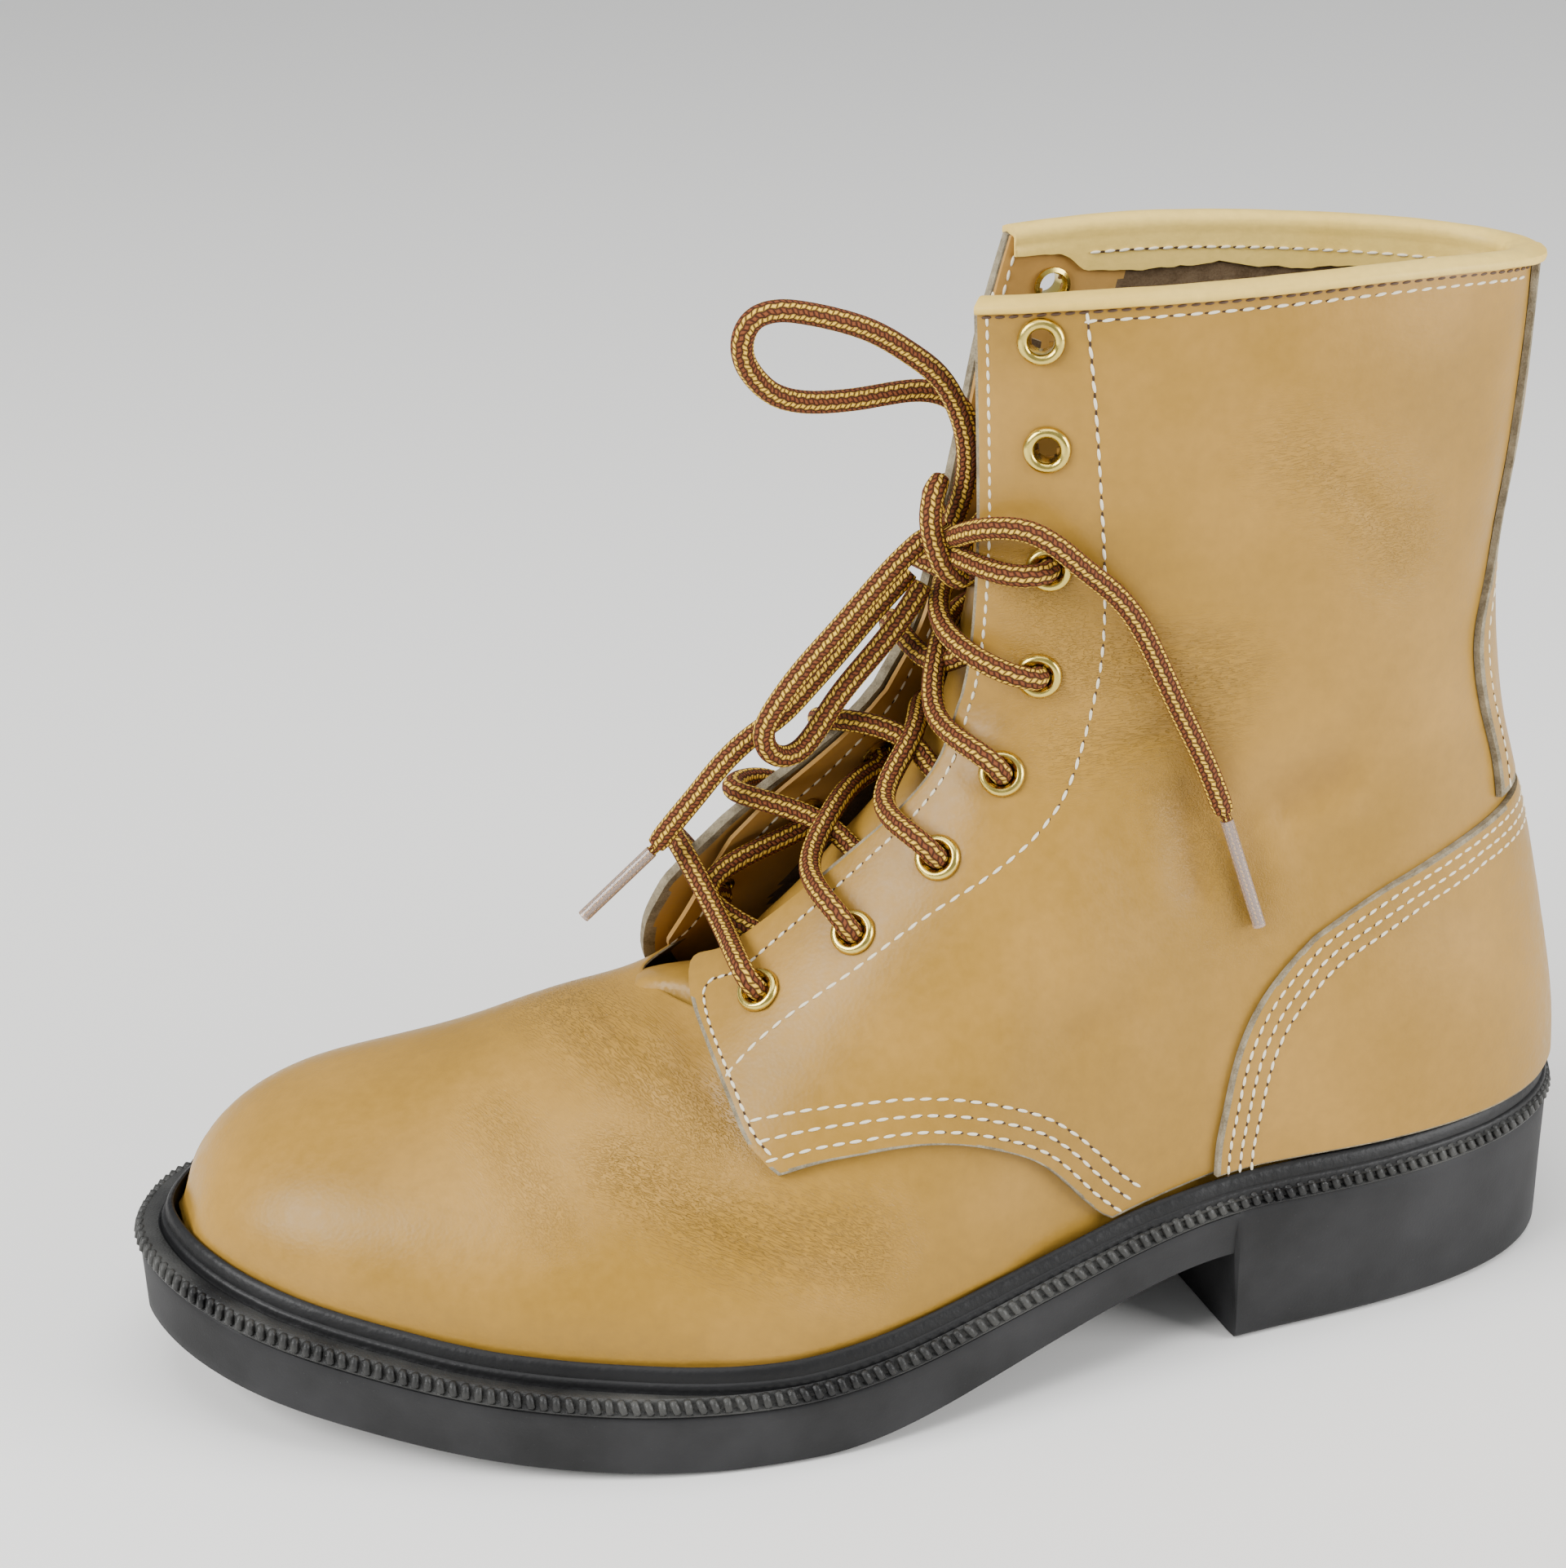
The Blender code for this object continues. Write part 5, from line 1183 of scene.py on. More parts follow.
def run_of(name, lines, tree, finish, pitch, length, width, height, turn=0.0, uneven=0.0, begin=0.0):
    """One plain mesh of small pieces along several lines, each (points, outward ways), in millimetres."""
    mesh = bpy.data.meshes.new(name)
    points, ways, edges = [], [], []
    for line, out in lines:
        if begin:
            line, out = later(line, out, begin)
        base = len(points)
        points += list(np.asarray(line) * MM)
        ways += list(np.asarray(out))
        edges += [(base + i, base + i + 1) for i in range(len(line) - 1)]
    mesh.from_pydata([tuple(p) for p in points], edges, [])
    mesh.attributes.new("out", "FLOAT_VECTOR", "POINT").data.foreach_set(
        "vector", np.array(ways, np.float32).ravel()
    )
    obj = bpy.data.objects.new(name, mesh)
    bpy.context.scene.collection.objects.link(obj)
    modifier = obj.modifiers.new("run", "NODES")
    modifier.node_group = tree
    sockets = {item.name: item.identifier for item in tree.interface.items_tree if item.in_out == "INPUT"}
    given = {"Pitch": pitch, "Length": length, "Width": width, "Height": height}
    for label, value in given.items():
        modifier[sockets[label]] = value * MM
    modifier[sockets["Turn"]] = turn
    modifier[sockets["Uneven"]] = uneven
    modifier[sockets["Finish"]] = finish
    graph = bpy.context.evaluated_depsgraph_get()
    made = bpy.data.meshes.new_from_object(obj.evaluated_get(graph))
    obj.modifiers.clear()
    obj.data = made
    if not made.polygons:
        raise RuntimeError(f"{name} came out empty")
    return obj


# ---------------------------------------------------------------- finishes
def surface(name, colour, rough, **sockets):
    """A material with the values of its shader's own sockets."""
    finish = bpy.data.materials.new(name)
    finish.use_nodes = True
    shader = finish.node_tree.nodes["Principled BSDF"]
    shader.inputs["Base Color"].default_value = colour
    shader.inputs["Roughness"].default_value = rough
    for label, value in sockets.items():
        shader.inputs[label.replace("_", " ")].default_value = value
    finish.diffuse_color = colour
    return finish, finish.node_tree, shader


def bumped(tree, shader, height, depth, strength=1.0, under=None):
    """Relief of one pattern on a shader, depth in millimetres, over another relief."""
    inputs = {"Height": height, "Distance": depth * MM, "Strength": strength}
    if under is not None:
        inputs["Normal"] = under
    bump = add_node(tree, "ShaderNodeBump", inputs)
    tree.links.new(bump.outputs["Normal"], shader.inputs["Normal"])
    return bump.outputs["Normal"]


def noise(tree, place, size, detail=2.0, **sockets):
    """Cloudy pattern with features about this many millimetres across."""
    inputs = {"Vector": place, "Scale": 1 / (size * MM), "Detail": detail, **sockets}
    return add_node(tree, "ShaderNodeTexNoise", inputs).outputs["Fac"]


def ramp(tree, value, low, high, to_low=0.0, to_high=1.0, **settings):
    """A value spread from one range over another."""
    inputs = {"Value": value, "From Min": low, "From Max": high, "To Min": to_low, "To Max": to_high}
    return add_node(tree, "ShaderNodeMapRange", inputs, **settings).outputs["Result"]


def maths(tree, operation, *values):
    return add_node(tree, "ShaderNodeMath", dict(enumerate(values)), operation=operation).outputs[0]


def blend(tree, share, first, second):
    """Two colours mixed."""
    inputs = {"Factor": share, "A": first, "B": second}
    return add_node(tree, "ShaderNodeMix", inputs, data_type="RGBA").outputs["Result"]


def leather(name, colour, pale, dark, rough, grain=0.9, depth=0.05, mottle=38.0):
    """Finished cowhide: fine round grain, cloudy colour, painted shade in its folds and fine wrinkles, a soft
    wax sheen.
    """
    finish, tree, shader = surface(name, colour, rough, Specular_IOR_Level=0.3)
    place = tree.nodes.new("ShaderNodeTexCoord").outputs["Object"]
    cloudy = blend(tree, ramp(tree, noise(tree, place, mottle, 3.0), 0.38, 0.66), colour, pale)
    # painted shade: where the relief kept as the attribute fold sinks into a trough, the colour goes up to a
    # third of the way to dark
    fold = add_node(tree, "ShaderNodeAttribute", attribute_name="fold")
    shaded = blend(tree, ramp(tree, fold.outputs["Fac"], -0.1, -1.1, 0.0, 0.32), cloudy, dark)
    flex = add_node(tree, "ShaderNodeAttribute", attribute_name="flex")
    flex = add_node(tree, "ShaderNodeSeparateXYZ", {"Vector": flex.outputs["Vector"]})
    cuts = []
    for way, axis in zip(WRINKLE_WAYS, "XYZ"):
        turned = add_node(
            tree, "ShaderNodeMapping",
            {"Vector": place, "Rotation": Vector(way).to_track_quat("X", "Z").to_euler(),
             "Scale": (13.0 * MM, 1.7 * MM, 1.7 * MM)},
            vector_type="TEXTURE",
        )
        streak = add_node(
            tree, "ShaderNodeTexNoise", {"Vector": turned.outputs["Vector"], "Detail": 1.5, "Distortion": 0.4}
        )
        groove = ramp(tree, streak.outputs["Fac"], 0.52, 0.42)
        cuts.append(maths(tree, "MULTIPLY", groove, flex.outputs[axis]))
    cut = maths(tree, "MAXIMUM", maths(tree, "MAXIMUM", cuts[0], cuts[1]), cuts[2])
    pore = add_node(tree, "ShaderNodeTexVoronoi", {"Vector": place, "Scale": 1 / (grain * MM)})
    fine = noise(tree, place, grain * 2.6, 4.0)
    # painted shade: the wrinkles' grooves are drawn 3.5 % darker; the fine noise is the hide's own tone
    tone = maths(tree, "MULTIPLY_ADD", cut, -0.035, ramp(tree, fine, 0.3, 0.8, 0.93, 1.05))
    toned = add_node(tree, "ShaderNodeVectorMath", {0: shaded, 1: tone}, operation="MULTIPLY")
    tree.links.new(toned.outputs["Vector"], shader.inputs["Base Color"])
    grainy = bumped(tree, shader, maths(tree, "ADD", pore.outputs["Distance"], fine), depth, 0.6)
    bumped(tree, shader, maths(tree, "SUBTRACT", 1.0, cut), 0.3, 1.0, grainy)
    worn = ramp(tree, fine, 0.3, 0.75, rough - 0.05, rough + 0.09)
    tree.links.new(worn, shader.inputs["Roughness"])
    return finish


def fibrous(name, colour, pale, fibre, depth, rough=0.95):
    """Flesh side or cut edge of a hide: short matted fibres, no shine."""
    finish, tree, shader = surface(name, colour, rough, Specular_IOR_Level=0.2)
    place = tree.nodes.new("ShaderNodeTexCoord").outputs["Object"]
    nap = noise(tree, place, fibre, 5.0, Roughness=0.7)
    tone = ramp(tree, maths(tree, "ADD", nap, noise(tree, place, fibre * 7)), 0.75, 1.25)
    tree.links.new(blend(tree, tone, colour, pale), shader.inputs["Base Color"])
    bumped(tree, shader, nap, depth)
    return finish


def rubber(name, colour, dusty, rough, grit=0.5, depth=0.04, dust=0.5):
    """Moulded rubber: near black, with a grey bloom and fine pits."""
    finish, tree, shader = surface(name, colour, rough, Specular_IOR_Level=0.3)
    place = tree.nodes.new("ShaderNodeTexCoord").outputs["Object"]
    bloom = ramp(tree, noise(tree, place, 24, 5.0), 0.35, 0.7, 0.0, dust)
    pit = noise(tree, place, grit, 3.0)
    grey = maths(tree, "MAXIMUM", bloom, ramp(tree, pit, 0.72, 0.76))
    tree.links.new(blend(tree, grey, colour, dusty), shader.inputs["Base Color"])
    bumped(tree, shader, pit, depth)
    return finish


def braid(name, brown, yellow):
    """Braided polyester lace: twelve columns round the cord, brown and yellow in turn, slanting yarns."""
    finish, tree, shader = surface(name, brown, 0.75, Specular_IOR_Level=0.2)
    uv = add_node(tree, "ShaderNodeSeparateXYZ", {"Vector": tree.nodes.new("ShaderNodeUVMap").outputs["UV"]})
    yarn = maths(tree, "MULTIPLY", uv.outputs["Y"], 1 / (1.05 * MM))
    # the columns' borders sway a little with each yarn
    plain = maths(tree, "MULTIPLY", uv.outputs["X"], 12.0)
    column = maths(tree, "MULTIPLY_ADD", maths(tree, "PINGPONG", yarn, 1.0), 0.3, plain)
    part = maths(tree, "FRACT", column)
    odd = maths(tree, "GREATER_THAN", maths(tree, "MODULO", column, 2.0), 1.0)
    side = ramp(tree, odd, 0.0, 1.0, -0.5, 0.5)
    phase = maths(tree, "FRACT", maths(tree, "MULTIPLY_ADD", part, side, yarn))
    away, aside = (maths(tree, "ABSOLUTE", maths(tree, "SUBTRACT", at, 0.5)) for at in (phase, part))
    edge = maths(tree, "MAXIMUM", away, aside)
    rounded = ramp(tree, edge, 0.2, 0.5, 1.0, 0.0, interpolation_type="SMOOTHSTEP")
    # painted shade: the yarns' borders take a dark brown, standing in for the shade in the grooves between
    # yarns
    yarns = blend(tree, rounded, linear("3A1C0C"), blend(tree, odd, brown, yellow))
    tree.links.new(yarns, shader.inputs["Base Color"])
    bumped(tree, shader, rounded, 0.28)
    return finish


FINISHES = {}


def build_finishes(colours):
    """Every finish of the boot, made once."""
    if FINISHES:
        return
    tan, pale, dark = (tuple(getattr(colours, k)) for k in ("leather", "leather_pale", "leather_fold_shade"))
    # corrected-grain cowhide, golden tan: cloudy colour, painted shade in its folds and a low waxy shine
    FINISHES["leather"] = leather("tan_cowhide", tan, pale, dark, 0.37)
    # the same hide where it is turned in as facing lining, unpolished, its colour painted paler than the
    # grain side to lighten the shade it lies in
    FINISHES["lining"] = leather("lining_hide_painted_paler", linear("A87C38"), linear("B48A48"), dark, 0.6, depth=0.04)
    # soft cream sheepskin of binding and inner band; its third colour is the painted shade of folds
    FINISHES["cream"] = leather(
        "cream_sheepskin", tuple(colours.binding), linear("EBCB6E"), linear("A8812F"), 0.5,
        grain=0.8, depth=0.05,
    )
    # cut edges of chrome-tanned hide: grey, matted
    FINISHES["edge"] = fibrous("grey_cut_edge", linear("6E6450"), linear("A0957C"), 0.45, 0.25)
    # unlined flesh side inside the shaft
    FINISHES["suede"] = fibrous("brown_suede", linear("54432F"), linear("725F48"), 0.6, 0.2)
    # one-piece sole: matt rubber with a grey bloom
    FINISHES["sole"] = rubber("black_sole_rubber", tuple(colours.rubber), linear("38383A"), 0.62, dust=0.5)
    # welt lip: the same rubber from a polished mould
    FINISHES["lip"] = rubber(
        "polished_welt_rubber", linear("0B0B0C"), linear("262627"), 0.46, grit=1.6, depth=0.16, dust=0.3
    )
    # welt ribs: the same rubber, with a paler grey bloom and grey pits
    FINISHES["rib"] = rubber(
        "ribbed_welt_rubber", linear("0F0F10"), linear("6E6E6A"), 0.4, grit=0.5, depth=0.16, dust=0.35
    )
    # rolled brass, lacquered, with a slight haze
    brass, tree, shader = surface("rolled_brass", linear("D6BE62"), 0.18, Metallic=1.0)
    place = tree.nodes.new("ShaderNodeTexCoord").outputs["Object"]
    dulled = ramp(tree, noise(tree, place, 2.2, 3.0), 0.35, 0.7, 0.14, 0.32)
    tree.links.new(dulled, shader.inputs["Roughness"])
    FINISHES["brass"] = brass
    # round lace, brown with yellow tracers
    FINISHES["lace"] = braid("braided_lace", tuple(colours.lace), tuple(colours.tracer))
    # bonded spun thread, off-white
    FINISHES["thread"] = surface("spun_thread", tuple(colours.thread), 0.6, Sheen_Weight=0.3)[0]
    # brown thread through the binding
    FINISHES["dark_thread"] = surface("brown_thread", linear("4A3322"), 0.6)[0]
    # painted shade of the hole left by the needle: a dark grain between the stitches
    FINISHES["hole"] = surface("needle_hole", linear("3B2714"), 0.9)[0]
    # shrunk acetate tip, clear and slightly pink
    FINISHES["tip"] = surface(
        "clear_acetate", linear("F0D8C8"), 0.12, Transmission_Weight=0.75, IOR=1.47, Coat_Weight=0.4
    )[0]
    # leather board of the insole
    FINISHES["board"] = fibrous("leather_board", linear("7A6148"), linear("8E7459"), 1.2, 0.1)


# ---------------------------------------------------------------- sizes and colours to change
class BootSizes(bpy.types.PropertyGroup):
    stitch_pitch: bpy.props.FloatProperty(
        name="Stitch pitch", description="From one stitch to the next, in millimetres",
        default=3.35, min=1.5, max=6.0,
    )
    thread: bpy.props.FloatProperty(
        name="Thread", description="Thickness of the sewing thread, in millimetres",
        default=0.68, min=0.3, max=1.5,
    )
    rib_pitch: bpy.props.FloatProperty(
        name="Rib pitch", description="From one rib of the welt to the next, in millimetres",
        default=2.6, min=1.5, max=6.0,
    )
    lace: bpy.props.FloatProperty(
        name="Lace", description="Diameter of the lace, in millimetres", default=4.5, min=2.5, max=6.0
    )


class BootColours(bpy.types.PropertyGroup):
    leather: bpy.props.FloatVectorProperty(
        name="Leather", description="Grain side of the hide", subtype="COLOR", size=4,
        default=linear("99742B"),
    )
    leather_pale: bpy.props.FloatVectorProperty(
        name="Pale leather", description="Paler clouds in the hide", subtype="COLOR", size=4,
        default=linear("A98138"),
    )
    # painted shade: the colour that the leather is drawn towards in its folds
    leather_fold_shade: bpy.props.FloatVectorProperty(
        name="Leather in folds", description="Colour down in the folds", subtype="COLOR", size=4,
        default=linear("6E4C18"),
    )
    binding: bpy.props.FloatVectorProperty(
        name="Binding", description="Collar binding and inner band", subtype="COLOR", size=4,
        default=linear("E2BE5C"),
    )
    thread: bpy.props.FloatVectorProperty(
        name="Thread colour", description="Contrast stitching", subtype="COLOR", size=4,
        default=linear("E6DCC0"),
    )
    lace: bpy.props.FloatVectorProperty(
        name="Lace brown", description="Ground colour of the lace", subtype="COLOR", size=4,
        default=linear("7C4526"),
    )
    tracer: bpy.props.FloatVectorProperty(
        name="Lace yellow", description="Tracer yarns of the lace", subtype="COLOR", size=4,
        default=linear("EDBE44"),
    )
    rubber: bpy.props.FloatVectorProperty(
        name="Rubber", description="Sole rubber", subtype="COLOR", size=4, default=linear("151516")
    )


class BootPiece:
    """What every step of the boot shares."""

    bl_options = {"REGISTER"}

    def execute(self, context):
        build_finishes(context.scene.boot_colours)
        self.build(context.scene.boot_sizes)
        return {"FINISHED"}


PANELS = {}


def panels():
    """The leather panels, worked out once."""
    if not PANELS:
        PANELS["quarter"] = {side: quarter_panel(side) for side in (1, -1)}
        PANELS["vamp"] = vamp_panels()
        PANELS["lining"] = lining_panels()
        PANELS["counter"] = counter_panels()
        PANELS["backstay"] = backstay_panels()
        PANELS["eyelets"] = {
            side: list(zip(*PANELS["quarter"][side].at(EYELETS if side > 0 else INNER_EYELETS, 0.0)))
            for side in (1, -1)
        }
    return PANELS


# Creases of the vamp over the flex of the toes, as (x, y) places from above: path, width, depth
VAMP_FOLDS = (
    (((156, 2), (153, 14), (152, 26), (149, 37), (144, 47)), 4.2, 0.75),
    (((170, -8), (165, 8), (158, 23), (150, 36)), 2.0, 0.26),
    (((176, -6), (171, 12), (163, 28), (154, 41)), 2.2, 0.30),
    (((182, -10), (180, 7), (177, 21), (172, 31)), 2.6, 0.24),
    (((170, 37), (159, 48), (148, 56), (132, 60), (118, 59)), 2.4, 0.42),
    (((177, 40), (166, 49), (155, 57), (146, 61)), 2.2, 0.34),
    (((160, 42), (150, 50), (138, 56), (124, 58)), 2.0, 0.26),
    (((194, 20), (192, 30), (190, 40)), 2.2, 0.26),
    (((182, 41), (180, 46), (180, 52)), 1.8, 0.22),
    (((152, -16), (151, -28), (147, -40)), 4.0, 0.6),
    (((172, -18), (166, -30), (158, -40)), 2.4, 0.3),
)
# Folds of the quarters: side, path (x, z), width, depth
QUARTER_FOLDS = (
    (1, ((51, 128), (49, 112), (48, 94)), 5.0, 0.9),
    (1, ((41, 122), (38, 107), (37, 93)), 4.2, 0.62),
    (1, ((68, 151), (54, 154), (38, 150)), 2.6, 0.30),
    (1, ((70, 143), (58, 146), (44, 145)), 2.2, 0.22),
    (1, ((71, 131), (59, 133), (45, 139)), 2.6, 0.32),
    (1, ((36, 112), (25, 120), (10, 124)), 6.5, 1.0),
    (1, ((27, 190), (16, 181), (7, 169)), 2.4, 0.20),
    (1, ((83, 75), (71, 80), (57, 81)), 5.0, 0.40),
    (1, ((95, 131), (90, 124), (84, 118)), 2.0, 0.22),
    (-1, ((52, 126), (49, 112), (46, 96)), 5.0, 0.55),
    (-1, ((66, 150), (54, 153), (40, 149)), 2.6, 0.30),
    (-1, ((36, 112), (25, 118), (11, 122)), 6.0, 0.55),
)
# Fine wrinkles: which way they run, the path they follow, how far they reach and how strong they are; their
# grooves are bumped and painted a little darker as shade
WRINKLE_WAYS = ((-0.44, 0.89, -0.12), (-0.84, 0.34, -0.43), (-1.0, 0.0, 0.08))
VAMP_WRINKLES = (
    (0, ((174, -8), (168, 10), (160, 26), (151, 40)), 9.0, 1.0),
    (0, ((192, 22), (188, 34), (184, 44)), 7.0, 0.5),
    (1, ((168, 40), (156, 50), (142, 56), (126, 58)), 9.0, 1.0),
    (0, ((168, -18), (160, -32), (152, -42)), 10.0, 0.8),
)
QUARTER_WRINKLES = (
    (2, ((72, 150), (60, 148), (44, 146)), 9.0, 0.7),
    (2, ((80, 168), (74, 158), (70, 146)), 7.0, 0.5),
    (2, ((72, 132), (60, 134), (46, 138)), 8.0, 0.6),
    (2, ((28, 190), (17, 181), (7, 169)), 9.0, 0.5),
    (0, ((54, 122), (46, 108), (40, 96)), 8.0, 0.4),
)


def wrinkling(points, zones):
    """How strongly fine wrinkles show at each point, for each way that they run."""
    made = np.zeros((len(points), 3))
    for way, path, reach, amount in zones:
        far, _ = distance_to(points, path)
        made[:, way] = np.maximum(made[:, way], amount * np.exp(-((far / reach) ** 2)))
    return made


def undulation(points, amount, size, seed):
    """Gentle unevenness of a worn hide."""
    return amount * (value_noise(points, size, seed) + 0.5 * value_noise(points, size * 0.47, seed + 5))


class BOOT_OT_sole(BootPiece, bpy.types.Operator):
    """One-piece rubber sole and heel"""

    bl_idname = "boot.sole"
    bl_label = "Sole"

    def build(self, sizes):
        count = 240
        stations = HEEL_BACK + 0.12 + (TOE_TIP - HEEL_BACK - 0.24) * spread(count)
        stations = [x for x in stations if abs(x - BREAST_OUT) > 1.0]
        stations = np.array(sorted(stations + [BREAST_OUT - 0.35, BREAST_OUT + 0.35]))
        heel = stations < BREAST_OUT
        inner_x = stations + breast_skew(stations)
        ground = edge_at(DENSE, stations, 1), edge_at(DENSE, inner_x, -1)
        top = edge_at(WALL_TOP, stations, 1), edge_at(WALL_TOP, inner_x, -1)
        # share of the way up the wall, and how far the wall is drawn in there
        wall = (
            (0.0, 1.1), (0.012, 0.45), (0.04, 0.0), (0.2, 0.0), (0.4, 0.1), (0.6, 0.1), (0.8, 0.0),
            (0.93, 0.0), (0.975, 0.3), (1.0, 0.9),
        )
        points = []
        for i, x in enumerate(stations):
            floor = (lambda at: 0.0 * at) if heel[i] else under_sole
            ring = []
            for f in np.linspace(0.04, 0.96, 13):
                p = ground[0][i] * (1 - f) + ground[1][i] * f
                ring.append((p[0], p[1], float(floor(p[0]))))
            for side, rows in ((1, wall), (0, wall[::-1])):
                a, b = ground[side][i], top[side][i]
                inward = -1.0 if side == 0 else 1.0
                for f, pull in rows:
                    p = a * (1 - f) + b * f
                    z0, z1 = float(floor(p[0])), float(side_wall_top(p[0]))
                    ring.append((p[0], p[1] + inward * pull, z0 + (z1 - z0) * f))
                if side == 1:
                    for f in (0.8, 0.5, 0.2):
                        p = top[0][i] * (1 - f) + top[1][i] * f
                        ring.append((p[0], p[1], float(side_wall_top(p[0]))))
            points += ring
        faces = loft(points, len(points) // len(stations))
        finished(new_object("sole_unit", points, faces, [FINISHES["sole"]], smooth=38), "outsole")


class BOOT_OT_welt(BootPiece, bpy.types.Operator):
    """Storm welt: ribbed bead, groove and polished lip"""

    bl_idname = "boot.welt"
    bl_label = "Welt"

    def build(self, sizes):
        # distance in from the side wall, height, share of the way to the upper, and 1 on the lip
        profile = (
            (0.4, 0.2, 0.0, 0), (-0.35, 0.5, 0.0, 0), (-0.55, 0.95, 0.0, 0), (-0.1, 1.3, 0.0, 0),
            (0.35, 1.6, 0.0, 0), (0.5, 2.6, 0.0, 0), (0.75, 3.5, 0.0, 0), (1.3, 3.9, 0.0, 0),
            (-3.5, 3.5, 1.0, 1), (-3.0, 3.2, 1.0, 1), (-2.7, 3.9, 1.0, 1), (-2.75, 4.6, 1.0, 1),
            (-2.45, 5.1, 1.0, 1), (-2.0, 5.3, 1.0, 1), (-1.85, 6.2, 1.0, 1), (-1.5, 7.3, 1.0, 1),
            (-1.0, 7.95, 1.0, 1), (-0.4, 8.15, 1.0, 1), (0.0, 7.9, 1.0, 1), (0.0, 0.3, 1.0, 1),
        )
        rails = [
            inset_loop(WALL_TOP, lambda x, d=d, w=w: d + w * welt_inset(x)) for d, _, w, _ in profile
        ]
        count, ring = len(WALL_TOP), len(profile)
        base = side_wall_top(WALL_TOP[:, 0])
        points = np.stack([np.column_stack([rail, base + row[1]]) for rail, row in zip(rails, profile)], 1)
        points = points.reshape(-1, 3)
        points[:, 2] += 0.12 * value_noise(points, 9.0, 3) * (np.tile([row[3] for row in profile], count))
        faces, indices = [], []
        for i in range(count):
            faces += ring_quads(i * ring, (i + 1) % count * ring, ring)
            indices += [0 if row[3] else 1 for row in profile]
        faces = volume_out(points, faces)
        finished(
            new_object("storm_welt", points, faces, [FINISHES["lip"], FINISHES["rib"]], indices, 45), "welt"
        )
        rail = inset_loop(WALL_TOP, lambda x: 0.25 + 0 * x)
        line = np.column_stack([rail, base + 2.55])
        behind, ahead = np.roll(line, 1, 0), np.roll(line, -1, 0)
        along = ahead - behind
        out = np.cross(along, (0.0, 0.0, 1.0))
        out *= np.where((out[:, :2] * (line[:, :2] - line[:, :2].mean(0))).sum(1) < 0, -1.0, 1.0)[:, None]
        out = out / np.linalg.norm(out, axis=1)[:, None] + (0, 0, 0.35)
        tree = line_tree("ribs along a line", "block")
        ribs = run_of(
            "welt_ribs", [(np.vstack([line, line[:1]]), np.vstack([out, out[:1]]))], tree, FINISHES["rib"],
            sizes.rib_pitch, sizes.rib_pitch * 0.58, 3.1, 1.9, turn=0.3, uneven=0.16,
        )
        finished(ribs)


class BOOT_OT_vamp(BootPiece, bpy.types.Operator):
    """Plain-toe vamp, creased over the flex"""

    bl_idname = "boot.vamp"
    bl_label = "Vamp"

    def build(self, sizes):
        parts = panels()["vamp"]
        sheet = wrap(parts, joined_front=len(parts[1].grid))
        folds = [(over_ridge(fine_line(path, 2.0)), width, depth) for path, width, depth in VAMP_FOLDS]
        relief = fold_relief(sheet[0], folds) + undulation(sheet[0], 0.12, 16.0, 1)
        zones = [
            (way, over_ridge(fine_line(path, 4.0)), reach, amount)
            for way, path, reach, amount in VAMP_WRINKLES
        ]
        finished(
            solid_sheet(
                "vamp", sheet, -0.9, 0.0, [FINISHES["leather"], FINISHES["suede"], FINISHES["edge"]], relief,
                flex=wrinkling(sheet[0], zones),
            ),
            "upper",
        )


class BOOT_OT_lining(BootPiece, bpy.types.Operator):
    """Lining of shaft and facings"""

    bl_idname = "boot.lining"
    bl_label = "Lining"

    def build(self, sizes):
        parts = panels()["lining"]
        fronts = {s: parts[s].face[:, -1] for s in (1, -1)}

        def suede(middle):
            """Bare flesh side behind the facings' lining."""
            side = np.where(middle[:, 1] > MID_Y(middle[:, 0]), 1, -1)
            far = np.zeros(len(middle))
            for s in (1, -1):
                line = fronts[s][np.searchsorted(fronts[s][:, 2], middle[:, 2]).clip(0, len(fronts[s]) - 1)]
                far = np.where(side == s, np.linalg.norm(middle - line, axis=1), far)
            return far > 27.0

        holes = [(place + way * -BASE_WALL, 2.9) for s in (1, -1) for place, way in panels()["eyelets"][s]]
        sheet = wrap(parts)
        # its inner face and cut edge take the lining finish, painted paler to lighten the shade there
        lining = solid_sheet(
            "shaft_lining", sheet, -BASE_WALL, -0.35,
            [FINISHES["leather"], FINISHES["lining"], FINISHES["lining"], FINISHES["suede"]],
            holes=holes, split=suede, inner_relief=undulation(sheet[0], 0.15, 14.0, 9),
        )
        finished(lining, "upper")


class BOOT_OT_quarters(BootPiece, bpy.types.Operator):
    """Quarters with their facings"""

    bl_idname = "boot.quarters"
    bl_label = "Quarters"

    def build(self, sizes):
        for side, word in ((1, "outer"), (-1, "inner")):
            panel = panels()["quarter"][side]
            points = panel.face.reshape(-1, 3)
            folds = [
                (panel.at(fine_line(path, 2.0), 0.0)[0], width, depth)
                for s, path, width, depth in QUARTER_FOLDS if s == side
            ]
            zones = [
                (way, panel.at(fine_line(path, 4.0), 0.0)[0], reach, amount)
                for way, path, reach, amount in QUARTER_WRINKLES
            ]
            relief = fold_relief(points, folds) + undulation(points, 0.14, 19.0, 2)
            holes = [(place, 3.2) for place, _ in panels()["eyelets"][side]]
            sheet = points, panel.out.reshape(-1, 3), grid_quads(*panel.grid.shape[:2], side)
            # its back takes the lining finish, painted paler to lighten the shade there
            made = solid_sheet(
                f"quarter_{word}_leather", sheet, 0.1, QUARTER[1],
                [FINISHES["leather"], FINISHES["lining"], FINISHES["edge"]], relief, holes,
                raw=(0.55, 2.3), flex=wrinkling(points, zones),
            )
            finished(made, f"quarter_{word}")


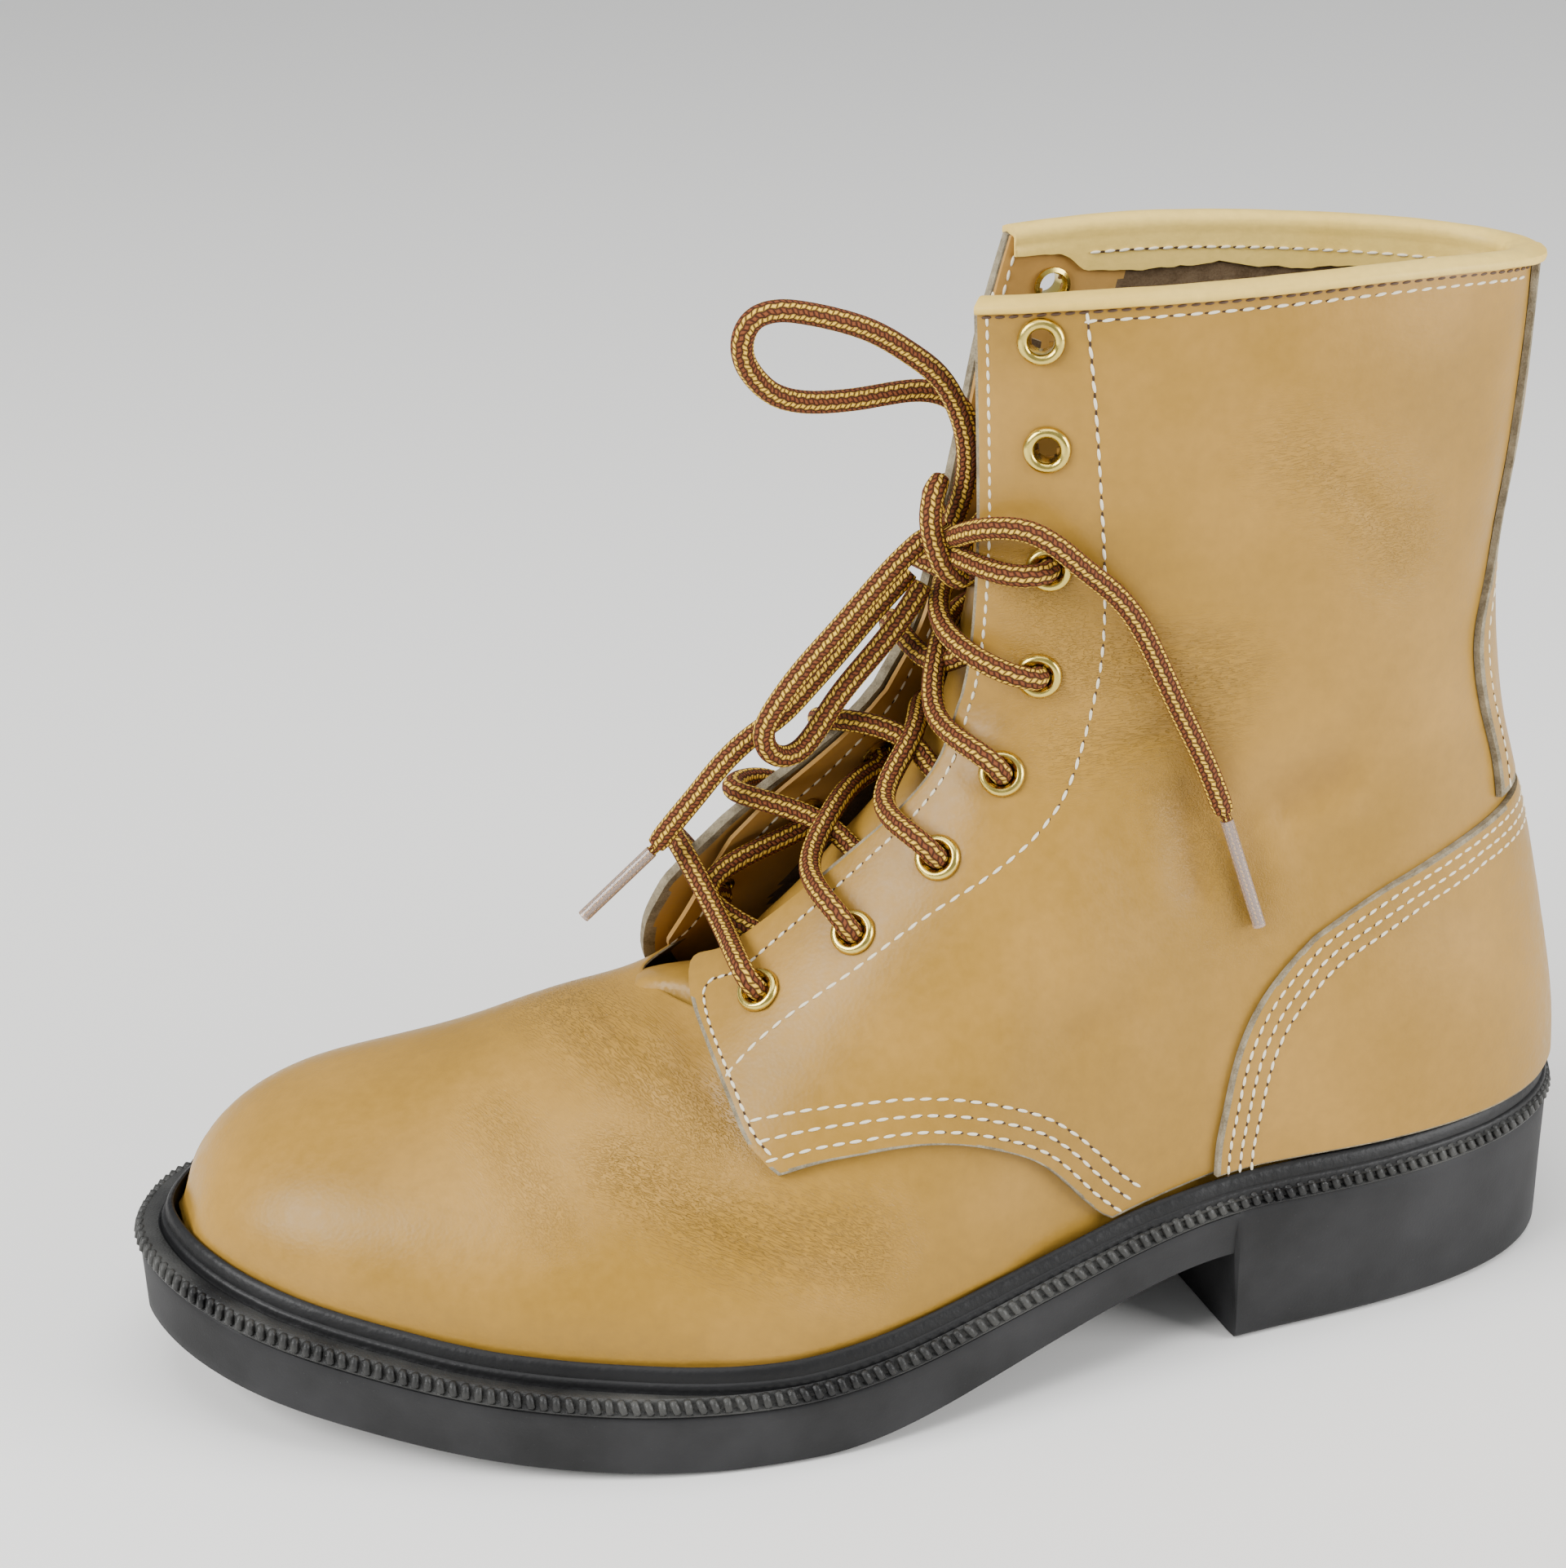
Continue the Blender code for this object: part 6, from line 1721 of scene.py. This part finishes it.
class BOOT_OT_heel(BootPiece, bpy.types.Operator):
    """Heel counter and backstay"""

    bl_idname = "boot.heel"
    bl_label = "Counter and backstay"

    def build(self, sizes):
        for name, node, seed in (("counter", "heel_counter", 4), ("backstay", "backstay", 5)):
            sheet = wrap(panels()[name])
            relief = undulation(sheet[0], 0.1, 15.0, seed)
            made = solid_sheet(
                f"{name}_leather", sheet, OVERLAY[0] - 0.5, OVERLAY[1],
                [FINISHES["leather"], FINISHES["suede"], FINISHES["edge"]], relief, edge_round=0.2,
                raw=(1.1 if name == "backstay" else 0.5, 0.0),
            )
            finished(made, node)


class BOOT_OT_binding(BootPiece, bpy.types.Operator):
    """Rolled collar binding with its inner band"""

    bl_idname = "boot.binding"
    bl_label = "Collar binding"

    def build(self, sizes):
        n = 110
        rings = []
        for side in (1, -1):
            front, back = facing_edge(side)[-1][0], float(seam_x(COLLAR[0][1]))
            x = back + (front - 0.4 - back) * spread(n)
            z = COLLAR_TOP[side](x)
            fade = 1 - ease((x - back) / 40.0)
            low = step_between(x, [(-27.5, OVERLAY[1] + 0.2), (-19.0, QUARTER[1] + 0.2)])
            inside = -BASE_WALL - 0.15
            skirt = SKIRT - (SKIRT - 5.6) * ease((x - 55.0) / 7.0)
            skirt = skirt + 1.1 * value_noise(np.column_stack([x, x * 0 + side * 7.0, x * 0]), 9.0, 8)
            skirt = skirt + 0.35 * value_noise(np.column_stack([x, x * 0 + side * 7.0, x * 0]), 2.1, 15)
            ring = (
                (low - 0.4, -1.75), (low + 0.25, -1.95), (low + 0.75, -1.7), (low + 1.0, -1.0),
                (low + 0.85, -0.2), (low * 0.55, 0.62), (low * 0.1, 0.95), (inside * 0.5, 0.85),
                (inside - 0.5, 0.3), (inside - 0.95, -0.6), (inside - 1.0, -1.8), (inside - 0.7, -2.8),
                (inside - 0.75, -3.8), (inside - 0.85, -skirt * 0.72), (inside - 0.8, -skirt),
                (inside - 0.1, -skirt), (inside, -1.4), (low * 0.5, -0.9), (low - 0.4, -1.1),
            )
            columns = []
            for out, h in ring:
                h = h + 0 * x
                level = z - 2.0 + np.where(h < -3, h, 0.0)
                at = x + (seam_x(level) - seam_x(z - 2.0)) * fade
                p, way = on_form(at, level, side), form_normal(at, level, side)
                p[0], way[0] = (seam_x(level[0]), MID_Y(at[0]), 0.0), (-1.0, 0.0, 0.0)
                way[:, 2] = 0.0
                way = unit(way)
                flat = p + way * (out + 0 * x)[:, None]
                columns.append(np.column_stack([flat[:, :2], z + h]))
            rings.append(np.stack(columns, 1))
        size = rings[0].shape[1]
        points = np.vstack([rings[0][::-1], rings[1][1:]]).reshape(-1, 3)
        points += 0.1 * value_noise(points, 5.0, 12)[:, None] * np.array((0.6, 0.6, 1.0))
        made = new_object("rolled_binding", points, loft(points, size), [FINISHES["cream"]], smooth=60)
        finished(made, "collar_binding")


class BOOT_OT_tongue(BootPiece, bpy.types.Operator):
    """Soft tongue in the throat"""

    bl_idname = "boot.tongue"
    bl_label = "Tongue"

    def build(self, sizes):
        coarse = tongue_sections(60)
        t = np.linspace(0, 1, 110)
        grid = np.stack([path_through(coarse[:, j])(t) for j in range(coarse.shape[1])], 1)
        normals = grid_normals(grid, 1)
        # its middle puffs up under the lace and rises to meet the vamp at the base of the throat
        along = grid[:, 30, 0]
        across = np.linspace(0, 1, grid.shape[1])
        outer_end, inner_end = PUFF_ENDS
        end = outer_end + (inner_end - outer_end) * ease((across - 0.4) / 0.2)
        puff = (PUFF + PUFF_BASE * np.exp(-(((along - PUFF_AT) / PUFF_REACH) ** 2)))[:, None]
        puff = puff * np.sin(across * math.pi) ** 1.3 * ease((end - along[:, None]) / PUFF_FADE)
        grid += puff[..., None] * np.array(PUFF_WAY)
        points = grid.reshape(-1, 3)
        relief = undulation(points, 0.5, 13.0, 21)
        sheet = points, normals.reshape(-1, 3), grid_quads(*grid.shape[:2], 1)
        made = solid_sheet(
            "soft_tongue", sheet, -TONGUE_WALL / 2, TONGUE_WALL / 2,
            [FINISHES["leather"], FINISHES["suede"], FINISHES["edge"]], relief, inner_relief=relief,
        )
        finished(made, "tongue")


class BOOT_OT_eyelets(BootPiece, bpy.types.Operator):
    """Rolled brass eyelets"""

    bl_idname = "boot.eyelets"
    bl_label = "Eyelets"

    def build(self, sizes):
        top = QUARTER[1]
        angles = np.linspace(0.0, math.pi, 9)
        middle, half = (EYELET_FLANGE + EYELET_BORE) / 2, (EYELET_FLANGE - EYELET_BORE) / 2
        roll = [(middle + half * math.cos(a), top + 0.25 + 1.15 * math.sin(a)) for a in angles]
        profile = roll + [
            (EYELET_BORE, -EYELET_BACK + 0.5), (EYELET_BORE + 0.5, -EYELET_BACK - 0.5),
            (EYELET_BORE + 1.35, -EYELET_BACK - 0.15), (EYELET_BORE + 1.4, -EYELET_BACK + 0.3),
            (EYELET_BARREL, -EYELET_BACK + 0.55), (EYELET_BARREL, top + 0.1),
        ]
        places = [*panels()["eyelets"][1], *panels()["eyelets"][-1]]
        points, faces = turned_ring(profile, places, 30)
        names = [f"eyelet_{word}_{i}" for word in ("outer", "inner") for i in range(1, 9)]
        faces = volume_out(points, faces)
        finished(new_object("brass_eyelets", points, faces, [FINISHES["brass"]], smooth=50), *names)


# Lace out of an eyelet: how far along, and how far out of the form's face
OVER_HOLE = ((0.0, -1.5), (0.0, 2.0), (0.35, 4.6), (1.6, 6.1), (3.4, 6.5))
UNDER_HOLE = ((0.0, 1.5), (0.0, -1.8), (0.4, -3.6), (1.7, -4.9), (3.4, -5.2))


class Facing:
    """Front edge of one facing with its directions, for the lace to pass over or under."""

    def __init__(self, side):
        panel = panels()["quarter"][side]
        first = int(np.argmin(np.linalg.norm(panel.grid[:, -1] - facing_edge(side)[0], axis=1)))
        self.edge, self.out = panel.face[first:, -1], panel.out[first:, -1]
        ahead = self.edge - panel.face[first:, -8]
        self.ahead = ahead / np.linalg.norm(ahead, axis=1)[:, None]
        self.eyelets = panels()["eyelets"][side]

    def at(self, z, ahead, out):
        """Point beside the edge at a height: this far ahead of it, and this far out of its face."""
        i = np.abs(self.edge[:, 2] - z).argmin()
        return self.edge[i] + self.ahead[i] * ahead + self.out[i] * out

    def from_hole(self, number, towards, outside=True):
        """Lace out of an eyelet, turning off towards a point: on the outer face or underneath."""
        centre, axis = self.eyelets[number - 1]
        way = towards - centre
        way -= axis * (way @ axis)
        way /= np.linalg.norm(way)
        return [centre + way * a + axis * h for a, h in (OVER_HOLE if outside else UNDER_HOLE)]


# The tied row's strands end here, at the knot: from the outer and from the inner eyelet
KNOT_ENDS = ((93.4, 10.8, 170.0), (92.0, 4.0, 171.5))
CROSSING_GAP = (0.4, 0.0, 0.8)       # half the way between the two runs that cross


class BOOT_OT_lacing(BootPiece, bpy.types.Operator):
    """Lace crossings between the facings"""

    bl_idname = "boot.lacing"
    bl_label = "Lacing"

    def build(self, sizes):
        outer, inner = Facing(1), Facing(-1)
        radius = sizes.lace / 2
        z_near, z_far = BAR_EDGE
        bar = outer.from_hole(8, outer.at(z_near, 0, 3)) + [outer.at(z_near, 1.0, 5.6)]
        bar += [inner.at(z_far, 3.4, 2.5), inner.at(z_far, 0.5, 6.4)]
        bar += inner.from_hole(8, inner.at(z_far, 0, 3))[::-1]
        runs = [bar]
        for number, near_over, near_under, far_over, (x, y, z) in CROSSINGS:
            middle = np.array([x, y, z])
            if number == 8:
                over = outer.from_hole(8, outer.at(near_over, 0, 0), False) + [outer.at(near_over, 1.0, -5.0)]
                under = inner.from_hole(8, middle, False)
            else:
                start = outer.at(near_over, 0, 3)
                over = outer.from_hole(number, start)[:-1] + [outer.at(near_over, 2.2, 4.4)]
                side = inner.at(far_over, 0, 3)
                under = inner.from_hole(number, side)[:-1] + [inner.at(far_over, 2.4, 4.0)]
            over += [middle + np.array(CROSSING_GAP)]
            over += inner.from_hole(number - 1, middle, False)[::-1]
            under += [middle - np.array(CROSSING_GAP), outer.at(near_under, 1.5, -4.9)]
            under += outer.from_hole(number - 1, outer.at(near_under, 0, 0), False)[::-1]
            runs += [over, under]
        for facing, place in zip((outer, inner), KNOT_ENDS):
            runs.append(facing.from_hole(3, np.array(place))[:-1] + [np.array(place)])
        parts = [tube(run, radius)[:3] for run in runs]
        points, faces, uv = joined(parts)
        nodes = ["lacing_bar"] + [f"lacing_{row[0]}" for row in CROSSINGS]
        finished(new_object("lace_crossings", points, faces, [FINISHES["lace"]], smooth=60, uv=uv), *nodes)


TIP_CORE, TIP_SLEEVE = 1.05, 1.35    # radii of the lace's tip and of the clear sleeve on it


class BOOT_OT_bow(BootPiece, bpy.types.Operator):
    """Bow: knot, two loops and two ends with their tips"""

    bl_idname = "boot.bow"
    bl_label = "Bow"

    def build(self, sizes):
        radius = sizes.lace / 2
        made, lines = {}, {}
        for name in ("loop_a", "loop_b", "end_c", "end_d", "knot"):
            points, faces, uv, line = tube(BOW[name], radius, taper=0.15)
            made[name] = new_object(f"lace_{name}", points, faces, [FINISHES["lace"]], smooth=60, uv=uv)
            lines[name] = line
            finished(made[name], name)
        tips = {}
        for name in ("aglet_c", "aglet_d"):
            a, b = (np.array(p) for p in BOW[name])
            way = (b - a) / np.linalg.norm(b - a)
            inner = [a - way * 2.4, a * 0.67 + b * 0.33, a * 0.33 + b * 0.67, b - way * 0.5]
            shell = [a - way * 0.6, a * 0.67 + b * 0.33, a * 0.33 + b * 0.67, b]
            core, sleeve = tube(inner, TIP_CORE, 12), tube(shell, TIP_SLEEVE, 16)
            tips[name] = new_object(f"tip_{name[-1]}", *sleeve[:2], [FINISHES["tip"]], smooth=60)
            finished(tips[name], name)
            finished(new_object(f"tip_{name[-1]}_lace", *core[:2], [FINISHES["lace"]], smooth=60, uv=core[2]))
        for name, far_end, pieces in (
            ("loop_a", "object", ()), ("loop_b", "object", ()),
            ("end_c", "fitting", [tips["aglet_c"]]), ("end_d", "fitting", [tips["aglet_d"]]),
        ):
            line = lines[name] * MM


def beside(path, distance):
    """A line of side-view places moved sideways: to its left if positive."""
    path = np.asarray(path, float)
    way = np.gradient(path, axis=0)
    way = unit(way)
    return path + np.column_stack([-way[:, 1], way[:, 0]]) * distance


def fine_line(path, step=1.0):
    """Side-view places along a smooth line, about a step apart."""
    path = np.asarray(path, float)
    length = np.linalg.norm(np.diff(path, axis=0), axis=1).sum()
    return path_through(path)(np.linspace(0, 1, max(6, int(length / step))))


# Rows of stitches beside an edge: how far in the first one is, and from one to the next
EDGE_ROW = 2.1             # facings and their lining
QUARTER_LINES = (2.5, 3.1)
COUNTER_LINES = (2.5, 2.75)
STAY_ROW = 2.6
# and below the collar's top: under the binding, through it, and inside
COLLAR_ROW, BINDING_ROW, BAND_ROW = 4.4, 2.6, 6.2
# Stitch lines of the facings: second line of the outer side, collar to throat, as (x, z)
SECOND_LINE = (
    (68.6, 219.6), (67.2, 201.9), (66.3, 185.6), (65.6, 168.9), (65.8, 155.0), (67.3, 143.2), (70.5, 132.5),
    (76.2, 121.5), (85.3, 113.2), (102.4, 102.2), (119.1, 90.4), (136.0, 78.7), (144.6, 71.4),
)


class BOOT_OT_stitching(BootPiece, bpy.types.Operator):
    """Every row of stitches"""

    bl_idname = "boot.stitching"
    bl_label = "Stitching"

    def build(self, sizes):
        tree = line_tree("stitches along a line", "grain")
        facings, rows, heel, dark, inside = [], [], [], [], []
        for side in (1, -1):
            panel = panels()["quarter"][side]
            edge = facing_edge(side)
            front = quarter_front(side)[:-1, :2]
            first = beside(np.vstack([front, edge]), EDGE_ROW)[1:]
            first[-1, 1] = COLLAR_TOP[side](first[-1, 0]) - 3.4
            facings.append(panel.at(fine_line(first)))
            second = np.array(SECOND_LINE)
            if side < 0:
                second = second + (edge - np.array(FACING))[::-1]
            rows.append(panel.at(fine_line(second)))
            low = np.array(QUARTER_LOW)
            for k in range(3):
                row = beside(low, QUARTER_LINES[0] + QUARTER_LINES[1] * k)
                row[-1] += (row[-1] - row[-2]) * 0.05
                rows.append(panel.at(fine_line(row)))
            x = np.linspace(68.0, -22.0, 60)
            rows.append(panel.at(np.column_stack([x, COLLAR_TOP[side](x) - COLLAR_ROW])))
            x = np.linspace(edge[-1, 0] - 2.0, -24.0, 80)
            dark.append(panel.at(np.column_stack([x, COLLAR_TOP[side](x) - BINDING_ROW])))
            counter = panels()["counter"][side]
            rim = np.vstack([[row[1:] for row in COUNTER_ROWS], np.array(COUNTER_TOP)[4::-1]])
            for k in range(3):
                depth = COUNTER_LINES[0] + COUNTER_LINES[1] * k
                row = fine_line(beside(rim, depth))
                front = counter.at(row[row[:, 0] > BACK_RUN])
                round_back = counter.below_top(depth, BACK_RUN)
                heel.append([np.vstack(pair) for pair in zip(front, round_back)])
            stay = panels()["backstay"][side]
            z = np.linspace(107.0, 214.0, 60)
            x = curve_through(BACKSTAY_ROWS, 1)(z) - STAY_ROW
            on_stay = x > seam_x(z) + 1.0
            heel.append(stay.at(np.column_stack([x, z])[on_stay]))
            lining = panels()["lining"][side]
            spots, way = lining.at(fine_line(beside(edge, EDGE_ROW)))
            inside.append((spots, -way))
            x = np.linspace(54.0, -24.0, 80)
            z = COLLAR_TOP[side](x) - BAND_ROW
            way = form_normal(x, z, side)
            inside.append((on_form(x, z, side) - way * (BASE_WALL + 1.15), -way))
        for name, lines, finish, share in (
            ("facing_stitches", facings, "thread", 0.79), ("panel_stitches", rows, "thread", 1.0),
            ("heel_stitches", heel, "thread", 0.84), ("binding_stitches", dark, "dark_thread", 0.8),
            ("inner_stitches", inside, "thread", 0.9),
        ):
            pitch = sizes.stitch_pitch * share
            thread = sizes.thread
            finished(
                run_of(name, lines, tree, FINISHES[finish], pitch, pitch * 0.76, thread, thread * 0.8,
                       turn=0.06, uneven=0.06)
            )
            if finish == "thread":
                # dark grains between the stitches: painted shade of the needle holes
                finished(
                    run_of(f"{name}_holes", lines, tree, FINISHES["hole"], pitch, pitch * 0.36, 0.5, 0.3,
                           begin=pitch / 2)
                )


# Camera: its place in millimetres, the way it looks, its roll, and its lens on a sensor this wide
EYE = (257.03, 667.65, 422.0)
SIGHT = (-0.175967, -0.896369, -0.406889)
EYE_ROLL = math.radians(-1.862)
LENS, SENSOR = 83.56, 36.0


class BOOT_OT_stage(bpy.types.Operator):
    """Pale floor, soft lights and the camera"""

    bl_idname = "boot.stage"
    bl_label = "Stage"

    def execute(self, context):
        scene = context.scene
        ground_z = CAD_BOX[0].z - 0.0004
        floor = bpy.data.meshes.new("floor")
        half = 3.0
        corners = [(x, y, ground_z) for x, y in ((-half, -half), (half, -half), (half, half), (-half, half))]
        floor.from_pydata(corners, [], [(0, 1, 2, 3)])
        floor.materials.append(surface("matt_paper", linear("F4F3F0"), 0.9)[0])
        ground = bpy.data.objects.new("floor", floor)
        scene.collection.objects.link(ground)
        world = bpy.data.worlds.new("studio")
        world.use_nodes = True
        world.node_tree.nodes["Background"].inputs["Color"].default_value = linear("F2F4F7")
        world.node_tree.nodes["Background"].inputs["Strength"].default_value = 0.55
        scene.world = world
        aim = np.array([0.11, 0.0, 0.09])
        for name, place, size, power in (
            ("left softbox", (1.2, 0.4, 0.85), 0.8, 27.0),
            ("right softbox", (-1.0, 0.7, 0.5), 0.8, 21.0),
            ("top softbox", (0.1, 0.2, 1.5), 1.2, 13.0),
        ):
            lamp = bpy.data.lights.new(name, "AREA")
            lamp.size, lamp.energy = size, power
            obj = bpy.data.objects.new(name, lamp)
            scene.collection.objects.link(obj)
            look_along(obj, np.array(place), aim - np.array(place))
        eye = bpy.data.cameras.new("camera")
        eye.lens, eye.sensor_width = LENS, SENSOR
        eye.clip_start, eye.clip_end = 0.02, 20.0
        camera = bpy.data.objects.new("camera", eye)
        scene.collection.objects.link(camera)
        look_along(camera, np.array(EYE) * MM, np.array(SIGHT), EYE_ROLL)
        scene.camera = camera
        return {"FINISHED"}


def look_along(obj, place, sight, roll=0.0):
    """Sets an object at a place, its -Z along the sight, its X level but for the roll."""
    from mathutils import Matrix, Vector

    back = -Vector(sight).normalized()
    right = Vector((0, 0, 1)).cross(back).normalized()
    up = back.cross(right)
    across = right * math.cos(roll) + up * math.sin(roll)
    above = up * math.cos(roll) - right * math.sin(roll)
    turn = Matrix((across, above, back)).transposed().to_4x4()
    obj.matrix_world = Matrix.Translation(Vector(place)) @ turn


class BOOT_PT_panel(bpy.types.Panel):
    bl_idname = "BOOT_PT_panel"
    bl_label = "Work boot"
    bl_space_type = "VIEW_3D"
    bl_region_type = "UI"
    bl_category = "Boot"

    def draw(self, context):
        column = self.layout.column()
        for group in (context.scene.boot_sizes, context.scene.boot_colours):
            for key in group.__annotations__:
                column.prop(group, key)
        for step in STEPS:
            column.operator(step.bl_idname)


STEPS = (
    BOOT_OT_stage, BOOT_OT_sole, BOOT_OT_welt, BOOT_OT_vamp, BOOT_OT_lining, BOOT_OT_quarters, BOOT_OT_heel,
    BOOT_OT_binding, BOOT_OT_tongue, BOOT_OT_eyelets, BOOT_OT_lacing, BOOT_OT_bow, BOOT_OT_stitching,
)
CLASSES = (BootSizes, BootColours, *STEPS, BOOT_PT_panel)


def register():
    for cls in CLASSES:
        bpy.utils.register_class(cls)
    bpy.types.Scene.boot_sizes = bpy.props.PointerProperty(type=BootSizes)
    bpy.types.Scene.boot_colours = bpy.props.PointerProperty(type=BootColours)


def unregister():
    del bpy.types.Scene.boot_colours
    del bpy.types.Scene.boot_sizes
    for cls in reversed(CLASSES):
        bpy.utils.unregister_class(cls)


def main():
    register()
    for step in STEPS:
        group, name = step.bl_idname.split(".")
        getattr(getattr(bpy.ops, group), name)()
    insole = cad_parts["insole"]
    insole.data.materials.clear()
    insole.data.materials.append(FINISHES["board"])


if __name__ == "__main__":
    main()
